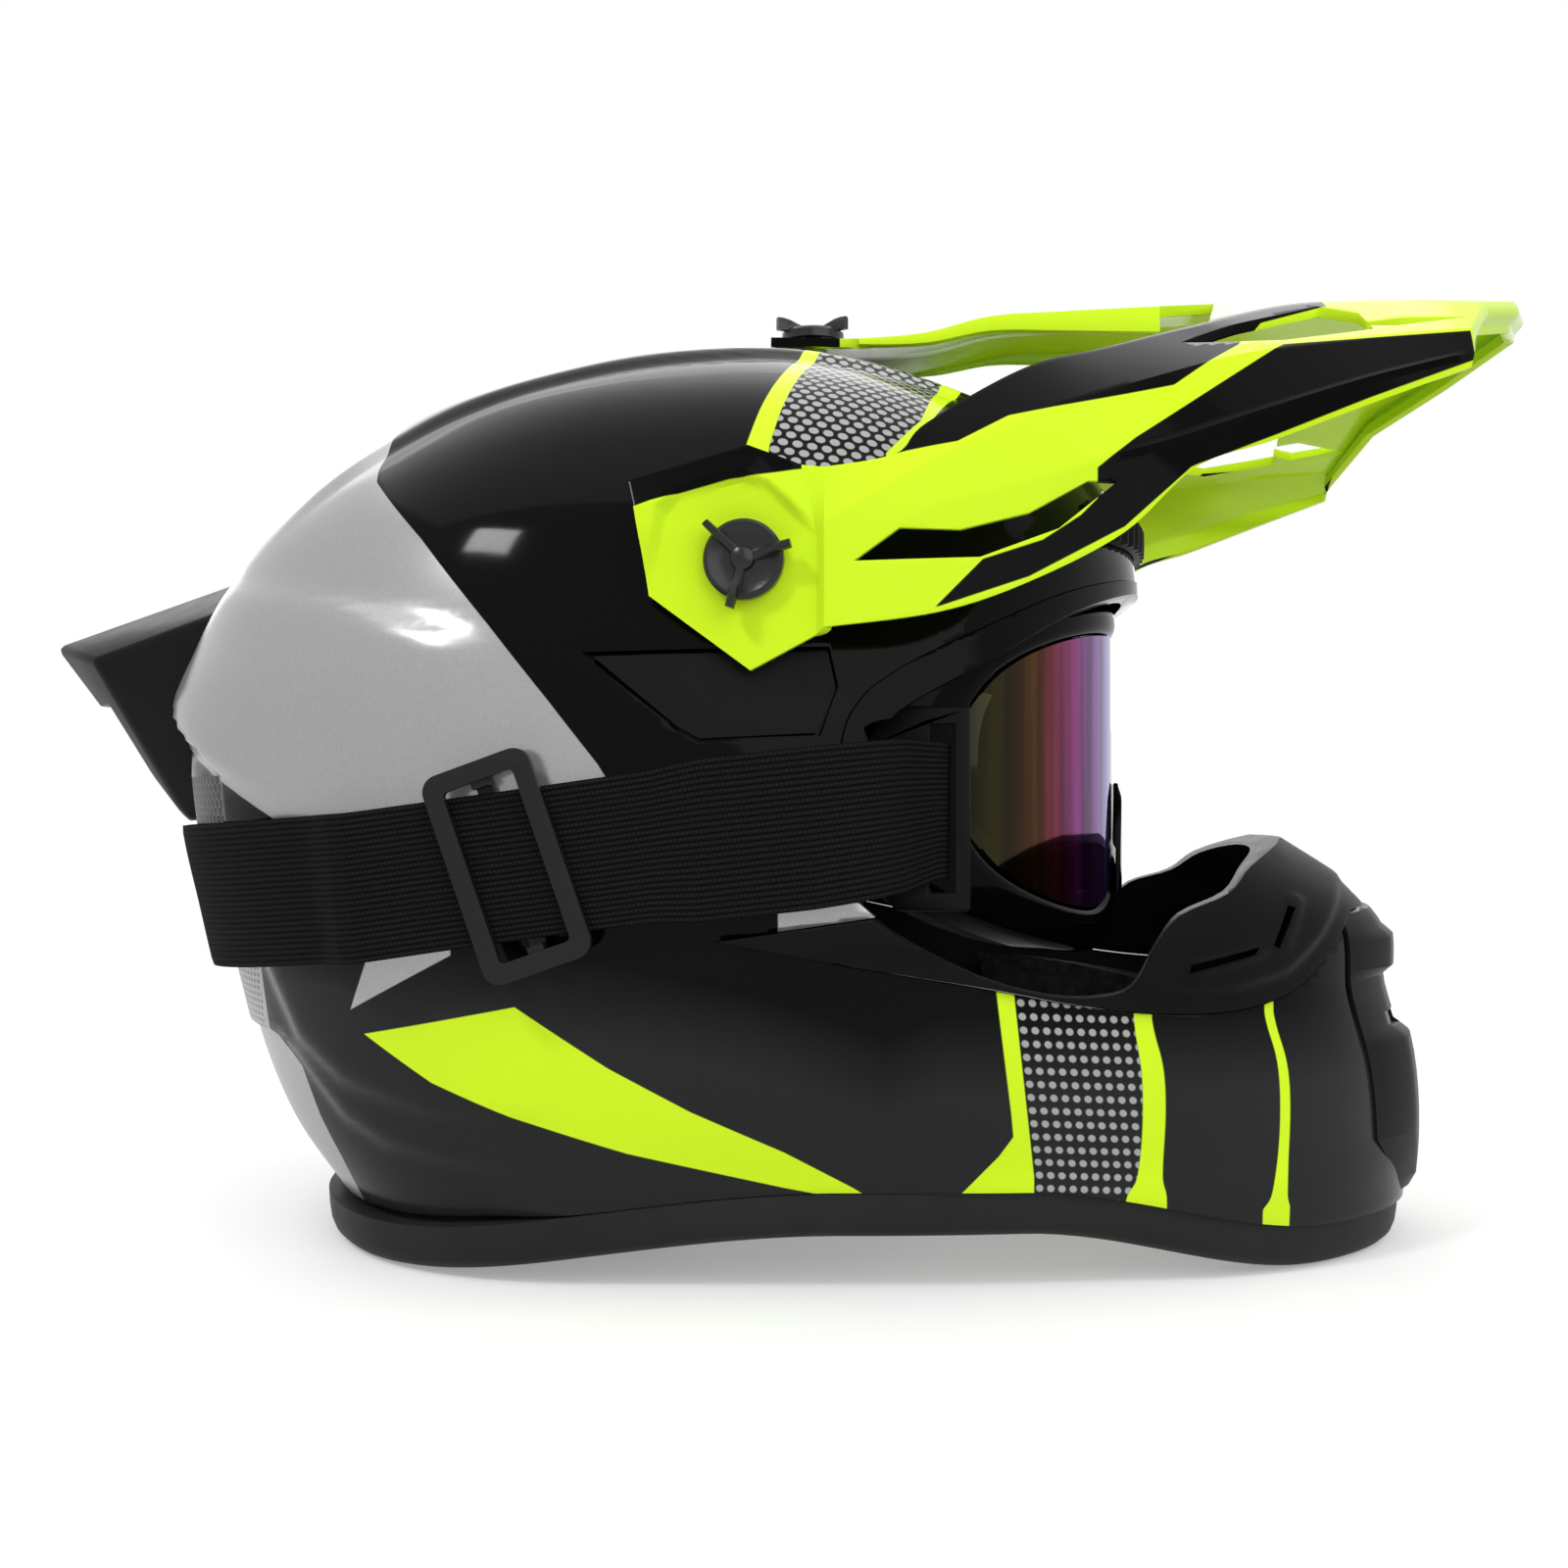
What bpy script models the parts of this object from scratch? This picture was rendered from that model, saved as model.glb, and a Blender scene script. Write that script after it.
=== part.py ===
"""Motocross helmet with peak, goggles and strap, as separate pieces.

Metres. +X points forward, +Y to the wearer's left, +Z up. The origin lies on the table,
under the middle of the helmet's box.
"""
import math

import bmesh
import bpy
from mathutils import Matrix, Vector

# Clearances and walls
GAP = 0.0003
SHELL_WALL = 0.0035
FOAM_WALL = 0.022
PAD_WALL = 0.007
VISOR_WALL = 0.0025
WEB_WALL = 0.0018

CROWN_HEIGHT = 0.2534
DOME_FOOT = 0.1870
DOME_RISE = CROWN_HEIGHT - DOME_FOOT
# Shell sections from the rim to the crown: height, front, rear, half width
STATIONS = (
    (0.0120, 0.1850, -0.1235, 0.1000),
    (0.0300, 0.1855, -0.1370, 0.1060),
    (0.0500, 0.1835, -0.1460, 0.1110),
    (0.0700, 0.1780, -0.1515, 0.1145),
    (0.0920, 0.1735, -0.1570, 0.1170),
    (0.1150, 0.1420, -0.1625, 0.1185),
    (0.1400, 0.1210, -0.1645, 0.1185),
    (0.1650, 0.1130, -0.1600, 0.1155),
    (DOME_FOOT, 0.1120, -0.1490, 0.1095),
    (DOME_FOOT + 0.2515 * DOME_RISE, 0.1070, -0.1340, 0.1020),
    (DOME_FOOT + 0.4623 * DOME_RISE, 0.0965, -0.1157, 0.0920),
    (DOME_FOOT + 0.6431 * DOME_RISE, 0.0800, -0.0990, 0.0785),
    (DOME_FOOT + 0.7982 * DOME_RISE, 0.0580, -0.0740, 0.0600),
    (DOME_FOOT + 0.9157 * DOME_RISE, 0.0370, -0.0530, 0.0395),
    (DOME_FOOT + 0.9789 * DOME_RISE, 0.0150, -0.0300, 0.0200),
)
CROWN_X = -0.007
WIDEST_X = -0.030
SECTION_POWER = 0.91
# The rim is arched over the shoulders and flat at the chin and nape
ARCH_RISE = 0.0135
ARCH_REAR = (-0.098, 0.035)
ARCH_FRONT = (0.080, 0.160)
ARCH_FADE = 0.090
# Raised band along the crown
RIDGE_RISE = 0.0025
RIDGE_HALF = 0.046
RIDGE_SHOULDER = 0.009
RIDGE_FADE = (0.185, 0.212)

SHELL_TURNS = 48
LINER_TURNS = 24

# Eye port and mouth guard outlines in side view: x, z
GUARD_TIP = (0.007, 0.0880)
GUARD_SEAM = ((0.040, 0.0813), (0.0684, 0.0764), (0.0924, 0.0715), (0.1115, 0.0690),
              (0.1305, 0.0688), (0.1461, 0.0725), (0.1570, 0.0815), (0.1660, 0.0915))
GUARD_FRONT = (0.200, 0.0935)
GUARD_PEAK = (0.200, 0.1125)
GUARD_LIP = ((0.149, 0.1110), (0.1363, 0.1049), (0.1288, 0.0984), (0.1163, 0.0936),
             (0.1100, 0.0860), (0.1044, 0.0765), (0.0950, 0.0742), (0.0827, 0.0752),
             (0.0684, 0.0796), (0.0520, 0.0880), (0.0440, 0.0935))
PORT_REAR = ((0.0370, 0.1000), (0.0345, 0.1180), (0.0363, 0.1366), (0.0407, 0.1457),
             (0.0473, 0.1514), (0.0556, 0.1565), (0.0688, 0.1635), (0.0900, 0.1745),
             (0.1120, 0.1830))
PORT_BROW = (0.200, 0.1900)
PORT_BORDERS = (0.0040, 0.0040, 0.0060, 0.0085, 0.0085, 0.0085, 0.0080, 0.0055, 0.0035)
PORT_BORDER_WALL = 0.0042
PORT_LIFT = 0.0006
PORT_TRIM_TURN = math.radians(82.0)
GUARD_TURN = math.radians(86.0)
GUARD_LIFT = 0.0012
GUARD_DEPTH = 0.0045
GUARD_SLOTS = (((0.1185, 0.0790), (0.1354, 0.0829), (0.1366, 0.0848), (0.1190, 0.0812)),
               ((0.1404, 0.0850), (0.1420, 0.0842), (0.1470, 0.0940), (0.1450, 0.0946)))
THROUGH = 0.200

# Rubber edging under the rim: inset from the shell, drop below the seam
TRIM_SECTION = ((0.0004, 0.0003), (0.0010, 0.0070), (0.0036, 0.0108), (0.0080, 0.0120),
                (0.0125, 0.0120), (0.0150, 0.0095), (0.0150, 0.0003))

# Visor screws
PIVOT_X = 0.0142
PIVOT_Z = 0.1769
TOP_SCREW_X = 0.0175
KNOB_RADIUS = 0.0094
KNOB_DEPTH = 0.0035
BLADE_REACH = 0.0118
BLADE_THICK = 0.0022
BLADE_RISE = 0.0032
SHANK_RADIUS = 0.0024
SCREW_CLEARANCE = 0.0004
INSERT_RADIUS = 0.0042

# Visor lines, station by station from the screws to the front edge: x, y, z
VISOR_LOW = ((-0.0086, 0.1180, 0.1690), (0.0154, 0.1180, 0.1513), (0.0310, 0.1180, 0.1595),
             (0.0330, 0.1205, 0.1610), (0.0593, 0.1150, 0.1648), (0.0800, 0.1095, 0.1721),
             (0.1024, 0.1030, 0.1842), (0.1197, 0.0975, 0.2003), (0.1379, 0.0965, 0.2064),
             (0.1605, 0.0955, 0.2147), (0.1835, 0.0935, 0.2230))
VISOR_SIDE = ((-0.0100, 0.1180, 0.1790), (0.0150, 0.1180, 0.1743), (0.0310, 0.1180, 0.1740),
              (0.0330, 0.1205, 0.1750), (0.0560, 0.1155, 0.1890), (0.0740, 0.1105, 0.1940),
              (0.0960, 0.1050, 0.2010), (0.1150, 0.1005, 0.2065), (0.1350, 0.0985, 0.2130),
              (0.1600, 0.0965, 0.2205), (0.1842, 0.0935, 0.2265))
VISOR_EDGE = ((-0.0118, 0.1180, 0.1895), (0.0147, 0.1180, 0.1965), (0.0310, 0.1180, 0.1830),
              (0.0330, 0.1205, 0.1850), (0.0510, 0.1150, 0.1965), (0.0640, 0.1105, 0.2040),
              (0.0850, 0.1030, 0.2140), (0.1080, 0.0955, 0.2220), (0.1330, 0.0900, 0.2290),
              (0.1600, 0.0885, 0.2318), (0.1845, 0.0895, 0.2332))
VISOR_FIN = ((-0.0137, 0.1155, 0.1963), (0.0147, 0.1150, 0.2041), (0.0275, 0.1160, 0.1990),
             (0.0330, 0.1175, 0.1985), (0.0490, 0.1110, 0.2025), (0.0560, 0.1065, 0.2105),
             (0.0793, 0.0930, 0.2262), (0.1000, 0.0780, 0.2345), (0.1270, 0.0600, 0.2448),
             (0.1560, 0.0440, 0.2535), (0.1960, 0.0620, 0.2470))
VISOR_CROWN = ((0.1330, 0.0200, CROWN_HEIGHT + 0.0070), (0.1620, 0.0200, CROWN_HEIGHT + 0.0076),
               (0.2120, 0.0320, CROWN_HEIGHT + 0.0016))
VISOR_SPINE = ((0.1350, 0.0, CROWN_HEIGHT + 0.0088), (0.1640, 0.0, CROWN_HEIGHT + 0.0106),
               (0.2222, 0.0, CROWN_HEIGHT + 0.0070))
# Centre tongue, rear end to the bill: x and height of its spine
TONGUE_SPINE = ((0.0035, CROWN_HEIGHT + 0.0036), (0.0175, CROWN_HEIGHT + 0.0031),
                (0.0330, CROWN_HEIGHT + 0.0024), (0.0523, CROWN_HEIGHT + 0.0035),
                (0.0705, CROWN_HEIGHT + 0.0075), (0.0900, CROWN_HEIGHT + 0.0082),
                (0.1180, CROWN_HEIGHT + 0.0087))
TONGUE_HALF = 0.0200
TONGUE_CROWN = 0.0018
TONGUE_FLANGE = (0.0000, 0.0075)
TONGUE_SEAT = 0.0010
TONGUE_KNOB_ROOM = 0.0014
LIP_DROP = 0.0050
LIP_SLOPE = 0.0012
# Openings in the visor
SIDE_SLOT = ((0.0396, 0.1763), (0.0501, 0.1842), (0.0640, 0.1840), (0.0800, 0.1883),
             (0.0937, 0.1961), (0.1005, 0.1959), (0.0869, 0.1847), (0.0686, 0.1776))
BILL_WINDOW = ((0.1180, 0.0765), (0.1330, 0.0640), (0.1560, 0.0500), (0.1640, 0.0620),
               (0.1640, 0.0800), (0.1420, 0.0830))
BILL_SLIT = ((0.1700, 0.0790), (0.1950, 0.0640), (0.1870, 0.0770))
VISOR_RANGE = math.radians(3.0)

# Chin vent cover: height and how far it stands off the shell
CHIN_COVER = ((0.0145, 0.0030), (0.0200, 0.0042), (0.0360, 0.0050), (0.0530, 0.0056),
              (0.0565, 0.0030), (0.0650, 0.0030), (0.0685, 0.0052), (0.0750, 0.0058),
              (0.0800, 0.0034))
CHIN_COVER_TURN = math.radians(22.0)
CHIN_COVER_WALL = 0.0018
CHIN_SLOT = ((0.0080, 0.0585), (0.0330, 0.0600), (0.0330, 0.0640), (0.0080, 0.0640))
CHIN_SLOT_DEPTH = 0.0300
CHIN_MESH_WALL = 0.0014
CHIN_MESH_MARGIN = 0.0005
CHIN_MESH_HEIGHTS = (0.0580, 0.0645)
CHIN_MESH_TURN = math.radians(18.0)

# Temple covers in side view
TEMPLE = ((-0.0250, 0.1560), (0.0330, 0.1575), (0.0352, 0.1480), (0.0310, 0.1360),
          (0.0030, 0.1345), (-0.0024, 0.1375))
TEMPLE_POCKET = 0.0025
TEMPLE_WALL = 0.0013
TEMPLE_MARGIN = 0.0010

# Spoiler: ridge, edges and foot
SPOILER_TIP = (-0.2222, 0.0030, 0.1690)
SPOILER_FRONT = (-0.1560, 0.0030, 0.1905)
SPOILER_FOOT = (-0.1655, 0.0290, 0.1140)
SPOILER_HEEL = (-0.1785, 0.0310, 0.1360)
SPOILER_CORNER = (-0.1930, 0.0345, 0.1625)
SPOILER_UNDER = (-0.1900, 0.0330, 0.1555)
SPOILER_SHOULDER = (-0.1380, 0.0420, 0.1790)
SPOILER_HIP = (-0.1480, 0.0400, 0.1330)
SPOILER_ROOT = (-0.1200, 0.0030, 0.1550)
SPOILER_HOLLOW_HALF = 0.0240
SPOILER_HOLLOW_TOP = 0.1500
SPOILER_LIFT = 0.0008
REAR_MESH_HEIGHTS = (0.1150, 0.1260)
REAR_MESH_TURN = math.radians(19.0)
REAR_MESH_WALL = 0.0010
REAR_MESH_MARGIN = 0.0014
REAR_POCKET = 0.0020

BROW_HEIGHTS = (0.1900, 0.2020)
BROW_TURN = math.radians(26.0)
BROW_RISE = 0.0030
BROW_RIB = 0.0016
BROW_RIBS = 7

# Goggles: outlines in front view and plan curve
GOGGLE_FRONT_X = 0.1066
GOGGLE_SIDE_ROOM = 0.0285
GOGGLE_RAISE = 0.0085
GOGGLE_WRAP = 0.0600
GOGGLE_WRAP_POWER = 2.3
FRAME_HALF = STATIONS[6][3] - GOGGLE_SIDE_ROOM
FRAME_HEIGHT = 0.0495
FRAME_MIDDLE = PORT_REAR[1][1] + GOGGLE_RAISE
FRAME_POWER = 0.76
FRAME_DEPTH = 0.0120
FRAME_ROUND = 0.0025
LENS_RIM_SIDE = 0.0135
LENS_RIM = 0.0105
LENS_RAISE = 0.0020
LENS_HALF = FRAME_HALF - LENS_RIM_SIDE
LENS_HEIGHT = FRAME_HEIGHT - LENS_RIM
LENS_MIDDLE = FRAME_MIDDLE + LENS_RAISE
LENS_POWER = 0.68
LENS_WALL = 0.0014
LENS_INSET = 0.0022
LENS_CENTRE = FRAME_MIDDLE + 0.0065
NOSE_RISE = 0.0180
NOSE_HALF = 0.0200
FACE_FOAM_DEPTH = 0.0120
FACE_FOAM_SHARES = (0.15, 0.55, 0.92)
NOSE_PLATE_HALF = 0.0180
NOSE_PLATE_HEIGHTS = (FRAME_MIDDLE - 0.0325, FRAME_MIDDLE - 0.0005)
NOSE_PLATE_WALL = 0.0018
GOGGLE_STEPS = 38
LENS_RINGS = 3
OUTRIGGER_X = (0.0400, 0.0660)
OUTRIGGER_WALL = 0.0042
OUTRIGGER_HEIGHTS = (FRAME_MIDDLE - 0.0325, FRAME_MIDDLE + 0.0175)
OUTRIGGER_SLOT_X = (0.0560, 0.0620)
OUTRIGGER_SLOT_MARGIN = 0.0045

# Strap: stand-off from the shell, centre height and width at places along the helmet
STRAP_STANDOFF = 0.0018
STRAP_END_X = 0.0575
STRAP_LEAVES_X = 0.0430
STRAP_TUCK = 0.0040
STRAP_HEIGHTS = ((0.0575, 0.1180), (0.030, 0.1145), (-0.004, 0.1108), (-0.078, 0.1004),
                 (-0.120, 0.0970), (-0.180, 0.0930))
STRAP_WIDTHS = ((0.0575, 0.0330), (0.050, 0.0365), (0.030, 0.0380), (0.004, 0.0380),
                (-0.008, 0.0355), (-0.078, 0.0355), (-0.120, 0.0370), (-0.180, 0.0400))
STRAP_ACROSS = 3
STRAP_SIDE_STEPS = 15
STRAP_NAPE_STEPS = 14
# Flat stretch of the strap that carries the slider
STRAP_FLAT_X = (-0.094, -0.078, -0.004, 0.014)

# Slider on the right side of the strap
SLIDER_X = -0.0410
SLIDER_LENGTH = 0.0270
SLIDER_HEIGHT = 0.0515
SLIDER_BAR = 0.0046
SLIDER_WALL = 0.0022
SLIDER_CORNER = 0.0042
SLIDER_TILT = math.radians(19.5)
SLIDER_CENTRE_BAR = 0.0040
SLIDER_CENTRE_WALL = 0.0014
SLIDER_POST = 0.0016
SLIDER_CLEARANCE = 0.0004

# Liner pads
LINER_SEAT = 0.0010
PAD_SEAT = 0.0018
CHIN_FOAM_SEAT = 0.0012
WEB_SEAT = 0.0022
LINER_HEIGHT = 0.105
FOAM_FOOT_HEIGHT = 0.0140
PAD_CLEARANCE = 0.0014
CHEEK_TURNS = (math.radians(74.0), math.radians(116.0))
CHEEK_HEIGHTS = (0.040, 0.098)
CHEEK_EDGE = 0.008
CHEEK_CROWN = 0.018
NECK_TURNS = (math.radians(130.0), math.radians(230.0))
NECK_HEIGHTS = (0.020, 0.096)
NECK_EDGE = 0.004
NECK_CROWN = 0.006
CHIN_FOAM_WALL = 0.0130
CHIN_FOAM_HEIGHTS = (0.0180, 0.0600)
CHIN_FOAM_TURN = math.radians(64.0)
# Side view of what the foam leaves open for the face
FACE_OPENING = ((0.018, -0.050), (0.300, -0.050), (0.300, 0.200), (0.113, 0.194),
                (0.0650, 0.1780), (0.0460, 0.1700), (0.0330, 0.1620), (0.0230, 0.1520),
                (0.0180, 0.1380))

# Chin strap webbing, its anchors and rings
WEB_WIDTH = 0.0220
WEB_X = -0.0050
WEB_NOTCH = 0.0300
WEB_NOTCH_TOP = 0.0560
WEB_ANCHOR_Z = 0.0500
WEB_BEND_Z = 0.0330
WEB_ROUTE = ((0.0, 0.0150), (0.030, 0.0160), (0.055, 0.0200), (0.078, 0.0285))
WEB_STACK = 0.0024
WEB_RIGHT_END = -0.0100
WEB_LEFT_END = -0.0520
RIVET_RADIUS = 0.0050
RIVET_HEAD = 0.0020
RING_WIRE = 0.0017
RING_PLACES = (-0.0200, -0.0265)
RING_SLACK = 0.0009

FRONT, LEFT, REAR = 0.0, math.pi / 2, math.pi
NUDGE = 1e-3

PARTS = bpy.data.collections.new("motocross_helmet")
CUTTERS = bpy.data.collections.new("cutters")


def smooth_step(value, low, high):
    share = min(max((value - low) / (high - low), 0.0), 1.0)
    return share * share * (3.0 - 2.0 * share)


def spread(first, last, count):
    return [first + (last - first) * index / (count - 1) for index in range(count)]


def along(rows, place):
    """Piecewise linear reading of (place, value) rows whose places rise or fall steadily."""
    ordered = sorted(rows)
    if place <= ordered[0][0]:
        return ordered[0][1]
    for (low, first), (high, second) in zip(ordered, ordered[1:]):
        if place <= high:
            return first + (second - first) * (place - low) / (high - low)
    return ordered[-1][1]


# The shell's surface

def section_row(index):
    """One row of the section table; beyond either end the rows continue evenly."""
    last = len(STATIONS)
    if index < 0:
        first, second = STATIONS[0], STATIONS[1]
        return tuple(2.0 * a - b for a, b in zip(first, second))
    if index < last:
        return STATIONS[index]
    if index == last:
        return (CROWN_HEIGHT, CROWN_X, CROWN_X, 0.0)
    height, front, rear, half = STATIONS[2 * last - index]
    return (height, 2.0 * CROWN_X - front, 2.0 * CROWN_X - rear, -half)


TOP_LEVEL = float(len(STATIONS))


def section_at(level):
    """Height, front, rear and half width between the rows, on a smooth curve through them."""
    index = min(int(math.floor(level)), int(TOP_LEVEL) - 1)
    share = level - index
    rows = [section_row(index + step) for step in (-1, 0, 1, 2)]
    result = []
    for a, b, c, d in zip(*rows):
        slope_in, slope_out = 0.5 * (c - a), 0.5 * (d - b)
        cube = 2.0 * b - 2.0 * c + slope_in + slope_out
        square = -3.0 * b + 3.0 * c - 2.0 * slope_in - slope_out
        result.append(b + share * (slope_in + share * (square + share * cube)))
    return result


def level_at(height):
    low, high = 0.0, TOP_LEVEL
    for _ in range(40):
        middle = 0.5 * (low + high)
        if section_at(middle)[0] < height:
            low = middle
        else:
            high = middle
    return 0.5 * (low + high)


def rim_arch(x):
    return ARCH_RISE * smooth_step(x, *ARCH_REAR) * (1.0 - smooth_step(x, *ARCH_FRONT))


def signed_power(value, power):
    return math.copysign(abs(value) ** power, value)


def skin_point(level, turn):
    """Point of the shell's outer surface; turn 0 is the front and a quarter turn the left."""
    height, front, rear, half = section_at(level)
    blend = smooth_step(height, STATIONS[-6][0], CROWN_HEIGHT)
    middle = WIDEST_X + (CROWN_X - WIDEST_X) * blend
    across = signed_power(math.cos(turn), SECTION_POWER)
    reach = front - middle if across > 0.0 else middle - rear
    x = middle + reach * across
    y = half * signed_power(math.sin(turn), SECTION_POWER)
    fade = 1.0 - smooth_step(height, STATIONS[0][0], STATIONS[0][0] + ARCH_FADE)
    band = 1.0 - smooth_step(abs(y), RIDGE_HALF - RIDGE_SHOULDER, RIDGE_HALF)
    rise = RIDGE_RISE * (band - 1.0) * smooth_step(height, *RIDGE_FADE)
    return Vector((x, y, height + rim_arch(x) * fade + rise))


def skin_normal(level, turn):
    if level > TOP_LEVEL - NUDGE:
        return Vector((0.0, 0.0, 1.0))
    sideways = skin_point(level, turn + NUDGE) - skin_point(level, turn - NUDGE)
    upward = skin_point(level + NUDGE, turn) - skin_point(level - NUDGE, turn)
    return sideways.cross(upward).normalized()


def helmet_point(level, turn, offset=0.0):
    return skin_point(level, turn) + skin_normal(level, turn) * offset


def turn_at_x(level, x, side):
    """Turn of the point on one side of a section that has the given x."""
    low, high = FRONT, REAR
    for _ in range(40):
        middle = 0.5 * (low + high)
        if skin_point(level, middle).x > x:
            low = middle
        else:
            high = middle
    return side * 0.5 * (low + high)


def side_level(x, z):
    """Level of the point on the shell's side that is at x and at the true height z."""
    low, high = 0.0, TOP_LEVEL - 1.0
    for _ in range(40):
        middle = 0.5 * (low + high)
        if skin_point(middle, turn_at_x(middle, x, 1)).z < z:
            low = middle
        else:
            high = middle
    return 0.5 * (low + high)


def side_wall(x, z):
    """Half width of the shell at a place in side view."""
    level = side_level(x, z)
    return skin_point(level, turn_at_x(level, x, 1)).y


def crown_over(x):
    """Height of the shell's centre line above x."""
    facing = FRONT if x > CROWN_X else REAR
    low, high = level_at(STATIONS[6][0]), TOP_LEVEL
    for _ in range(40):
        middle = 0.5 * (low + high)
        if abs(skin_point(middle, facing).x - CROWN_X) > abs(x - CROWN_X):
            low = middle
        else:
            high = middle
    return skin_point(low, facing).z


# Objects, looks and modelling helpers

def look(name, colour, roughness, metallic=0.0):
    material = bpy.data.materials.new(name)
    material.use_nodes = True
    shader = material.node_tree.nodes["Principled BSDF"]
    shader.inputs["Base Color"].default_value = (*colour, 1.0)
    shader.inputs["Roughness"].default_value = roughness
    shader.inputs["Metallic"].default_value = metallic
    return material


GLOSS_BLACK = (0.006, 0.006, 0.007)
RUBBER_BLACK = (0.013, 0.013, 0.015)
NEON = (0.638, 1.0, 0.010)


def put(name, mesh, colour, roughness, metallic=0.0):
    item = bpy.data.objects.new(name, mesh)
    PARTS.objects.link(item)
    mesh.materials.append(look(name, colour, roughness, metallic))
    return item


def put_cutter(name, mesh):
    item = bpy.data.objects.new(name, mesh)
    CUTTERS.objects.link(item)
    item.hide_render = True
    item.display_type = 'WIRE'
    return item


def close_mesh(name, points, faces):
    """Mesh from points and faces, with coinciding points welded and faces turned outward."""
    mesh = bpy.data.meshes.new(name)
    mesh.from_pydata([tuple(point) for point in points], [], faces)
    work = bmesh.new()
    work.from_mesh(mesh)
    bmesh.ops.remove_doubles(work, verts=work.verts, dist=1e-6)
    bmesh.ops.recalc_face_normals(work, faces=work.faces)
    work.to_mesh(mesh)
    work.free()
    return mesh


def smooth_shading(mesh, angle=math.radians(40.0)):
    mesh.shade_smooth()
    mesh.set_sharp_from_angle(angle=angle)


def grid_faces(rows, cols, start=0, wrap=False):
    faces = []
    for row in range(rows - 1):
        for col in range(cols if wrap else cols - 1):
            after = (col + 1) % cols
            low, high = start + row * cols, start + (row + 1) * cols
            faces.append((low + col, low + after, high + after, high + col))
    return faces


def slab_mesh(name, outer, inner):
    """Closed slab between two like grids of points, given row by row."""
    rows, cols = len(outer), len(outer[0])
    points = [point for row in outer for point in row] + [point for row in inner for point in row]
    second = rows * cols
    faces = grid_faces(rows, cols)
    faces += [tuple(reversed(face)) for face in grid_faces(rows, cols, second)]
    border = [(0, col) for col in range(cols)]
    border += [(row, cols - 1) for row in range(1, rows)]
    border += [(rows - 1, col) for col in range(cols - 2, -1, -1)]
    border += [(row, 0) for row in range(rows - 2, 0, -1)]
    for (row_a, col_a), (row_b, col_b) in zip(border, border[1:] + border[:1]):
        first, following = row_a * cols + col_a, row_b * cols + col_b
        faces.append((following, first, second + first, second + following))
    return close_mesh(name, points, faces)


def loop_mesh(name, section_rings):
    """Closed loop solid: each entry is the ring of section points at one step round the loop."""
    cols = len(section_rings[0])
    points = [point for ring in section_rings for point in ring]
    steps = len(section_rings)
    faces = []
    for step in range(steps):
        after = (step + 1) % steps
        for col in range(cols):
            following = (col + 1) % cols
            faces.append((step * cols + col, step * cols + following,
                          after * cols + following, after * cols + col))
    return close_mesh(name, points, faces)


def skin_mesh(name, levels, turn_count, offset):
    """Open dome that follows the shell at an offset, from the first level up to the crown."""
    turns = [2.0 * math.pi * index / turn_count for index in range(turn_count)]
    points = [helmet_point(level, turn, offset) for level in levels for turn in turns]
    points.append(helmet_point(TOP_LEVEL, FRONT, offset))
    faces = grid_faces(len(levels), turn_count, wrap=True)
    ring = (len(levels) - 1) * turn_count
    for index in range(turn_count):
        faces.append((ring + index, ring + (index + 1) % turn_count, len(points) - 1))
    mesh = bpy.data.meshes.new(name)
    mesh.from_pydata([tuple(point) for point in points], [], faces)
    return mesh


def patch_mesh(name, heights, turns, outer, inner):
    """Slab over part of the shell; outer and inner give its offsets at shares (u, v)."""
    levels = [level_at(height) for height in heights]
    grids = []
    for rule in (outer, inner):
        grid = []
        for row, level in enumerate(levels):
            v = row / (len(levels) - 1)
            grid.append([helmet_point(level, turn, rule(col / (len(turns) - 1), v))
                         for col, turn in enumerate(turns)])
        grids.append(grid)
    return slab_mesh(name, *grids)


def constant(value):
    return lambda u, v: value


def pillow(u, v):
    """1 in the middle of a patch, falling to 0 at its border."""
    return (1.0 - (2.0 * u - 1.0) ** 4) * (1.0 - (2.0 * v - 1.0) ** 4)


def inset_outline(outline, distances):
    """Outline moved inward by a distance at each point, for one that runs anticlockwise."""
    points = [Vector(point) for point in outline]
    result = []
    for index, point in enumerate(points):
        before = (point - points[index - 1]).normalized()
        after = (points[(index + 1) % len(points)] - point).normalized()
        normal = Vector((-before.y - after.y, before.x + after.x))
        scale = distances[index] / max(0.15, 0.5 * normal.length_squared)
        result.append(point + normal * scale)
    return result


TO_SIDE = Matrix.Rotation(math.pi / 2, 4, 'X')
TO_FRONT = Matrix(((0, 0, 1, 0), (1, 0, 0, 0), (0, 1, 0, 0), (0, 0, 0, 1)))
TO_PLAN = Matrix.Identity(4)


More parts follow.
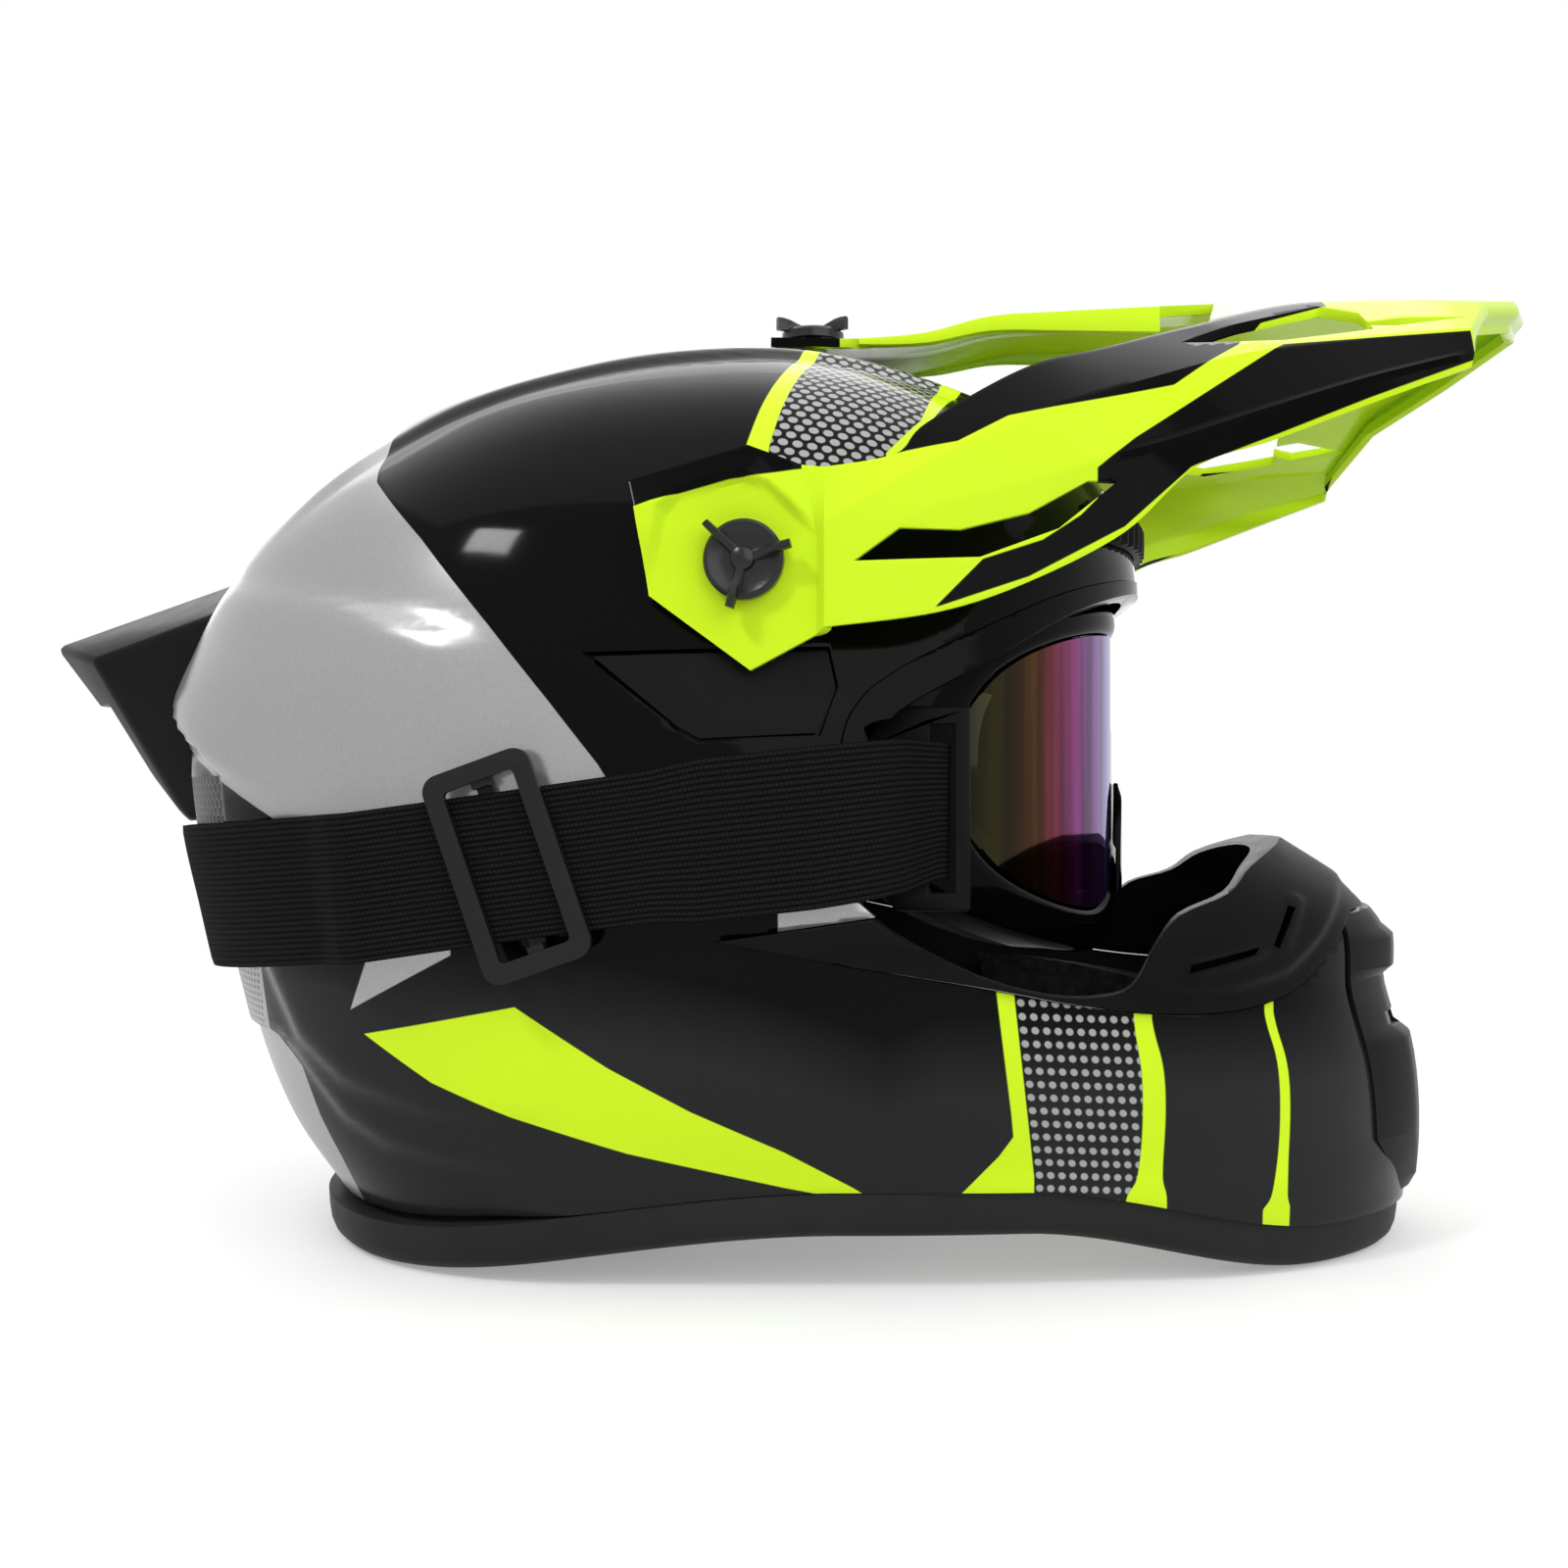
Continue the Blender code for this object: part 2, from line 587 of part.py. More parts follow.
def outline_mesh(name, outlines, half_depth, facing, shift=(0.0, 0.0, 0.0)):
    """Solid of flat outlines, extruded both ways: TO_SIDE takes (x, z), TO_PLAN (x, y)."""
    curve = bpy.data.curves.new(name, 'CURVE')
    curve.dimensions = '2D'
    curve.fill_mode = 'BOTH'
    curve.extrude = half_depth
    for outline in outlines:
        spline = curve.splines.new('POLY')
        spline.points.add(len(outline) - 1)
        for point, place in zip(spline.points, outline):
            point.co = (place[0], place[1], 0.0, 1.0)
        spline.use_cyclic_u = True
    source = bpy.data.objects.new(name, curve)
    CUTTERS.objects.link(source)
    graph = bpy.context.evaluated_depsgraph_get()
    mesh = bpy.data.meshes.new_from_object(source.evaluated_get(graph))
    bpy.data.objects.remove(source, do_unlink=True)
    mesh.name = name
    work = bmesh.new()
    work.from_mesh(mesh)
    bmesh.ops.remove_doubles(work, verts=work.verts, dist=1e-6)
    bmesh.ops.transform(work, matrix=Matrix.Translation(shift) @ facing, verts=work.verts)
    bmesh.ops.recalc_face_normals(work, faces=work.faces)
    work.to_mesh(mesh)
    work.free()
    return mesh


def cylinder_mesh(name, radius, first, last, sides=24):
    """Round bar between two points."""
    first, last = Vector(first), Vector(last)
    axis = last - first
    work = bmesh.new()
    turn = axis.to_track_quat('Z', 'Y').to_matrix().to_4x4()
    place = Matrix.Translation(0.5 * (first + last)) @ turn
    bmesh.ops.create_cone(work, cap_ends=True, segments=sides, radius1=radius, radius2=radius,
                          depth=axis.length, matrix=place)
    mesh = bpy.data.meshes.new(name)
    work.to_mesh(mesh)
    work.free()
    return mesh


def box_mesh(name, low, high):
    low, high = Vector(low), Vector(high)
    work = bmesh.new()
    place = Matrix.Translation(0.5 * (low + high)) @ Matrix.Diagonal((*(high - low), 1.0))
    bmesh.ops.create_cube(work, size=1.0, matrix=place)
    mesh = bpy.data.meshes.new(name)
    work.to_mesh(mesh)
    work.free()
    return mesh


def boolean(item, cutter, operation='DIFFERENCE'):
    modifier = item.modifiers.new(cutter.name, 'BOOLEAN')
    modifier.operation = operation
    modifier.object = cutter
    modifier.solver = 'EXACT'


def wall(item, thickness):
    modifier = item.modifiers.new("wall", 'SOLIDIFY')
    modifier.thickness = thickness
    modifier.offset = -1.0
    modifier.use_even_offset = True


# Outlines shared by the shell, its trims and its liners

def port_outline():
    """What the eye port and the mouth guard take out of the shell, in side view."""
    return [GUARD_TIP, *GUARD_SEAM, GUARD_FRONT, PORT_BROW, *reversed(PORT_REAR), GUARD_LIP[-1]]


def guard_outline():
    return [GUARD_TIP, *GUARD_SEAM, GUARD_FRONT, GUARD_PEAK, *GUARD_LIP]


def border_outline(floor):
    """The eye port above a floor height, as far as the edging goes round it."""
    return [(GUARD_LIP[-1][0], floor), (PORT_BROW[0], floor), PORT_BROW, *reversed(PORT_REAR)]


# The helmet's own pieces

def sides():
    return ((1, "left"), (-1, "right"))


def core_cutter():
    """Closed solid of the whole helmet, a clearance larger than the shell."""
    levels = [float(level) for level in range(int(TOP_LEVEL))]
    mesh = skin_mesh("helmet_core", levels, SHELL_TURNS, 1.7 * GAP)
    work = bmesh.new()
    work.from_mesh(mesh)
    work.verts.ensure_lookup_table()
    work.faces.new([work.verts[index] for index in reversed(range(SHELL_TURNS))])
    work.to_mesh(mesh)
    work.free()
    return put_cutter("helmet_core", mesh)


def side_patch(name, side, outline, outer, inner):
    """Slab over one side of the shell, inside an outline in side view."""
    corners = sorted(point[1] for point in outline)
    heights = []
    for low, high in zip(corners, corners[1:]):
        heights += spread(low, high, 3)[:-1]
    heights.append(corners[-1])
    grids = []
    for offset in (outer, inner):
        grid = []
        for z in heights:
            level = level_at(z)
            first, last = outline_span(outline, z)
            turns = [turn_at_x(level, x, side) for x in spread(last, first, 7)]
            grid.append([helmet_point(level, turn, offset) for turn in turns])
        grids.append(grid)
    return slab_mesh(name, *grids)


def outline_span(outline, z):
    """Least and greatest x of an outline at a height."""
    hits = []
    for first, second in zip(outline, [*outline[1:], outline[0]]):
        low, high = sorted((first, second), key=lambda point: point[1])
        if low[1] <= z <= high[1] and high[1] > low[1]:
            share = (z - low[1]) / (high[1] - low[1])
            hits.append(low[0] + (high[0] - low[0]) * share)
    return min(hits), max(hits)


def make_shell():
    levels = [float(level) for level in range(int(TOP_LEVEL))]
    shell = put("outer_shell", skin_mesh("outer_shell", levels, SHELL_TURNS, 0.0), GLOSS_BLACK, 0.12)
    smooth_shading(shell.data)
    wall(shell, SHELL_WALL)
    port = outline_mesh("port_cut", [port_outline()], THROUGH, TO_SIDE)
    boolean(shell, put_cutter("port_cut", port))
    for side, name in sides():
        pocket = side_patch("temple_pocket_" + name, side, TEMPLE, SHELL_WALL, -TEMPLE_POCKET)
        boolean(shell, put_cutter(pocket.name, pocket))
        place = side * side_wall(PIVOT_X, PIVOT_Z)
        hole = cylinder_mesh("insert_hole_" + name, INSERT_RADIUS + GAP,
                             (PIVOT_X, place - 3 * SHELL_WALL, PIVOT_Z),
                             (PIVOT_X, place + 3 * SHELL_WALL, PIVOT_Z))
        boolean(shell, put_cutter(hole.name, hole))
    top = crown_over(TOP_SCREW_X)
    hole = cylinder_mesh("insert_hole_top", INSERT_RADIUS + GAP,
                         (TOP_SCREW_X, 0.0, top - 3 * SHELL_WALL),
                         (TOP_SCREW_X, 0.0, top + 3 * SHELL_WALL))
    boolean(shell, put_cutter(hole.name, hole))
    pocket = rear_patch("rear_pocket", REAR_MESH_MARGIN, SHELL_WALL, -REAR_POCKET)
    boolean(shell, put_cutter("rear_pocket", pocket))


def rear_patch(name, margin, outer, inner):
    """Slab across the nape for the mesh vent, or for its pocket with a margin round it."""
    low, high = REAR_MESH_HEIGHTS
    edge = REAR_MESH_TURN + margin / abs(section_at(level_at(low))[2])
    return patch_mesh(name, spread(low - margin, high + margin, 3),
                      spread(REAR - edge, REAR + edge, 9), constant(outer), constant(inner))


def make_inserts():
    """Threaded bosses that carry the visor's screws."""
    for side, name in sides():
        inner = side_wall(PIVOT_X, PIVOT_Z) - 0.9 * SHELL_WALL
        outer = VISOR_LOW[0][1] - VISOR_WALL - GAP
        screw_tube("visor_insert_" + name, (PIVOT_X, side * inner, PIVOT_Z),
                   (PIVOT_X, side * outer, PIVOT_Z))
    inner = crown_over(TOP_SCREW_X) - SHELL_WALL
    outer = along(TONGUE_SPINE, TOP_SCREW_X) - VISOR_WALL - TONGUE_SEAT
    screw_tube("visor_insert_top", (TOP_SCREW_X, 0.0, inner), (TOP_SCREW_X, 0.0, outer))


def screw_tube(name, first, last):
    item = put(name, cylinder_mesh(name, INSERT_RADIUS, first, last), (0.42, 0.34, 0.18), 0.35, 1.0)
    axis = (Vector(last) - Vector(first)).normalized() * INSERT_RADIUS
    bore = cylinder_mesh(name + "_bore", SHANK_RADIUS + SCREW_CLEARANCE,
                         Vector(first) - axis, Vector(last) + axis)
    boolean(item, put_cutter(bore.name, bore))


def make_bottom_trim():
    rings = []
    for index in range(SHELL_TURNS):
        turn = 2.0 * math.pi * index / SHELL_TURNS
        seam = skin_point(0.0, turn)
        inward = -skin_normal(0.0, turn)
        inward.z = 0.0
        inward.normalize()
        rings.append([seam + inward * inset - Vector((0.0, 0.0, drop)) for inset, drop in TRIM_SECTION])
    trim = put("bottom_trim", loop_mesh("bottom_trim", rings), RUBBER_BLACK, 0.55)
    smooth_shading(trim.data)


def make_port_trim():
    floor = GUARD_LIP[-1][1]
    turns = spread(-PORT_TRIM_TURN, PORT_TRIM_TURN, 35)
    heights = spread(floor - SHELL_WALL, PORT_BROW[1] + SHELL_WALL, 10)
    blank = patch_mesh("eyeport_trim", heights, turns, constant(PORT_LIFT), constant(-PORT_BORDER_WALL))
    trim = put("eyeport_trim", blank, GLOSS_BLACK, 0.2)
    outer = border_outline(floor)
    outer = inset_outline(outer, [GAP] * len(outer))
    boolean(trim, put_cutter("border_keep", outline_mesh("border_keep", [outer], THROUGH, TO_SIDE)),
            'INTERSECT')
    drops = [0.0, 0.0, PORT_BORDERS[-1], *reversed(PORT_BORDERS)]
    inner = inset_outline(border_outline(floor - THROUGH), drops)
    inner[0].x = inner[-1].x
    boolean(trim, put_cutter("border_drop", outline_mesh("border_drop", [inner], THROUGH * 1.1, TO_SIDE)))


def make_mouth_guard():
    turns = spread(-GUARD_TURN, GUARD_TURN, 31)
    low = min(point[1] for point in GUARD_SEAM) - ARCH_RISE
    heights = spread(low, GUARD_PEAK[1] + SHELL_WALL, 7)
    blank = patch_mesh("mouth_guard", heights, turns, constant(GUARD_LIFT), constant(-GUARD_DEPTH))
    guard = put("mouth_guard", blank, RUBBER_BLACK, 0.6)
    outline = guard_outline()
    outline = inset_outline(outline, [1.5 * GAP] * len(outline))
    boolean(guard, put_cutter("guard_keep", outline_mesh("guard_keep", [outline], THROUGH, TO_SIDE)),
            'INTERSECT')
    slots = outline_mesh("guard_slots", GUARD_SLOTS, THROUGH, TO_SIDE)
    boolean(guard, put_cutter("guard_slots", slots))


def make_chin_vent(core):
    heights = [height for height, _ in CHIN_COVER]
    turns = spread(-CHIN_COVER_TURN, CHIN_COVER_TURN, 15)
    last = len(CHIN_COVER) - 1

    def face(u, v):
        edge = 1.0 - 0.55 * abs(2.0 * u - 1.0) ** 6
        return CHIN_COVER[round(v * last)][1] * edge

    cover = put("chin_vent_cover", patch_mesh("chin_vent_cover", heights, turns, face,
                                              constant(-CHIN_COVER_WALL)), RUBBER_BLACK, 0.38)
    boolean(cover, core)
    room = chin_mesh_patch("chin_mesh_room", CHIN_MESH_MARGIN, CHIN_MESH_WALL + CHIN_MESH_MARGIN)
    boolean(cover, put_cutter("chin_mesh_room", room))
    slots = [CHIN_SLOT, [(-y, z) for y, z in reversed(CHIN_SLOT)]]
    slot = outline_mesh("chin_slots", slots, CHIN_SLOT_DEPTH, TO_FRONT, (STATIONS[2][1], 0.0, 0.0))
    boolean(cover, put_cutter("chin_slots", slot))
    mesh = chin_mesh_patch("chin_vent_mesh", 0.0, CHIN_MESH_WALL)
    boolean(put("chin_vent_mesh", mesh, (0.02, 0.02, 0.02), 0.45, 0.6), core)


def chin_mesh_patch(name, margin, outer):
    low, high = CHIN_MESH_HEIGHTS
    edge = CHIN_MESH_TURN + margin / section_at(level_at(low))[1]
    return patch_mesh(name, spread(low - margin, high + margin, 4), spread(-edge, edge, 11),
                      constant(outer), constant(-CHIN_COVER_WALL))


def make_temple_covers():
    for side, name in sides():
        outline = inset_outline(TEMPLE, [-TEMPLE_MARGIN] * len(TEMPLE))
        floor = 3 * GAP - TEMPLE_POCKET
        mesh = side_patch("temple_cover_" + name, side, outline, floor + TEMPLE_WALL, floor)
        put("temple_cover_" + name, mesh, RUBBER_BLACK, 0.5)


def make_spoiler(core):
    work = bmesh.new()
    for x, y, z in (SPOILER_TIP, SPOILER_FRONT, SPOILER_FOOT, SPOILER_ROOT,
                    SPOILER_CORNER, SPOILER_UNDER, SPOILER_SHOULDER, SPOILER_HIP, SPOILER_HEEL):
        work.verts.new((x, y, z))
        work.verts.new((x, -y, z))
    result = bmesh.ops.convex_hull(work, input=work.verts)
    bmesh.ops.delete(work, geom=result["geom_interior"], context='VERTS')
    bmesh.ops.recalc_face_normals(work, faces=work.faces)
    mesh = bpy.data.meshes.new("rear_spoiler")
    work.to_mesh(mesh)
    work.free()
    spoiler = put("rear_spoiler", mesh, RUBBER_BLACK, 0.5)
    boolean(spoiler, core)
    channel = rear_patch("vent_channel", REAR_MESH_MARGIN, SPOILER_LIFT, -SHELL_WALL)
    boolean(spoiler, put_cutter("vent_channel", channel))
    hollow = box_mesh("spoiler_hollow", (SPOILER_TIP[0] - THROUGH, -SPOILER_HOLLOW_HALF, 0.0),
                      (SPOILER_ROOT[0], SPOILER_HOLLOW_HALF, SPOILER_HOLLOW_TOP))
    boolean(spoiler, put_cutter("spoiler_hollow", hollow))


def make_rear_mesh():
    floor = 2 * GAP - REAR_POCKET
    mesh = rear_patch("rear_vent_mesh", 0.0, floor + REAR_MESH_WALL, floor)
    put("rear_vent_mesh", mesh, (0.05, 0.05, 0.05), 0.4, 0.7)


def make_brow_vent():
    steps = BROW_RIBS * 4 + 1

    def face(u, v):
        rib = 0.5 - 0.5 * math.cos(2.0 * math.pi * BROW_RIBS * u)
        return GAP + BROW_RISE * (0.45 + 0.55 * (1.0 - abs(2.0 * v - 1.0))) + BROW_RIB * rib

    mesh = patch_mesh("brow_vent", spread(*BROW_HEIGHTS, 5), spread(-BROW_TURN, BROW_TURN, steps),
                      face, constant(GAP))
    put("brow_vent", mesh, RUBBER_BLACK, 0.5)


# Liners and pads

def foam_levels():
    """Levels shared by the foam and the padding on it, so that their facets lie parallel."""
    pad_foot = level_at(LINER_HEIGHT)
    below = [level_at(FOAM_FOOT_HEIGHT)] + [float(n) for n in range(1, int(pad_foot) + 1)]
    above = [pad_foot] + [float(n) for n in range(int(pad_foot) + 1, int(TOP_LEVEL))]
    return below, above


def dome_mesh(name, levels, outer, inner):
    """Closed dome between two offsets from the shell, open below."""
    turns = [2.0 * math.pi * index / LINER_TURNS for index in range(LINER_TURNS)]
    points = []
    faces = []
    for offset, turned in ((outer, False), (inner, True)):
        start = len(points)
        points += [helmet_point(level, turn, offset) for level in levels for turn in turns]
        points.append(helmet_point(TOP_LEVEL, FRONT, offset))
        shell = grid_faces(len(levels), LINER_TURNS, start, wrap=True)
        ring = start + (len(levels) - 1) * LINER_TURNS
        shell += [(ring + index, ring + (index + 1) % LINER_TURNS, len(points) - 1)
                  for index in range(LINER_TURNS)]
        faces += [tuple(reversed(face)) for face in shell] if turned else shell
    second = len(points) // 2
    for index in range(LINER_TURNS):
        after = (index + 1) % LINER_TURNS
        faces.append((after, index, second + index, second + after))
    return close_mesh(name, points, faces)


def make_liners():
    below, above = foam_levels()
    outer = -(SHELL_WALL + LINER_SEAT)
    inner = outer - FOAM_WALL
    foam = put("eps_liner", dome_mesh("eps_liner", below + above, outer, inner), (0.03, 0.03, 0.032), 0.8)
    face = outline_mesh("face_opening", [FACE_OPENING], THROUGH, TO_SIDE)
    opening = put_cutter("face_opening", face)
    boolean(foam, opening)
    half = 0.5 * WEB_NOTCH
    for side, name in sides():
        reach = sorted((side * 0.05, side * THROUGH))
        notch = box_mesh("web_notch_" + name, (WEB_X - half, reach[0], -THROUGH),
                         (WEB_X + half, reach[1], WEB_NOTCH_TOP))
        boolean(foam, put_cutter(notch.name, notch))
    seat = inner - PAD_SEAT
    pad = dome_mesh("comfort_liner", above, seat, seat - PAD_WALL)
    boolean(put("comfort_liner", pad, (0.02, 0.02, 0.022), 0.9), opening)
    make_pads(inner - PAD_CLEARANCE)
    chin = patch_mesh("chin_eps", spread(*CHIN_FOAM_HEIGHTS, 5),
                      spread(-CHIN_FOAM_TURN, CHIN_FOAM_TURN, 25),
                      constant(-(SHELL_WALL + CHIN_FOAM_SEAT)), constant(-(SHELL_WALL + CHIN_FOAM_WALL)))
    put("chin_eps", chin, (0.03, 0.03, 0.032), 0.8)


def make_pads(seat):
    for side, name in sides():
        turns = spread(side * CHEEK_TURNS[0], side * CHEEK_TURNS[1], 11)
        mesh = patch_mesh("cheek_pad_" + name, spread(*CHEEK_HEIGHTS, 9), turns, constant(seat),
                          lambda u, v: seat - CHEEK_EDGE - CHEEK_CROWN * pillow(u, v))
        put("cheek_pad_" + name, mesh, (0.02, 0.02, 0.022), 0.9)
    mesh = patch_mesh("neck_roll", spread(*NECK_HEIGHTS, 7), spread(*NECK_TURNS, 17), constant(seat),
                      lambda u, v: seat - NECK_EDGE - NECK_CROWN * pillow(u, v))
    put("neck_roll", mesh, (0.02, 0.02, 0.022), 0.9)


# Chin strap

def anchor_y(z):
    """Middle of the webbing where it lies on the inside of the shell."""
    return side_wall(WEB_X, z) - SHELL_WALL - WEB_SEAT - 0.5 * WEB_WALL


def web_route(side, end, stack):
    """Webbing's centre line in front view, from its anchor to its free end."""
    route = [(anchor_y(WEB_ANCHOR_Z), WEB_ANCHOR_Z), (anchor_y(WEB_BEND_Z), WEB_BEND_Z)]
    route += [(y, z + stack) for y, z in reversed(WEB_ROUTE[1:])]
    if side < 0:
        return [(-y, z) for y, z in route] + [(end, along(WEB_ROUTE, abs(end)) + stack)]
    tail = [(y, along(WEB_ROUTE, abs(y)) + stack) for y in spread(0.0, end, 4)]
    return route + tail


def ribbon_outline(route, thickness):
    """Closed outline of a band of even thickness along a route."""
    points = [Vector(point) for point in route]
    left, right = [], []
    for index, point in enumerate(points):
        before = points[max(index - 1, 0)]
        after = points[min(index + 1, len(points) - 1)]
        first = (point - before).normalized() if index else (after - point).normalized()
        second = (after - point).normalized() if after != point else first
        normal = Vector((-first.y - second.y, first.x + second.x))
        normal *= 0.5 * thickness / (0.5 * normal.length_squared)
        left.append(point + normal)
        right.append(point - normal)
    return left + list(reversed(right))


def make_chin_strap():
    ends = {1: (WEB_LEFT_END, WEB_STACK), -1: (WEB_RIGHT_END, 0.0)}
    for side, name in sides():
        end, stack = ends[side]
        outline = ribbon_outline(web_route(side, end, stack), WEB_WALL)
        mesh = outline_mesh("chin_strap_" + name, [outline], 0.5 * WEB_WIDTH, TO_FRONT, (WEB_X, 0.0, 0.0))
        put("chin_strap_" + name, mesh, (0.015, 0.015, 0.015), 0.85)
        top, bottom = (Vector((anchor_y(z), z)) for z in (WEB_ANCHOR_Z, WEB_BEND_Z))
        place = top.lerp(bottom, 0.4)
        inward = Vector((bottom.y - top.y, top.x - bottom.x)).normalized()
        first = place + inward * (0.5 * WEB_WALL + GAP)
        last = first + inward * RIVET_HEAD
        rivet = cylinder_mesh("strap_rivet_" + name, RIVET_RADIUS, (WEB_X, side * first.x, first.y),
                              (WEB_X, side * last.x, last.y), 16)
        put("strap_rivet_" + name, rivet, (0.5, 0.5, 0.5), 0.3, 1.0)


def make_rings():
    half_x = 0.5 * WEB_WIDTH + RING_WIRE + 2 * RING_SLACK
    half_z = 0.5 * (WEB_STACK + WEB_WALL) + RING_WIRE + RING_SLACK
    for y, name in zip(RING_PLACES, ("outer", "inner")):
        middle = along(WEB_ROUTE, abs(y)) + 0.5 * WEB_STACK
        curve = bpy.data.curves.new("d_ring_" + name, 'CURVE')
        curve.dimensions = '3D'
        curve.bevel_depth = RING_WIRE
        curve.bevel_resolution = 2
        route = rounded_box(half_x, half_z, half_z * 0.8, 4)
        spline = curve.splines.new('POLY')
        spline.points.add(len(route) - 1)
        for point, place in zip(spline.points, route):
            point.co = (WEB_X + place[0], y, middle + place[1], 1.0)
        spline.use_cyclic_u = True
        put("d_ring_" + name, curve, (0.55, 0.55, 0.55), 0.25, 1.0)


def rounded_box(half_width, half_height, radius, steps):
    """Anticlockwise outline of a box with round corners."""
    result = []
    for quarter, (x, y) in enumerate(((1, 1), (-1, 1), (-1, -1), (1, -1))):
        centre = Vector((x * (half_width - radius), y * (half_height - radius)))
        for step in range(steps + 1):
            angle = math.pi / 2 * (quarter + step / steps)
            result.append(centre + radius * Vector((math.cos(angle), math.sin(angle))))
    return result


# Visor and its screws

def visor_mesh():
    """Left half of the visor as an open surface, origin on the tilt axis."""
    work = bmesh.new()
    pivot = Vector((PIVOT_X, 0.0, PIVOT_Z))

    def line(points):
        return [work.verts.new(Vector(point) - pivot) for point in points]

    def strip(first, second):
        for index in range(len(first) - 1):
            work.faces.new((first[index], second[index], second[index + 1], first[index + 1]))

    low, side, edge = line(VISOR_LOW), line(VISOR_SIDE), line(VISOR_EDGE)
    fin, crown, spine = line(VISOR_FIN), line(VISOR_CROWN), line(VISOR_SPINE)
    strip(low, side)
    strip(side, edge)
    strip(edge, fin)
    strip(fin[-len(crown):], crown)
    strip(crown, spine)
    lip = line([(x - LIP_SLOPE, y, z - LIP_DROP)
                for x, y, z in (VISOR_SPINE[-1], VISOR_CROWN[-1], VISOR_FIN[-1])])
    strip([spine[-1], crown[-1], fin[-1], edge[-1]], [*lip, side[-1]])
    tongue = line([(x, 0.0, z) for x, z in TONGUE_SPINE])
    rim = line([(x, TONGUE_HALF, z - TONGUE_CROWN) for x, z in TONGUE_SPINE])
    strip(rim + crown[:1], tongue + spine[:1])
    reach = TONGUE_SPINE[-1][0] - TONGUE_SPINE[0][0]
    skirt = []
    for x, z in TONGUE_SPINE:
        if x < TOP_SCREW_X + KNOB_RADIUS:
            continue
        share = (x - TONGUE_SPINE[0][0]) / reach
        drop = TONGUE_FLANGE[0] + (TONGUE_FLANGE[1] - TONGUE_FLANGE[0]) * share
        skirt.append((x, TONGUE_HALF + 0.15 * drop, z - TONGUE_CROWN - drop))
    strip(line(skirt), rim[-len(skirt):])
    mesh = bpy.data.meshes.new("visor")
    work.to_mesh(mesh)
    work.free()
    return mesh


def make_visor():
    visor = put("visor", visor_mesh(), NEON, 0.2)
    visor.location = (PIVOT_X, 0.0, PIVOT_Z)
    mirror = visor.modifiers.new("mirror", 'MIRROR')
    mirror.use_axis = (False, True, False)
    mirror.merge_threshold = 1e-4
    wall(visor, VISOR_WALL)
    slot = outline_mesh("side_slot", [SIDE_SLOT], THROUGH, TO_SIDE)
    boolean(visor, put_cutter("side_slot", slot))
    plan = [BILL_WINDOW, BILL_SLIT]
    plan += [[(x, -y) for x, y in reversed(outline)] for outline in plan]
    half = SHANK_RADIUS + SCREW_CLEARANCE
    travel = half + (CROWN_HEIGHT - PIVOT_Z) * math.sin(VISOR_RANGE) + SCREW_CLEARANCE
    plan.append([(TOP_SCREW_X + x, y) for x, y in
                 ((-travel, -half), (travel, -half), (travel, half), (-travel, half))])
    windows = outline_mesh("bill_windows", plan, 0.5 * CROWN_HEIGHT, TO_PLAN, (0.0, 0.0, CROWN_HEIGHT))
    boolean(visor, put_cutter("bill_windows", windows))
    hole = cylinder_mesh("screw_holes", SHANK_RADIUS + SCREW_CLEARANCE, (PIVOT_X, -THROUGH, PIVOT_Z),
                         (PIVOT_X, THROUGH, PIVOT_Z))
    boolean(visor, put_cutter("screw_holes", hole))


def blade_outline():
    """Three swept blades round a hub."""
    hub = 0.42 * KNOB_RADIUS
    result = []
    for blade in range(3):
        angle = math.pi / 2 + blade * 2.0 * math.pi / 3
        along_blade = Vector((math.cos(angle), math.sin(angle)))
        across = Vector((-along_blade.y, along_blade.x)) * 0.5 * BLADE_THICK
        sweep = across * 0.9
        root, tip = along_blade * hub, along_blade * BLADE_REACH
        result += [root - across, tip - across * 0.7 + sweep, tip + across * 0.7 + sweep, root + across]
    return result


def make_knob(name, place, axis, shank):
    """Screw with three blades; the object's origin lies on its axis, under the head."""
    knob = put(name, cylinder_mesh(name, KNOB_RADIUS, (0, 0, 0), (0, 0, KNOB_DEPTH), 28), RUBBER_BLACK, 0.4)
    turn = Vector(axis).to_track_quat('Z', 'Y').to_matrix().to_4x4()
    matrix = Matrix.Translation(place) @ turn
    half = 0.5 * BLADE_RISE
    blades = outline_mesh(name + "_blades", [blade_outline()], half + 0.25 * KNOB_DEPTH, TO_PLAN,
                          (0.0, 0.0, KNOB_DEPTH + half - 0.25 * KNOB_DEPTH))
    stem = cylinder_mesh(name + "_stem", SHANK_RADIUS, (0, 0, -shank), (0, 0, 0.5 * KNOB_DEPTH), 16)
    for mesh in (blades, stem):
        tool = put_cutter(mesh.name, mesh)
        tool.matrix_world = matrix
        boolean(knob, tool, 'UNION')
    knob.matrix_world = matrix


def make_knobs():
    seat = VISOR_LOW[0][1] + GAP
    for side, name in sides():
        shank = seat - side_wall(PIVOT_X, PIVOT_Z) + 0.7 * SHELL_WALL
        make_knob("visor_knob_" + name, (PIVOT_X, side * seat, PIVOT_Z), (0.0, side, 0.0), shank)
    seat = along(TONGUE_SPINE, TOP_SCREW_X) + TONGUE_KNOB_ROOM
    shank = seat - crown_over(TOP_SCREW_X) + 0.7 * SHELL_WALL
    make_knob("visor_knob_top", (TOP_SCREW_X, 0.0, seat), (0.0, 0.0, 1.0), shank)


# Goggles

def goggle_x(y):
    return GOGGLE_FRONT_X - GOGGLE_WRAP * (abs(y) / FRAME_HALF) ** GOGGLE_WRAP_POWER


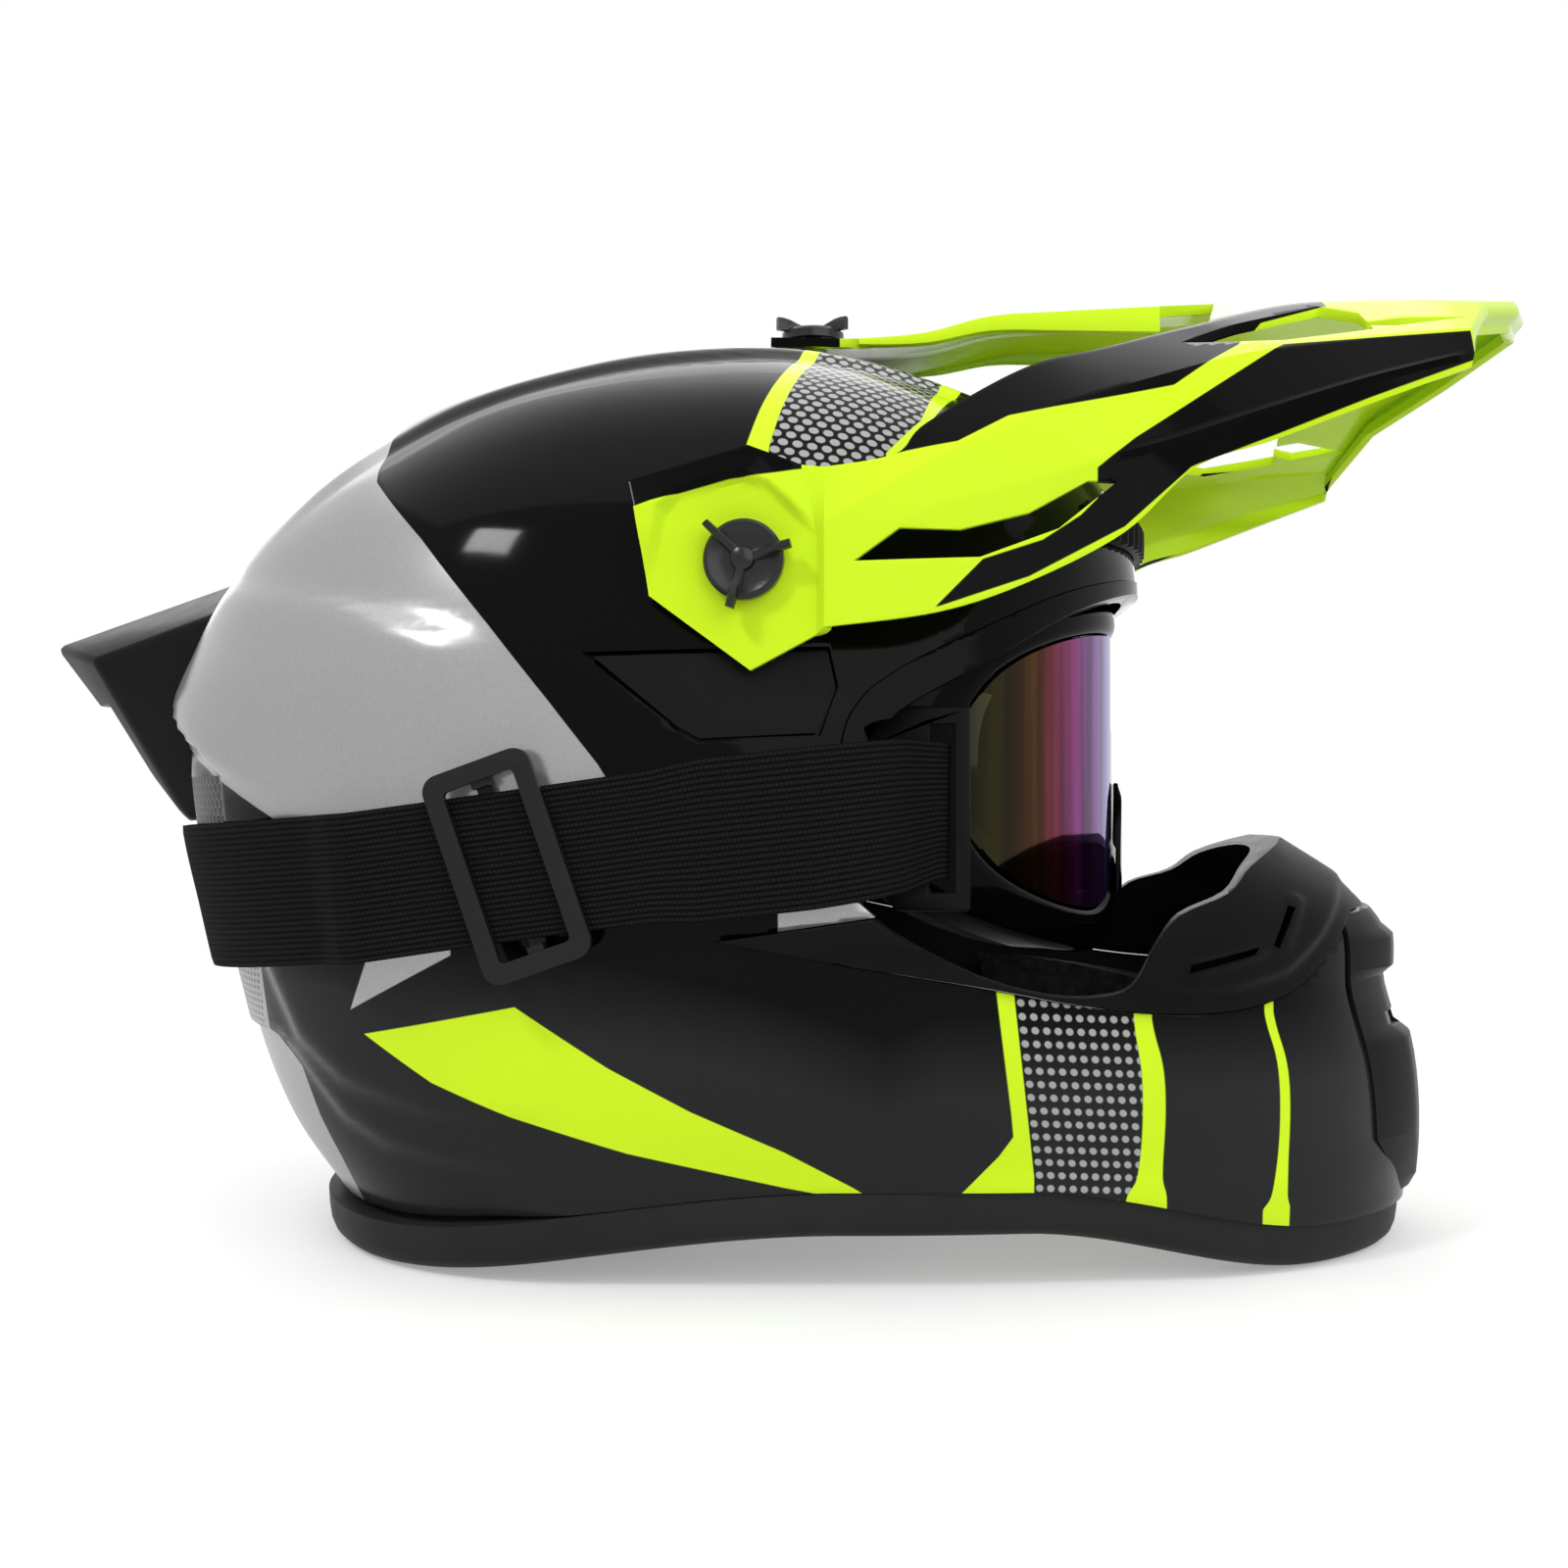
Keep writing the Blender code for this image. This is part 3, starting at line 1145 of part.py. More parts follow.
def goggle_outline(angle, half, height, middle, power):
    y = half * signed_power(math.cos(angle), power)
    z = middle + height * signed_power(math.sin(angle), power)
    if math.sin(angle) < 0.0:
        z += NOSE_RISE * math.exp(-(y / NOSE_HALF) ** 2)
    return Vector((y, z))


def goggle_point(angle, share, depth):
    """Point at a share of the way from the frame's outer outline to the lens opening."""
    outer = goggle_outline(angle, FRAME_HALF, FRAME_HEIGHT, FRAME_MIDDLE, FRAME_POWER)
    inner = goggle_outline(angle, LENS_HALF, LENS_HEIGHT, LENS_MIDDLE, LENS_POWER)
    y, z = outer.lerp(inner, share)
    return Vector((goggle_x(y) - depth, y, z))


def goggle_ring(name, section):
    angles = [2.0 * math.pi * (index + 0.5) / GOGGLE_STEPS for index in range(GOGGLE_STEPS)]
    return loop_mesh(name, [[goggle_point(angle, share, depth) for share, depth in section]
                            for angle in angles])


def make_goggles():
    frame = ((0.0, FRAME_DEPTH), (0.0, FRAME_ROUND), (0.22, 0.0), (0.80, 0.0), (1.0, FRAME_ROUND),
             (1.0, FRAME_DEPTH), (0.55, FRAME_DEPTH))
    item = put("goggle_frame", goggle_ring("goggle_frame", frame), GLOSS_BLACK, 0.15)
    smooth_shading(item.data)
    front = FRAME_DEPTH + 2.5 * GAP
    back = front + FACE_FOAM_DEPTH
    foam = [(share, front) for share in FACE_FOAM_SHARES]
    foam += [(share, back) for share in reversed(FACE_FOAM_SHARES)]
    item = put("goggle_foam", goggle_ring("goggle_foam", foam), (0.02, 0.02, 0.02), 0.95)
    smooth_shading(item.data)
    make_lens()
    make_nose_plate()
    make_outriggers()


def make_lens():
    """Curved plate inside the frame's opening."""
    angles = [2.0 * math.pi * (index + 0.5) / GOGGLE_STEPS for index in range(GOGGLE_STEPS)]
    points, faces = [], []
    for depth in (LENS_INSET, LENS_INSET + LENS_WALL):
        start = len(points)
        for ring in range(1, LENS_RINGS + 1):
            size = ring / LENS_RINGS * (1.0 - 2.0 * GAP / LENS_HEIGHT)
            for angle in angles:
                edge = goggle_outline(angle, LENS_HALF, LENS_HEIGHT, LENS_MIDDLE, LENS_POWER)
                y, z = edge.x * size, LENS_CENTRE + (edge.y - LENS_CENTRE) * size
                points.append(Vector((goggle_x(y) - depth, y, z)))
        points.append(Vector((goggle_x(0.0) - depth, 0.0, LENS_CENTRE)))
        faces += grid_faces(LENS_RINGS, GOGGLE_STEPS, start, wrap=True)
        faces += [(start + index, start + (index + 1) % GOGGLE_STEPS, len(points) - 1)
                  for index in range(GOGGLE_STEPS)]
    second = len(points) // 2
    rim = (LENS_RINGS - 1) * GOGGLE_STEPS
    for index in range(GOGGLE_STEPS):
        after = (index + 1) % GOGGLE_STEPS
        faces.append((rim + index, rim + after, second + rim + after, second + rim + index))
    item = put("goggle_lens", close_mesh("goggle_lens", points, faces), (0.16, 0.05, 0.22), 0.05, 0.8)
    smooth_shading(item.data)


def make_nose_plate():
    """Small deflector in front of the frame's nose bridge."""
    grids = []
    for lift in (GAP + NOSE_PLATE_WALL, GAP):
        grid = []
        for z in spread(*NOSE_PLATE_HEIGHTS, 6):
            share = (z - NOSE_PLATE_HEIGHTS[0]) / (NOSE_PLATE_HEIGHTS[1] - NOSE_PLATE_HEIGHTS[0])
            half = NOSE_PLATE_HALF * (1.0 - 0.55 * share ** 2)
            grid.append([Vector((goggle_x(y) + lift, y, z)) for y in spread(-half, half, 9)])
        grids.append(grid)
    item = put("goggle_nose_guard", slab_mesh("goggle_nose_guard", *grids), GLOSS_BLACK, 0.12)
    smooth_shading(item.data)


def make_outriggers():
    x0, x1 = OUTRIGGER_X
    z0, z1 = OUTRIGGER_HEIGHTS
    body = [(x0, z0 + 0.2 * (z1 - z0)), (x0 + 0.3 * (x1 - x0), z0), (x1, z0), (x1, z1),
            (x0 + 0.2 * (x1 - x0), z1), (x0, z1 - 0.2 * (z1 - z0))]
    s0, s1 = OUTRIGGER_SLOT_X
    slot = [(s0, z0 + OUTRIGGER_SLOT_MARGIN), (s1, z0 + OUTRIGGER_SLOT_MARGIN),
            (s1, z1 - OUTRIGGER_SLOT_MARGIN), (s0, z1 - OUTRIGGER_SLOT_MARGIN)]
    middle = FRAME_HALF + GAP + 0.5 * OUTRIGGER_WALL
    for side, name in sides():
        mesh = outline_mesh("goggle_outrigger_" + name, [body, slot], 0.5 * OUTRIGGER_WALL, TO_SIDE,
                            (0.0, side * middle, 0.0))
        put("goggle_outrigger_" + name, mesh, GLOSS_BLACK, 0.25)


# Strap and slider

def flat_y():
    """Inner face of the strap where it lies over the slider's hidden bar."""
    widest = max(row[3] for row in STATIONS)
    return widest + GAP + SLIDER_CENTRE_WALL + SLIDER_CLEARANCE


def strap_place(x, turn, across, side, lift):
    """Point of the strap's inner face, raised by a lift, at a share across its width."""
    z = along(STRAP_HEIGHTS, x) + along(STRAP_WIDTHS, x) * (across - 0.5)
    level = level_at(z)
    if turn is None:
        turn = turn_at_x(level, x, side)
    point = helmet_point(level, turn, STRAP_STANDOFF + lift)
    leaving = smooth_step(x, STRAP_LEAVES_X, STRAP_END_X)
    anchor = side * (FRAME_HALF + OUTRIGGER_WALL + 3 * GAP + lift)
    point.y += (anchor - point.y) * leaving
    if side < 0:
        first, second, third, fourth = STRAP_FLAT_X
        weight = smooth_step(x, first, second) * (1.0 - smooth_step(x, third, fourth))
        point.y += (-(flat_y() + lift) - point.y) * weight
    return point


def strap_grid(lift):
    """Rows across the strap; each runs from the right outrigger round the nape to the left."""
    xs = spread(STRAP_END_X, WIDEST_X, STRAP_SIDE_STEPS)
    turns = spread(LEFT, REAR, STRAP_NAPE_STEPS + 1)[1:]
    middle_level = level_at(STRAP_HEIGHTS[-2][1])
    places = [(x, None, -1) for x in xs]
    places += [(skin_point(middle_level, turn).x, -turn, -1) for turn in turns[:-1]]
    places += [(skin_point(middle_level, turn).x, turn, 1) for turn in reversed(turns)]
    places += [(x, None, 1) for x in reversed(xs)]
    grid = []
    for row in range(STRAP_ACROSS + 1):
        across = row / STRAP_ACROSS
        line = [strap_place(x, turn, across, side, lift) for x, turn, side in places]
        tuck = STRAP_TUCK + lift
        ends = []
        for point, side in ((line[0], -1), (line[-1], 1)):
            ends.append(Vector((point.x + 0.3 * WEB_WALL + lift, point.y - side * tuck, point.z)))
        grid.append([ends[0], *line, ends[1]])
    return grid


def make_strap():
    mesh = slab_mesh("goggle_strap", strap_grid(WEB_WALL), strap_grid(0.0))
    item = put("goggle_strap", mesh, (0.008, 0.008, 0.008), 0.85)
    smooth_shading(item.data)


def make_slider():
    """Three-bar slider: outer ring in front of the strap, middle bar behind it."""
    half_x, half_z = 0.5 * SLIDER_LENGTH, 0.5 * SLIDER_HEIGHT
    face = flat_y() + WEB_WALL + SLIDER_CLEARANCE
    centre = Vector((SLIDER_X, 0.0, along(STRAP_HEIGHTS, SLIDER_X)))
    matrix = Matrix.Translation(centre) @ Matrix.Rotation(-SLIDER_TILT, 4, 'Y')
    outer = rounded_box(half_x, half_z, SLIDER_CORNER, 4)
    inner = rounded_box(half_x - SLIDER_BAR, half_z - SLIDER_BAR, 0.3 * SLIDER_CORNER, 2)
    ring = outline_mesh("strap_slider", [outer, inner], 0.5 * SLIDER_WALL, TO_SIDE,
                        (0.0, -(face + 0.5 * SLIDER_WALL), 0.0))
    slider = put("strap_slider", ring, RUBBER_BLACK, 0.45)
    slider.matrix_world = matrix
    back = flat_y() - SLIDER_CLEARANCE
    reach = half_z - SLIDER_BAR
    half_bar = 0.5 * SLIDER_CENTRE_BAR
    bar = box_mesh("slider_bar", (-half_bar, -back, -reach), (half_bar, -back + SLIDER_CENTRE_WALL, reach))
    tools = [bar]
    for end in (-1, 1):
        low, high = sorted((end * (reach - SLIDER_POST), end * (reach + 0.5 * SLIDER_BAR)))
        tools.append(box_mesh("slider_post_" + str(end + 1), (-half_bar, -(face + 0.5 * SLIDER_WALL), low),
                              (half_bar, -back + SLIDER_CENTRE_WALL, high)))
    for mesh in tools:
        tool = put_cutter(mesh.name, mesh)
        tool.matrix_world = matrix
        boolean(slider, tool, 'UNION')


def main():
    for item in list(bpy.data.objects):
        bpy.data.objects.remove(item, do_unlink=True)
    bpy.context.scene.collection.children.link(PARTS)
    bpy.context.scene.collection.children.link(CUTTERS)
    make_shell()
    make_inserts()
    make_bottom_trim()
    make_port_trim()
    make_mouth_guard()
    core = core_cutter()
    make_chin_vent(core)
    make_temple_covers()
    make_spoiler(core)
    make_rear_mesh()
    make_brow_vent()
    make_liners()
    make_chin_strap()
    make_rings()
    make_visor()
    make_knobs()
    make_goggles()
    make_strap()
    make_slider()


main()
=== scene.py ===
"""Looks of the motocross helmet: smooth skins, trims, soft goods, materials, light and camera."""
import math
from contextlib import contextmanager
from functools import reduce

import bmesh
import bpy
from mathutils import Matrix, Vector


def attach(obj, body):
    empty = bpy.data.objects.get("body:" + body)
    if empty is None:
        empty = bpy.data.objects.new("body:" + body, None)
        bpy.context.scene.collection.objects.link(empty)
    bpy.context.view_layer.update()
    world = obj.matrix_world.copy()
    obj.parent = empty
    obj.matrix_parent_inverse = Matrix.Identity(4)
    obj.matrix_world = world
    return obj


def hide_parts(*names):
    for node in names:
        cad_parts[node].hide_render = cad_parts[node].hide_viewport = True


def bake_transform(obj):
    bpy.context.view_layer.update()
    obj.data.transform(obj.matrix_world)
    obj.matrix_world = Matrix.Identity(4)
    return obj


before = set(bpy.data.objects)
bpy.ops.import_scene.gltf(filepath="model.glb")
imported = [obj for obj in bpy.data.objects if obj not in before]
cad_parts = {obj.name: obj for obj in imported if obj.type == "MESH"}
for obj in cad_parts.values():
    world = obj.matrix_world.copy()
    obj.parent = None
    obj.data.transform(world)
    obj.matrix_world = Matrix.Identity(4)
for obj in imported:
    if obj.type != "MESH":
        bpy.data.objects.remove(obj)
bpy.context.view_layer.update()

# Shell sections from the rim to the crown: height, front, rear, half width
STATIONS = (
    (0.0120, 0.1850, -0.1235, 0.1000),
    (0.0300, 0.1855, -0.1370, 0.1060),
    (0.0500, 0.1835, -0.1460, 0.1110),
    (0.0700, 0.1780, -0.1515, 0.1145),
    (0.0920, 0.1735, -0.1570, 0.1170),
    (0.1150, 0.1420, -0.1625, 0.1185),
    (0.1400, 0.1210, -0.1645, 0.1185),
    (0.1650, 0.1130, -0.1600, 0.1155),
    (0.1870, 0.1120, -0.1490, 0.1095),
    (0.2037, 0.1070, -0.1340, 0.1020),
    (0.2177, 0.0965, -0.1157, 0.0920),
    (0.2297, 0.0800, -0.0990, 0.0785),
    (0.2400, 0.0580, -0.0740, 0.0600),
    (0.2478, 0.0370, -0.0530, 0.0395),
    (0.2520, 0.0150, -0.0300, 0.0200),
)
# Stations where the dome starts and where the chin cover's slots lie
DOME_STATION = -6
CHIN_STATION = 2
CROWN_HEIGHT = 0.2534
CROWN_X = -0.007
WIDEST_X = -0.030
SECTION_POWER = 0.91
ARCH_RISE = 0.0135
ARCH_REAR = (-0.098, 0.035)
ARCH_FRONT = (0.080, 0.160)
ARCH_FADE = 0.090
# Raised band along the crown: its half width along the helmet, its rise and its shoulder
RIDGE_LINE = ((-0.130, 0.080), (-0.086, 0.077), (-0.063, 0.074), (-0.0435, 0.069), (-0.025, 0.062),
              (-0.005, 0.055), (0.015, 0.047), (0.060, 0.040))
RIDGE_RISE = 0.0025
RIDGE_SHOULDER = 0.006
RIDGE_FADE = (0.185, 0.212)
SHELL_WALL = 0.0035
SHELL_LEVELS = 120
SHELL_TURNS = 240
# Steps in the shell's sides: upper line in side view, depth below it (less than zero where the lower
# side stands proud), half width of the step, where it starts at the rear, dies out ahead and below
SWEEPS = (
    (((-0.1180, 0.0800), (-0.1068, 0.0598), (-0.0927, 0.0500), (-0.0672, 0.0433), (-0.0333, 0.0421)),
     0.0026, 0.0042, (-0.3, -0.2), (-0.060, -0.025), (-0.1, 0.0)),
    (((-0.1130, 0.0560), (-0.0962, 0.0389), (-0.0829, 0.0328), (-0.0616, 0.0294), (-0.0300, 0.0280)),
     0.0019, 0.0036, (-0.3, -0.2), (-0.060, -0.025), (-0.1, 0.0)),
    (((-0.1480, 0.1800), (-0.1072, 0.1732), (-0.0876, 0.1693), (-0.0707, 0.1644), (-0.0400, 0.1555)),
     -0.0026, 0.0042, (-0.148, -0.110), (-0.064, -0.040), (0.125, 0.155)),
)
# Rear panels that stand off the shell at their trailing edges: turns in degrees, lift by height
PANEL_START = 112.0
PANEL_TRAIL = 150.0
PANEL_RISE = ((0.112, 0.0045), (0.138, 0.0060), (0.149, 0.0052), (0.161, 0.0024), (0.182, 0.0))
PANEL_FOOT = ((116.0, 0.1110), (150.0, 0.1390), (180.0, 0.1390))
PANEL_EDGE = 3.0
PANEL_STEP = 0.0060
# Flare of the rim under the chin bar
RIM_FLARE = 0.0011
RIM_FLARE_Z = (0.022, 0.033)
RIM_FLARE_X = (0.045, 0.085)
# Shallow bowl in the cheek between the guard and the rim
BOWL_CENTRE = (0.0250, 0.0700)
BOWL_HALF = (0.0420, 0.0150)
BOWL_DEPTH = 0.0016
FRONT, LEFT, REAR = 0.0, math.pi / 2, math.pi
SIDES = ((1, "left"), (-1, "right"))
NUDGE = 1e-3
THROUGH = 0.200
# Clearance between neighbours, distance at which points are welded, least mitre, rounding of edges
GAP = 0.0003
WELD = 1e-6
MITRE = 0.15
EDGE = 0.0007
SMALL_EDGE = 0.0006

# Side-view outlines of the eye port, its trim, the mouth guard and the temple covers
GUARD_TIP = (0.007, 0.0880)
GUARD_SEAM = ((0.040, 0.0813), (0.0684, 0.0764), (0.0924, 0.0715), (0.1115, 0.0690),
              (0.1305, 0.0688), (0.1461, 0.0725), (0.1570, 0.0815), (0.1660, 0.0915))
GUARD_FRONT = (0.200, 0.0935)
GUARD_PEAK = (0.200, 0.1125)
GUARD_LIP = ((0.149, 0.1110), (0.1363, 0.1049), (0.1288, 0.0984), (0.1163, 0.0936),
             (0.1100, 0.0860), (0.1044, 0.0765), (0.0950, 0.0742), (0.0827, 0.0752),
             (0.0684, 0.0796), (0.0520, 0.0880), (0.0440, 0.0935))
PORT_REAR = ((0.0370, 0.1000), (0.0345, 0.1180), (0.0363, 0.1366), (0.0407, 0.1457),
             (0.0473, 0.1514), (0.0556, 0.1565), (0.0688, 0.1635), (0.0900, 0.1745),
             (0.1120, 0.1830))
PORT_BROW = (0.200, 0.1900)
PORT_BORDERS = (0.0040, 0.0040, 0.0060, 0.0085, 0.0085, 0.0085, 0.0080, 0.0055, 0.0035)
PORT_BORDER_WALL = 0.0042
PORT_BORDER_RISE = 0.0006
PORT_TRIM_TURN = math.radians(82.0)
GUARD_TURN = math.radians(86.0)
GUARD_LIFT = 0.0012
GUARD_DEPTH = 0.0045
GUARD_BODY = 0.0016
GUARD_FLANGE = (0.0045, 0.0075)
GUARD_INSET = 0.00045
GUARD_LAP = 0.0002
GUARD_SLOT_RIM = 0.0008
GUARD_RIM_WIDTH = 0.0016
GUARD_SLOT_DEPTH = 0.0030
GUARD_SLOTS = (((0.1185, 0.0790), (0.1354, 0.0829), (0.1366, 0.0848), (0.1190, 0.0812)),
               ((0.1404, 0.0850), (0.1420, 0.0842), (0.1470, 0.0940), (0.1450, 0.0946)))
TEMPLE = ((-0.0250, 0.1560), (0.0330, 0.1575), (0.0352, 0.1480), (0.0310, 0.1360),
          (0.0030, 0.1345), (-0.0024, 0.1375))
TEMPLE_POCKET = 0.0025
TEMPLE_WALL = 0.0013
TEMPLE_SEAT = 0.0009
TEMPLE_LAP = 0.0010
TRIM_SECTION = ((0.0004, 0.0003), (0.0006, 0.0040), (0.0011, 0.0074), (0.0020, 0.0096), (0.0036, 0.0111),
                (0.0060, 0.0119), (0.0090, 0.0120), (0.0122, 0.0120), (0.0142, 0.0112), (0.0150, 0.0092),
                (0.0150, 0.0003))

# Visor screws
PIVOT = (0.0142, 0.1769)
PLATE_Y = 0.1180
TOP_SCREW_X = 0.0175
TOP_SCREW_SEAT = 0.2579
SCREW_HOLE = 0.0028
# Disc and stem of a screw: radius and height
KNOB_DISC = ((0.0, 0.0), (0.0090, 0.0), (0.0094, 0.0004), (0.0094, 0.0028), (0.0087, 0.0035),
             (0.0080, 0.0035), (0.0076, 0.0032), (0.0030, 0.0032), (0.0026, 0.0047), (0.0012, 0.0053),
             (0.0, 0.0053))
KNOB_STEM = ((0.0, -0.0060), (0.0024, -0.0060), (0.0024, 0.0010), (0.0, 0.0010))
KNOB_DEPTH = 0.0035
BLADE_COUNT = 3
BLADE_ROUND = 0.0005
BLADE_LEAN = 0.35
BLADE_WIDTHS = (1.15, 0.80)
BLADE_FOOT = 0.35
BLADE_SLOPE = (0.15, 0.85)
BLADE_FLAT = 0.6
BLADE_REACH = 0.0118
BLADE_THICK = 0.0022
BLADE_RISE = 0.0032
BLADE_TURN = math.radians(132.0)
TOP_BLADE_TURN = math.radians(90.0)

# Visor lines, station by station from the screws to the front edge: x, y, z
VISOR_LOW = ((-0.0086, 0.1180, 0.1690), (0.0154, 0.1180, 0.1513), (0.0310, 0.1180, 0.1595),
             (0.0330, 0.1205, 0.1610), (0.0593, 0.1150, 0.1648), (0.0800, 0.1095, 0.1721),
             (0.1024, 0.1030, 0.1842), (0.1197, 0.0975, 0.2003), (0.1379, 0.0965, 0.2064),
             (0.1605, 0.0955, 0.2147), (0.1835, 0.0935, 0.2230))
VISOR_SIDE = ((-0.0100, 0.1180, 0.1790), (0.0150, 0.1180, 0.1743), (0.0310, 0.1180, 0.1740),
              (0.0330, 0.1205, 0.1750), (0.0560, 0.1155, 0.1890), (0.0740, 0.1105, 0.1940),
              (0.0960, 0.1050, 0.2010), (0.1150, 0.1005, 0.2065), (0.1350, 0.0985, 0.2130),
              (0.1600, 0.0965, 0.2205), (0.1842, 0.0935, 0.2265))
VISOR_EDGE = ((-0.0118, 0.1180, 0.1895), (0.0147, 0.1180, 0.1965), (0.0310, 0.1180, 0.1830),
              (0.0330, 0.1205, 0.1850), (0.0510, 0.1150, 0.1965), (0.0640, 0.1105, 0.2040),
              (0.0850, 0.1030, 0.2140), (0.1080, 0.0955, 0.2220), (0.1330, 0.0900, 0.2290),
              (0.1600, 0.0885, 0.2318), (0.1845, 0.0895, 0.2332))
VISOR_FIN = ((-0.0137, 0.1155, 0.1963), (0.0147, 0.1150, 0.2041), (0.0275, 0.1160, 0.1990),
             (0.0330, 0.1175, 0.1985), (0.0490, 0.1110, 0.2025), (0.0560, 0.1065, 0.2105),
             (0.0793, 0.0930, 0.2262), (0.1000, 0.0780, 0.2345), (0.1270, 0.0600, 0.2448),
             (0.1560, 0.0440, 0.2535), (0.1960, 0.0620, 0.2470))
VISOR_CROWN = ((0.1330, 0.0200, 0.2604), (0.1620, 0.0200, 0.2610), (0.2120, 0.0320, 0.2550))
VISOR_SPINE = ((0.1350, 0.0, 0.2622), (0.1640, 0.0, 0.2640), (0.2222, 0.0, 0.2604))
VISOR_STEPS = (48, 26, 4, 8, 8, 8, 8, 8, 9, 10)
VISOR_STRIPS = (20, 20, 14)
VISOR_WALL = 0.0025
VISOR_WELD = 2e-5
PLATE_END = 0.03
FIRST_SMOOTH = 3
FIRST_BILL = 8
BILL_ACROSS = (12, 6)
TONGUE_SPINE = ((0.0075, 0.2569), (0.0175, 0.2565), (0.0330, 0.2558), (0.0523, 0.2569),
                (0.0705, 0.2609), (0.0900, 0.2616), (0.1180, 0.2621))
TONGUE_HALF = 0.0200
TONGUE_CROWN = 0.0018
TONGUE_DROP = 0.0075
TONGUE_SPREAD = 0.15
FIRST_SKIRT = 2
TONGUE_STEPS = 6
LIP_DROP = 0.0085
LIP_SLOPE = 0.0012
LIP_ROLL = 0.0018
LIP_HASTE = 1.4
BEAD_HALF = 0.0013
BEAD_MOST = 0.35
BEAD_RISE = Vector((0.0, 0.00076, 0.00024))
BEAD_FADE = (0.096, 0.108, 0.178, 0.183)
# Slot in the tongue: half length, half width, corner
TOP_SLOT = (0.0072, 0.0028, 0.0027)
SIDE_SLOT = ((0.0396, 0.1763), (0.0501, 0.1842), (0.0640, 0.1840), (0.0800, 0.1883),
             (0.0937, 0.1961), (0.1005, 0.1959), (0.0869, 0.1847), (0.0686, 0.1776))
BILL_WINDOW = ((0.1180, 0.0765), (0.1330, 0.0640), (0.1560, 0.0500), (0.1640, 0.0620),
               (0.1640, 0.0800), (0.1420, 0.0830))
BILL_RECESS = ((0.1700, 0.0790), (0.1950, 0.0640), (0.1870, 0.0770))
RECESS_DEPTH = 0.0013
RECESS_REACH = Vector((0.0, 0.0, 0.020))
# Recess round the side screws, in side view
POCKET = ((-0.0086, 0.1600), (-0.0070, 0.1731), (-0.0044, 0.1885), (-0.0009, 0.1918), (0.0137, 0.1950),
          (0.0186, 0.1932), (0.0312, 0.1815), (0.0335, 0.1480), (0.0150, 0.1400))
POCKET_RISE = 0.0024
POCKET_SLOPE = 0.0030
POCKET_FOOT = (0.1690, 0.1860)
POCKET_FADE = (0.0250, 0.0330)

# Chin vent cover: height and how far it stands off the shell
CHIN_COVER = ((0.0145, 0.0026), (0.0185, 0.0042), (0.0360, 0.0050), (0.0555, 0.0056),
              (0.0590, 0.0028), (0.0735, 0.0028), (0.0762, 0.0056), (0.0835, 0.0058),
              (0.0860, 0.0034), (0.0905, 0.0022))
CHIN_COVER_TURNS = ((0.0145, 12.5), (0.0310, 22.0), (0.0905, 22.0))
CHIN_COVER_FACET = 0.42
CHIN_COVER_EDGE = 0.0008
CHIN_COVER_ROUND = 0.0004
CHIN_SLOT = ((0.0080, 0.0585), (0.0330, 0.0600), (0.0330, 0.0640), (0.0080, 0.0640))
CHIN_SLOT_DEPTH = 0.0300

# Spoiler corners, each on both sides
SPOILER_POINTS = ((-0.2222, 0.0030, 0.1690), (-0.1560, 0.0030, 0.1905), (-0.1655, 0.0290, 0.1140),
                  (-0.1785, 0.0310, 0.1360), (-0.1930, 0.0345, 0.1625), (-0.1900, 0.0330, 0.1555),
                  (-0.1380, 0.0420, 0.1790), (-0.1480, 0.0400, 0.1330), (-0.1200, 0.0030, 0.1550))
SPOILER_HOLLOW = ((-0.4222, -0.0240, 0.0), (-0.1200, 0.0240, 0.1500))
SPOILER_BEVEL = 0.0022
SPOILER_SEAT = 0.0005
SPOILER_FLAT = math.radians(3.0)
CORE_LEVELS = 56
CORE_TURNS = 97
REAR_MESH_HEIGHTS = (0.1136, 0.1274)
REAR_MESH_TURN = math.radians(44.0)
REAR_MESH_DEPTHS = (0.0005, 0.0015)
REAR_POCKET = 0.0020

BROW_HEIGHTS = (0.1900, 0.2020)
BROW_TURN = math.radians(26.0)
BROW_RISE = 0.0030
BROW_BORDER = 0.45
BROW_RIB = 0.0016
BROW_RIBS = 17

# Goggles
GOGGLE_FRONT_X = 0.1066
GOGGLE_WRAP = 0.0600
GOGGLE_WRAP_POWER = 2.3
FRAME_HALF = 0.0900
FRAME_HEIGHT = 0.0495
FRAME_MIDDLE = 0.1265
FRAME_POWER = 0.76
FRAME_SECTION = ((0.0, 0.0120), (0.0, 0.0050), (0.02, 0.0028), (0.08, 0.0012), (0.20, 0.0004), (0.36, 0.0),
                 (0.62, 0.0), (0.80, 0.0004), (0.92, 0.0012), (0.99, 0.0026), (1.0, 0.0046), (1.0, 0.0120),
                 (0.55, 0.0120))
LENS_HALF = 0.0765
LENS_HEIGHT = 0.0390
LENS_MIDDLE = 0.1285
LENS_POWER = 0.68
LENS_WALL = 0.0014
LENS_INSET = 0.0012
LENS_CENTRE = 0.1330
LENS_FIT = 0.9985
LENS_RINGS = 16
NOSE_RISE = 0.0180
NOSE_HALF = 0.0200
FACE_FOAM = ((0.15, 0.0133), (0.35, 0.0128), (0.60, 0.0128), (0.92, 0.0133), (0.97, 0.0175), (0.95, 0.0215),
             (0.80, 0.0244), (0.55, 0.0248), (0.28, 0.0244), (0.13, 0.0215), (0.11, 0.0175))
NOSE_PLATE_HALF = 0.0180
NOSE_PLATE_HEIGHTS = (0.0940, 0.1260)
NOSE_PLATE_WALL = 0.0014
NOSE_PLATE_TAPER = 0.55
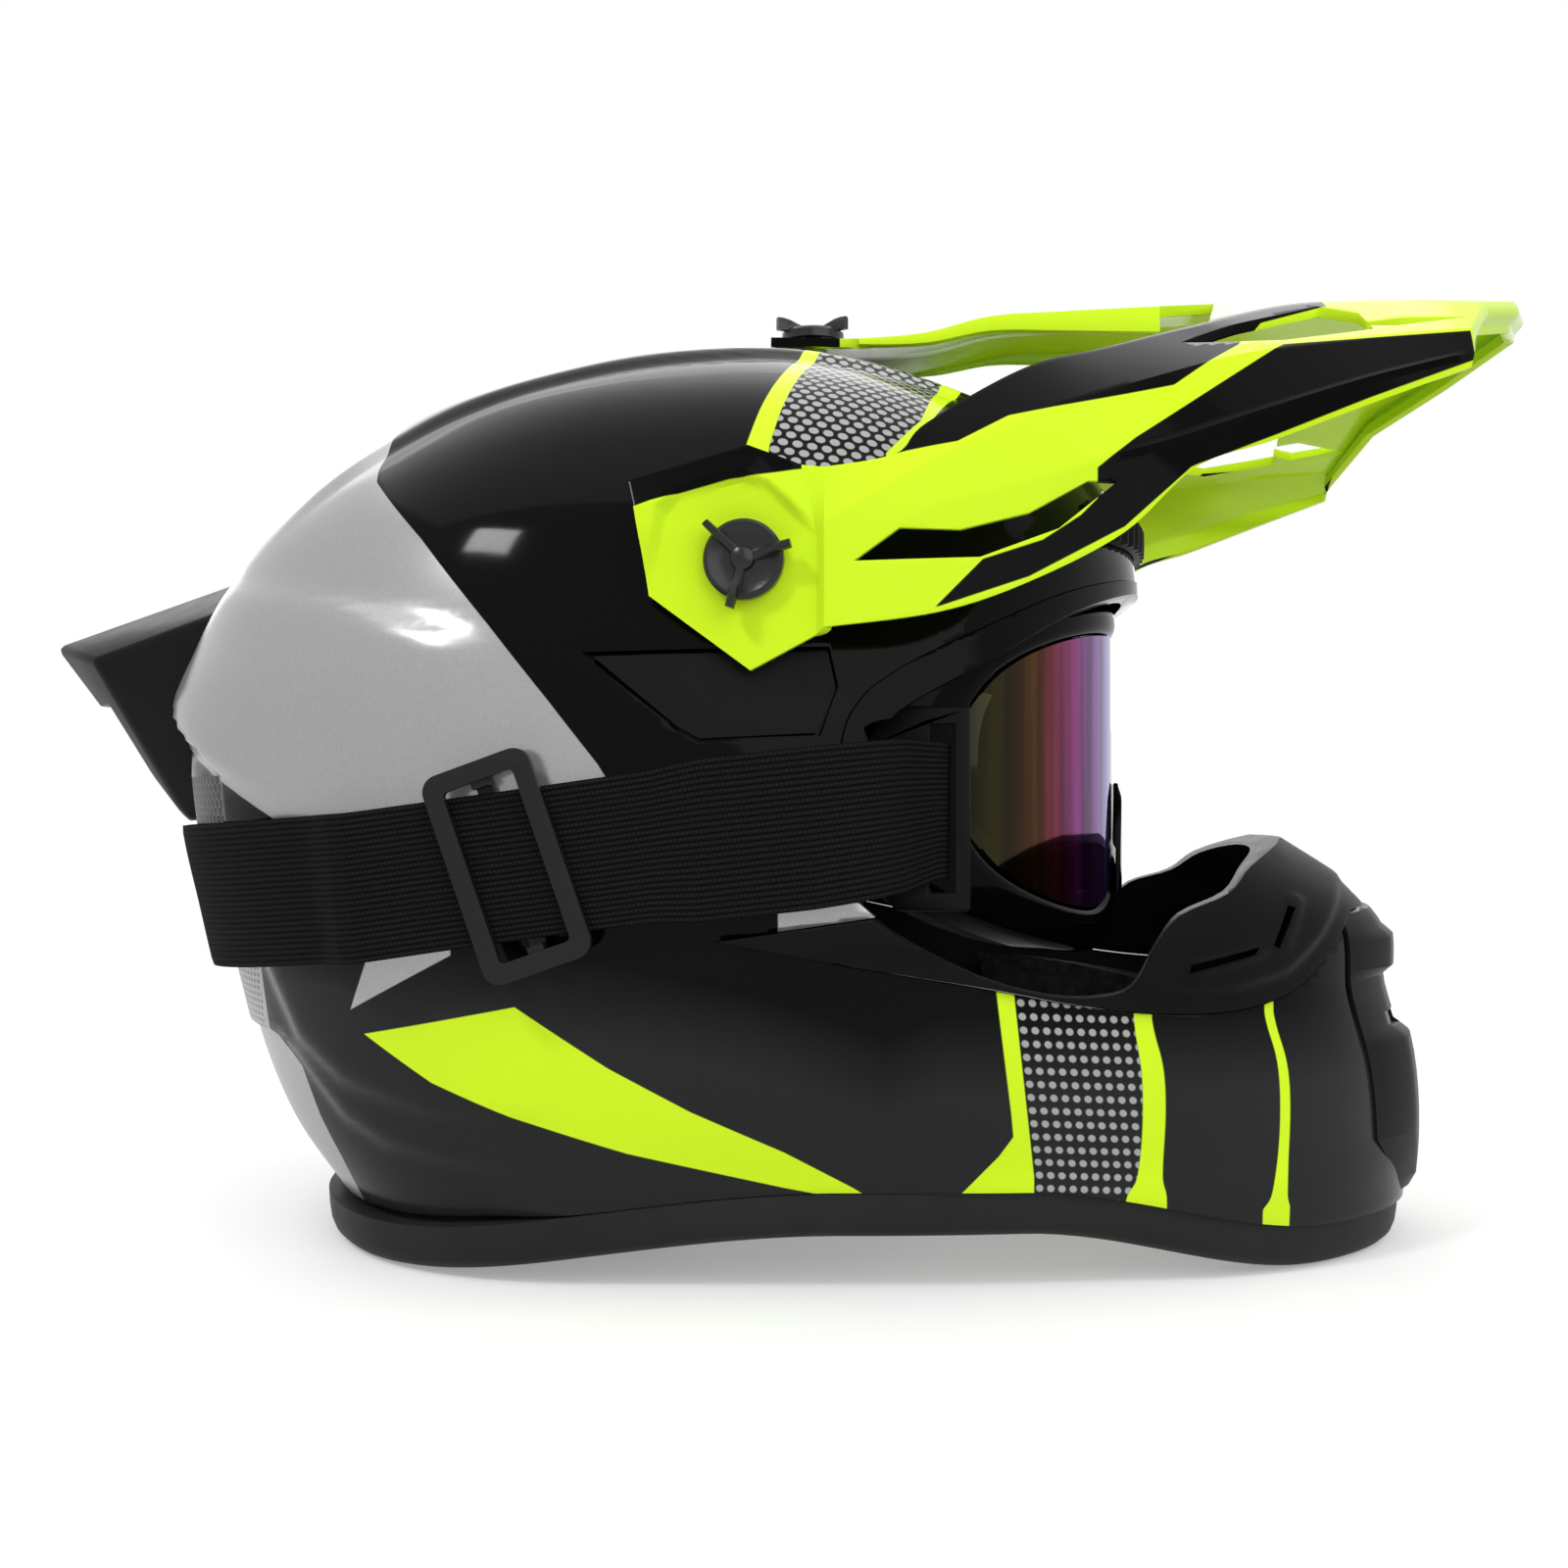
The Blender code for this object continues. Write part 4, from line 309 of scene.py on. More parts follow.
NOSE_PLATE_TOP = (0.85, 1.0)
NOSE_PLATE_THINNING = 0.8
NOSE_PLATE_SINK = 0.0010
GOGGLE_STEPS = 180
OUTRIGGER_WALL = 0.0042
OUTRIGGER_EDGE = 0.0009
OUTRIGGER = ((0.0400, 0.1040), (0.0478, 0.0940), (0.0660, 0.0940), (0.0660, 0.1440), (0.0452, 0.1440),
             (0.0400, 0.1340))
OUTRIGGER_SLOT = ((0.0560, 0.0985), (0.0620, 0.0985), (0.0620, 0.1395), (0.0560, 0.1395))

# Strap and its slider
STRAP_STANDOFF = 0.0018
STRAP_END_X = 0.0575
STRAP_LEAVES_X = 0.0430
STRAP_TUCK = 0.0040
STRAP_HOOK = 0.00054
STRAP_SEAT = 0.0009
STRAP_HEIGHTS = ((0.0575, 0.1180), (0.030, 0.1145), (-0.004, 0.1108), (-0.078, 0.1004),
                 (-0.120, 0.0970), (-0.180, 0.0930))
STRAP_WIDTHS = ((0.0575, 0.0330), (0.050, 0.0365), (0.030, 0.0380), (0.004, 0.0380),
                (-0.008, 0.0355), (-0.078, 0.0355), (-0.120, 0.0370), (-0.180, 0.0400))
STRAP_FLAT_X = (-0.094, -0.078, -0.004, 0.014)
STRAP_FLAT_Y = 0.1206
STRAP_ACROSS = 20
STRAP_SIDE_STEPS = 48
STRAP_NAPE_STEPS = 40
STRAP_RIBS = 13
STRAP_RIB_RISE = 0.00022
WEB_WALL = 0.0018
SLIDER_X = -0.0410
SLIDER_LENGTH = 0.0270
SLIDER_HEIGHT = 0.0515
SLIDER_BAR = 0.0046
SLIDER_WALL = 0.0022
SLIDER_CORNER = 0.0042
SLIDER_INNER_CORNER = 0.00126
SLIDER_TILT = math.radians(19.5)
SLIDER_CENTRE = (0.0040, 0.0014)
SLIDER_POST = 0.0016
SLIDER_CLEARANCE = 0.0004

# Soft goods inside
LINER_SEAT = 0.0283
LINER_WALL = 0.0070
LINER_HEIGHT = 0.106
LINER_LEVELS = 44
LINER_TURNS = 72
LINER_TOP = 0.05
LINER_SEAM = 0.55
LINER_SEAM_WIDTH = 0.35
LINER_MIDDLE = 0.6
# Channels of the crown lining: to a half turn, and levels from one to the next
LINER_CHANNELS = (4.0, 3.0)
FACE_OPENING = ((0.018, -0.050), (0.300, -0.050), (0.300, 0.200), (0.113, 0.194),
                (0.0650, 0.1780), (0.0460, 0.1700), (0.0330, 0.1620), (0.0230, 0.1520),
                (0.0180, 0.1380))
PAD_SEAT = 0.0290
CHEEK_TURNS = (math.radians(75.5), math.radians(114.5))
CHEEK_HEIGHTS = (0.0420, 0.0960)
CHEEK_DEPTH = (0.0070, 0.0160)
NECK_TURNS = (math.radians(132.0), math.radians(228.0))
NECK_HEIGHTS = (0.0220, 0.0940)
NECK_DEPTH = (0.0035, 0.0050)
PAD_VOXEL = 0.004
PAD_PRESSURE = 4.0
PAD_FRAMES = 16
PAD_QUALITY = 5
PAD_SWELL = 0.0016
WEB_WIDTH = 0.0220
WEB_X = -0.0050
WEB_SEAT = 0.0022
WEB_ANCHOR_Z = 0.0500
WEB_BEND_Z = 0.0330
WEB_ROUTE = ((0.0, 0.0150), (0.030, 0.0160), (0.055, 0.0200), (0.078, 0.0285))
WEB_STACK = 0.0024
WEB_ENDS = {1: (-0.0520, WEB_STACK), -1: (-0.0100, 0.0)}
RIVET_RADIUS = 0.0050
RIVET_HEAD = 0.0020
RIVET_STEP = 0.0004
RIVET_PLACE = 0.4
RING_WIRE = 0.0017
RING_PLACES = (-0.0200, -0.0265)
RING_HALF = (0.0145, 0.0047)
RING_SIDES = 16
RING_CORNER = 0.8

# Camera, floor and light
CAMERA_PLACE = (0.0731, -0.52, 0.1212)
CAMERA_TURN = (math.radians(90.51), 0.0, math.radians(7.05))
CAMERA_LENS = 40.05
SENSOR_WIDTH = 36.0
FLOOR_HALF = 8.0
FLOOR_TONES = ((0.81, 0.81, 0.81), (0.83, 0.83, 0.83))
FLOOR_FADE = (0.30, 0.75)
FLOOR_LIFT = 0.30
WORLD_LIFT = 0.46
# Lamps: name, place, target, size and power
LAMPS = (
    ("overhead", (0.0, 0.10, 1.35), (0.0, 0.0, 0.15), (2.2, 1.8), 10.7),
    ("front", (0.80, -1.05, 0.75), (0.05, 0.0, 0.16), (1.5, 1.3), 9.4),
    ("window", (-0.58, -0.83, 1.00), (0.0, 0.0, 0.17), (0.20, 0.13), 4.5),
    ("behind", (-0.3, 1.25, 0.75), (0.0, 0.0, 0.15), (1.6, 1.2), 7.0),
)

# Colours, linear
GLOSS_BLACK = (0.0022, 0.0020, 0.0019)
# Satin black of the lower sides; its lighter value is a painted sheen of the satin finish
SATIN_BLACK_PAINTED_SHEEN = (0.0225, 0.0225, 0.0228)
COVER_BLACK = (0.0085, 0.0085, 0.0088)
RUBBER_BLACK = (0.0055, 0.0055, 0.0058)
TRIM_BLACK = (0.0160, 0.0160, 0.0166)
WEB_BLACK = (0.0040, 0.0040, 0.0042)
NEON = (0.680, 0.980, 0.022)
SILVER = (0.376, 0.376, 0.383)
DOT_GREY = (0.400, 0.400, 0.400)
FOAM_BLACK = (0.0200, 0.0200, 0.0215)
# Tints of the lens from its middle to its ends: coating colours, whose darkening towards the ends is
# painted reflection of dark surroundings
LENS_TINTS_WITH_PAINTED_REFLECTION = ((0.0, (0.10, 0.10, 0.36)), (0.42, (0.17, 0.07, 0.34)), (0.56, (0.22, 0.03, 0.20)),
              (0.68, (0.20, 0.03, 0.05)), (0.77, (0.11, 0.04, 0.010)), (0.88, (0.030, 0.026, 0.007)),
              (1.0, (0.012, 0.012, 0.006)))
# Neon sweep along the side: span of x, lower and upper edge
NEON_SWEEP = (
    (-0.0828, 0.0480),
    ((-0.0828, 0.0633), (-0.0646, 0.0521), (-0.0448, 0.0442), (-0.0165, 0.0355), (0.0210, 0.0269),
     (0.0480, 0.0215)),
    ((-0.0828, 0.0633), (-0.0419, 0.0716), (-0.0199, 0.0570), (-0.0004, 0.0462), (0.0214, 0.0361),
     (0.0376, 0.0269), (0.0480, 0.0200)),
)
# Neon bands over the chin bar and hoops over the crown: x by height of the rear and front edges
CHIN_BANDS = (
    (((0.0200, 0.0585), (0.0262, 0.0647), (0.0347, 0.0728), (0.0397, 0.0763), (0.0455, 0.0758),
      (0.0760, 0.0722)),
     ((0.0180, 0.0813), (0.0292, 0.0813), (0.0454, 0.0796), (0.0760, 0.0763)), 'VECTOR'),
    (((0.0180, 0.1030), (0.0236, 0.1041), (0.0295, 0.1067), (0.0445, 0.1076), (0.0682, 0.1052)),
     ((0.0180, 0.1140), (0.0226, 0.1139), (0.0291, 0.1128), (0.0442, 0.1132), (0.0680, 0.1096)),
     'AUTO_CLAMPED'),
    (((0.0180, 0.1387), (0.0233, 0.1412), (0.0423, 0.1428), (0.0680, 0.1386)),
     ((0.0180, 0.1459), (0.0229, 0.1451), (0.0420, 0.1455), (0.0680, 0.1410)), 'AUTO_CLAMPED'),
)
CROWN_HOOPS = (
    (((0.2088, 0.0110), (0.2200, 0.0132), (0.2459, 0.0195), (0.2534, 0.0212)),
     ((0.2088, 0.0166), (0.2200, 0.0184), (0.2476, 0.0242), (0.2534, 0.0258)), 'VECTOR'),
    (((0.2080, 0.0450), (0.2190, 0.0531), (0.2373, 0.0573), (0.2534, 0.0600)),
     ((0.2080, 0.0480), (0.2190, 0.0556), (0.2373, 0.0640), (0.2534, 0.0670)), 'VECTOR'),
)
# Black fin, side panel and arm of the visor: span of x, lower and upper edge
VISOR_PANELS = (
    ((0.0485, 0.1580),
     ((0.0430, 0.2010), (0.0515, 0.2031), (0.0634, 0.2053), (0.0753, 0.2121), (0.0963, 0.2165),
      (0.1146, 0.2204), (0.1311, 0.2326), (0.1400, 0.2440), (0.1560, 0.2500)),
     ((0.0430, 0.2150), (0.0825, 0.2300), (0.1157, 0.2430), (0.1313, 0.2485), (0.1580, 0.2560))),
    ((0.0960, 0.1842),
     ((0.0960, 0.1900), (0.1202, 0.2010), (0.1380, 0.2075), (0.1600, 0.2160), (0.1850, 0.2250)),
     ((0.0960, 0.1992), (0.1051, 0.2068), (0.1415, 0.2316), (0.1850, 0.2326))),
    ((0.0581, 0.1230),
     ((0.0560, 0.1655), (0.0593, 0.1660), (0.0800, 0.1733), (0.1024, 0.1855), (0.1197, 0.2014),
      (0.1250, 0.2030)),
     ((0.0581, 0.1656), (0.0693, 0.1772), (0.0832, 0.1820), (0.0921, 0.1880), (0.0999, 0.1960),
      (0.1250, 0.2080))),
)


# Numbers and curves

def smooth_step(value, low, high):
    share = min(max((value - low) / (high - low), 0.0), 1.0)
    return share * share * (3.0 - 2.0 * share)


def spread(first, last, count):
    return [first + (last - first) * index / (count - 1) for index in range(count)]


def along(rows, place):
    """Piecewise linear reading of (place, value) rows."""
    ordered = sorted(rows)
    if place <= ordered[0][0]:
        return ordered[0][1]
    for (low, first), (high, second) in zip(ordered, ordered[1:]):
        if place <= high:
            return first + (second - first) * (place - low) / (high - low)
    return ordered[-1][1]


def catmull(a, b, c, d, share):
    slope_in, slope_out = 0.5 * (c - a), 0.5 * (d - b)
    cube = 2.0 * b - 2.0 * c + slope_in + slope_out
    square = -3.0 * b + 3.0 * c - 2.0 * slope_in - slope_out
    return b + share * (slope_in + share * (square + share * cube))


def path_through(points, counts, corner=0):
    """Open curve through points, with a count of steps for each span; straight up to the corner."""
    rows = [Vector(point) for point in points]
    result = []
    for index, count in enumerate(counts):
        first, second = rows[index], rows[index + 1]
        before, after = rows[max(index - 1, corner)], rows[min(index + 2, len(rows) - 1)]
        for step in range(count):
            if index < corner:
                result.append(first.lerp(second, step / count))
            else:
                result.append(catmull(before, first, second, after, step / count))
    return result + [rows[-1]]


def smooth_path(points, steps):
    return path_through(points, [steps] * (len(points) - 1))


def full_turn(count):
    return [2.0 * math.pi * index / count for index in range(count)]


def even(count):
    return [index / count for index in range(count + 1)]


def stepped(corners, count):
    """Values from corner to corner, each span cut at a count of places."""
    result = []
    for low, high in zip(corners, corners[1:]):
        result += spread(low, high, count)[:-1]
    return result + [corners[-1]]


def bisect(low, high, before):
    """The place between low and high up to which a test holds."""
    for _ in range(40):
        middle = 0.5 * (low + high)
        if before(middle):
            low = middle
        else:
            high = middle
    return 0.5 * (low + high)


def signed_power(value, power):
    return math.copysign(abs(value) ** power, value)


def line_distance(points, x, z):
    """Distance from a place to an open side-view line, positive above it."""
    place = Vector((x, z))
    best, sign = 1.0, 1.0
    for first, second in zip(points, points[1:]):
        start, step = Vector(first), Vector(second) - Vector(first)
        share = min(max((place - start).dot(step) / step.length_squared, 0.0), 1.0)
        offset = place - start - step * share
        if offset.length < best:
            best = offset.length
            sign = 1.0 if step.x * (z - first[1]) - step.y * (x - first[0]) > 0.0 else -1.0
    return best * sign


def outside_distance(outline, x, z):
    """How far a place lies outside an outline; negative inside."""
    inside = False
    for (x0, z0), (x1, z1) in zip(outline, outline[1:] + outline[:1]):
        if (z0 > z) != (z1 > z) and x < x0 + (x1 - x0) * (z - z0) / (z1 - z0):
            inside = not inside
    reach = abs(line_distance(outline + outline[:1], x, z))
    return -reach if inside else reach


# The shell's surface

TOP_LEVEL = float(len(STATIONS))


def section_row(index):
    last = len(STATIONS)
    if index < 0:
        return tuple(2.0 * a - b for a, b in zip(STATIONS[0], STATIONS[1]))
    if index < last:
        return STATIONS[index]
    if index == last:
        return (CROWN_HEIGHT, CROWN_X, CROWN_X, 0.0)
    height, front, rear, half = STATIONS[2 * last - index]
    return (height, 2.0 * CROWN_X - front, 2.0 * CROWN_X - rear, -half)


def section_at(level):
    index = min(int(math.floor(level)), int(TOP_LEVEL) - 1)
    rows = [section_row(index + step) for step in (-1, 0, 1, 2)]
    return [catmull(a, b, c, d, level - index) for a, b, c, d in zip(*rows)]


def level_at(height):
    return bisect(0.0, TOP_LEVEL, lambda level: section_at(level)[0] < height)


def rim_arch(x):
    return ARCH_RISE * smooth_step(x, *ARCH_REAR) * (1.0 - smooth_step(x, *ARCH_FRONT))


def skin_point(level, turn):
    """Point of the shell's outer surface; turn 0 is the front and a quarter turn the left."""
    height, front, rear, half = section_at(level)
    blend = smooth_step(height, STATIONS[DOME_STATION][0], CROWN_HEIGHT)
    middle = WIDEST_X + (CROWN_X - WIDEST_X) * blend
    across = signed_power(math.cos(turn), SECTION_POWER)
    reach = front - middle if across > 0.0 else middle - rear
    x = middle + reach * across
    y = half * signed_power(math.sin(turn), SECTION_POWER)
    fade = 1.0 - smooth_step(height, STATIONS[0][0], STATIONS[0][0] + ARCH_FADE)
    shoulder = along(RIDGE_LINE, x)
    band = 1.0 - smooth_step(abs(y), shoulder - RIDGE_SHOULDER, shoulder)
    rise = RIDGE_RISE * (band - 1.0) * smooth_step(height, *RIDGE_FADE)
    return Vector((x, y, height + rim_arch(x) * fade + rise))


def skin_normal(level, turn):
    if level > TOP_LEVEL - NUDGE:
        return Vector((0.0, 0.0, 1.0))
    sideways = skin_point(level, turn + NUDGE) - skin_point(level, turn - NUDGE)
    upward = skin_point(level + NUDGE, turn) - skin_point(level - NUDGE, turn)
    return sideways.cross(upward).normalized()


def helmet_point(level, turn, offset=0.0):
    return skin_point(level, turn) + skin_normal(level, turn) * offset


def turn_at_x(level, x, side):
    return side * bisect(FRONT, REAR, lambda turn: skin_point(level, turn).x > x)


def side_wall(x, z):
    """Half width of the shell at a place in side view."""
    level = bisect(0.0, TOP_LEVEL - 1.0, lambda place: skin_point(place, turn_at_x(place, x, 1)).z < z)
    return skin_point(level, turn_at_x(level, x, 1)).y


def panel_flare(turn, z):
    """Lift of the rear panels over the channel that they leave at the back."""
    swing = abs(math.degrees(math.remainder(turn, 2.0 * math.pi)))
    foot = along(PANEL_FOOT, swing)
    lift = along(PANEL_RISE, z) * smooth_step(z, foot, foot + PANEL_STEP)
    lift *= smooth_step(swing, PANEL_START, PANEL_TRAIL)
    return lift * (1.0 - smooth_step(swing, PANEL_TRAIL, PANEL_TRAIL + PANEL_EDGE))


def relief(x, z, turn):
    """Sculpted depth of the shell: swept steps, a bowl in the cheek, rear panels and rim flare."""
    depth = panel_flare(turn, z)
    depth += RIM_FLARE * smooth_step(x, *RIM_FLARE_X) * (1.0 - smooth_step(z, *RIM_FLARE_Z))
    for line, height, half, behind, ahead, below in SWEEPS:
        fade = smooth_step(x, *behind) * (1.0 - smooth_step(x, *ahead)) * smooth_step(z, *below)
        if fade > 0.0 and z < line[0][1] + half:
            depth -= height * fade * (1.0 - smooth_step(line_distance(line, x, z), -half, half))
    u = (x - BOWL_CENTRE[0]) / BOWL_HALF[0]
    v = (z - BOWL_CENTRE[1]) / BOWL_HALF[1]
    reach = u * u + v * v
    if reach < 1.0:
        depth -= BOWL_DEPTH * (1.0 - reach) ** 2
    return depth


# Meshes

@contextmanager
def edited(mesh):
    """A mesh open for changes, which are written back at the end."""
    work = bmesh.new()
    work.from_mesh(mesh)
    yield work
    work.to_mesh(mesh)
    work.free()


def mesh_of(name, points, faces, weld=True):
    mesh = bpy.data.meshes.new(name)
    mesh.from_pydata([tuple(point) for point in points], [], faces)
    with edited(mesh) as work:
        if weld:
            bmesh.ops.remove_doubles(work, verts=work.verts, dist=WELD)
        bmesh.ops.recalc_face_normals(work, faces=work.faces)
        if work.calc_volume(signed=True) < 0.0:
            bmesh.ops.reverse_faces(work, faces=work.faces)
    return mesh


def flat(grid):
    return [point for row in grid for point in row]


def grid_faces(rows, cols, start=0, wrap=False, closed=False):
    """Faces over a grid of points; wrap joins each row's ends, closed the last row to the first."""
    faces = []
    for row in range(rows if closed else rows - 1):
        low, high = start + row * cols, start + (row + 1) % rows * cols
        for col in range(cols if wrap else cols - 1):
            after = (col + 1) % cols
            faces.append((low + col, low + after, high + after, high + col))
    return faces


def fan_faces(start, count, tip):
    return [(start + index, start + (index + 1) % count, tip) for index in range(count)]


def slab_mesh(name, outer, inner):
    """Closed slab between two like grids of points, given row by row."""
    rows, cols = len(outer), len(outer[0])
    second = rows * cols
    faces = grid_faces(rows, cols)
    faces += [tuple(reversed(face)) for face in grid_faces(rows, cols, second)]
    border = [(0, col) for col in range(cols)]
    border += [(row, cols - 1) for row in range(1, rows)]
    border += [(rows - 1, col) for col in range(cols - 2, -1, -1)]
    border += [(row, 0) for row in range(rows - 2, 0, -1)]
    for (row_a, col_a), (row_b, col_b) in zip(border, border[1:] + border[:1]):
        first, following = row_a * cols + col_a, row_b * cols + col_b
        faces.append((following, first, second + first, second + following))
    return mesh_of(name, flat(outer) + flat(inner), faces, weld=False)


def loop_mesh(name, rings):
    """Closed loop solid from the rings of section points at each step round it."""
    return mesh_of(name, flat(rings), grid_faces(len(rings), len(rings[0]), wrap=True, closed=True))


def skin_mesh(name, levels, turn_count, offset, shaped):
    """Open dome that follows the shell at an offset, with its sculpted relief if asked for."""
    points = []
    for level in levels:
        for turn in full_turn(turn_count):
            point = skin_point(level, turn)
            depth = offset + (relief(point.x, point.z, turn) if shaped else 0.0)
            points.append(point + skin_normal(level, turn) * depth)
    points.append(helmet_point(TOP_LEVEL, FRONT, offset))
    faces = grid_faces(len(levels), turn_count, wrap=True)
    faces += fan_faces((len(levels) - 1) * turn_count, turn_count, len(points) - 1)
    return mesh_of(name, points, faces, weld=False)


def patch_mesh(name, heights, turns, outer, inner):
    """Slab over part of the shell; outer and inner give its offsets at shares (u, v)."""
    levels = [level_at(height) for height in heights]
    grids = []
    for rule in (outer, inner):
        grid = []
        for row, level in enumerate(levels):
            v = row / (len(levels) - 1)
            grid.append([helmet_point(level, turn, rule(col / (len(turns) - 1), v))
                         for col, turn in enumerate(turns)])
        grids.append(grid)
    return slab_mesh(name, *grids)


def constant(value):
    return lambda u, v: value


def pillow(u, v):
    return (1.0 - (2.0 * u - 1.0) ** 4) * (1.0 - (2.0 * v - 1.0) ** 4)


def inset_outline(outline, distances):
    """Outline moved inward by a distance at each point, for one that runs anticlockwise."""
    points = [Vector(point) for point in outline]
    result = []
    for index, point in enumerate(points):
        before = (point - points[index - 1]).normalized()
        after = (points[(index + 1) % len(points)] - point).normalized()
        normal = Vector((-before.y - after.y, before.x + after.x))
        result.append(point + normal * distances[index] / max(MITRE, 0.5 * normal.length_squared))
    return result


TO_SIDE = Matrix.Rotation(math.pi / 2, 4, 'X')
TO_FRONT = Matrix(((0, 0, 1, 0), (1, 0, 0, 0), (0, 1, 0, 0), (0, 0, 0, 1)))
TO_PLAN = Matrix.Identity(4)
ALONG_Y = Vector((0.0, 1.0, 0.0))


def outline_mesh(name, outlines, half_depth, facing, shift=(0.0, 0.0, 0.0)):
    """Solid of flat outlines, extruded both ways; inner outlines are holes."""
    curve = bpy.data.curves.new(name, 'CURVE')
    curve.dimensions = '2D'
    curve.fill_mode = 'BOTH'
    curve.extrude = half_depth
    for outline in outlines:
        spline = curve.splines.new('POLY')
        spline.points.add(len(outline) - 1)
        for point, place in zip(spline.points, outline):
            point.co = (place[0], place[1], 0.0, 1.0)
        spline.use_cyclic_u = True
    source = new_object(curve)
    graph = bpy.context.evaluated_depsgraph_get()
    mesh = bpy.data.meshes.new_from_object(source.evaluated_get(graph))
    mesh.name = name
    bpy.data.objects.remove(source, do_unlink=True)
    with edited(mesh) as work:
        bmesh.ops.remove_doubles(work, verts=work.verts, dist=WELD)
        bmesh.ops.transform(work, matrix=Matrix.Translation(shift) @ facing, verts=work.verts)
        bmesh.ops.recalc_face_normals(work, faces=work.faces)
    return mesh


def lathe_mesh(name, profile, matrix, sides_count):
    """Round solid from (radius, height) rows, closed at both ends."""
    points = []
    for radius, height in profile:
        for angle in full_turn(sides_count):
            points.append(matrix @ Vector((radius * math.cos(angle), radius * math.sin(angle), height)))
    faces = grid_faces(len(profile), sides_count, wrap=True)
    faces.append(tuple(range(sides_count)))
    last = (len(profile) - 1) * sides_count
    faces.append(tuple(last + index for index in range(sides_count)))
    return mesh_of(name, points, faces)


def box_mesh(name, low, high):
    low, high = Vector(low), Vector(high)
    mesh = bpy.data.meshes.new(name)
    with edited(mesh) as work:
        place = Matrix.Translation(0.5 * (low + high)) @ Matrix.Diagonal((*(high - low), 1.0))
        bmesh.ops.create_cube(work, size=1.0, matrix=place)
    return mesh


def join(name, meshes):
    result = bpy.data.meshes.new(name)
    with edited(result) as work:
        for mesh in meshes:
            work.from_mesh(mesh)
    return result


def rounded_box(half_width, half_height, radius, steps):
    result = []
    for quarter, (x, y) in enumerate(((1, 1), (-1, 1), (-1, -1), (1, -1))):
        centre = Vector((x * (half_width - radius), y * (half_height - radius)))
        for step in range(steps + 1):
            angle = math.pi / 2 * (quarter + step / steps)
            result.append(centre + radius * Vector((math.cos(angle), math.sin(angle))))
    return result


def new_object(data):
    """An object in the scene, named like its data."""
    item = bpy.data.objects.new(data.name, data)
    bpy.context.scene.collection.objects.link(item)
    return item


def add_modifier(item, kind, **values):
    modifier = item.modifiers.new(kind.lower(), kind)
    for key, value in values.items():
        setattr(modifier, key, value)
    return modifier


def settle(item):
    """Apply an object's modifiers to its mesh."""
    graph = bpy.context.evaluated_depsgraph_get()
    mesh = bpy.data.meshes.new_from_object(item.evaluated_get(graph))
    item.modifiers.clear()
    item.data = mesh


def thicken(item, wall, *looks):
    """Give a skin its wall, with one look outside and one inside."""
    for look in looks:
        item.data.materials.append(LOOKS[look])
    add_modifier(item, 'SOLIDIFY', thickness=wall, offset=-1.0, use_even_offset=True, material_offset=1)
    settle(item)


def carve(item, mesh, operation='DIFFERENCE'):
    """Cut a solid; the cut faces take the last of its looks."""
    count = len(item.data.materials)
    cutter = new_object(mesh)
    add_modifier(item, 'BOOLEAN', operation=operation, object=cutter, solver='MANIFOLD')
    settle(item)
    bpy.data.objects.remove(cutter, do_unlink=True)
    last = max(count - 1, 0)
    for face in item.data.polygons:
        face.material_index = min(face.material_index, last)
    while len(item.data.materials) > count:
        item.data.materials.pop()


def bevel(item, width, segments=3, angle=35.0):
    add_modifier(item, 'BEVEL', width=width, segments=segments, limit_method='ANGLE',
                 angle_limit=math.radians(angle), harden_normals=False)
    settle(item)


def dress(item, body, node, look, sharp=35.0):
    """Give a piece its shading and material, hang it on its body if it has one, and hide the CAD node that
    it stands for.
    """
    if not item.data.materials:
        item.data.materials.append(LOOKS[look])
    item.data.shade_smooth()
    item.data.set_sharp_from_angle(angle=math.radians(sharp))
    if body:
        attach(item, body)
    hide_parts(node)
    return item


# Materials

def shade(colour, factor):
    return tuple(factor * channel for channel in colour)


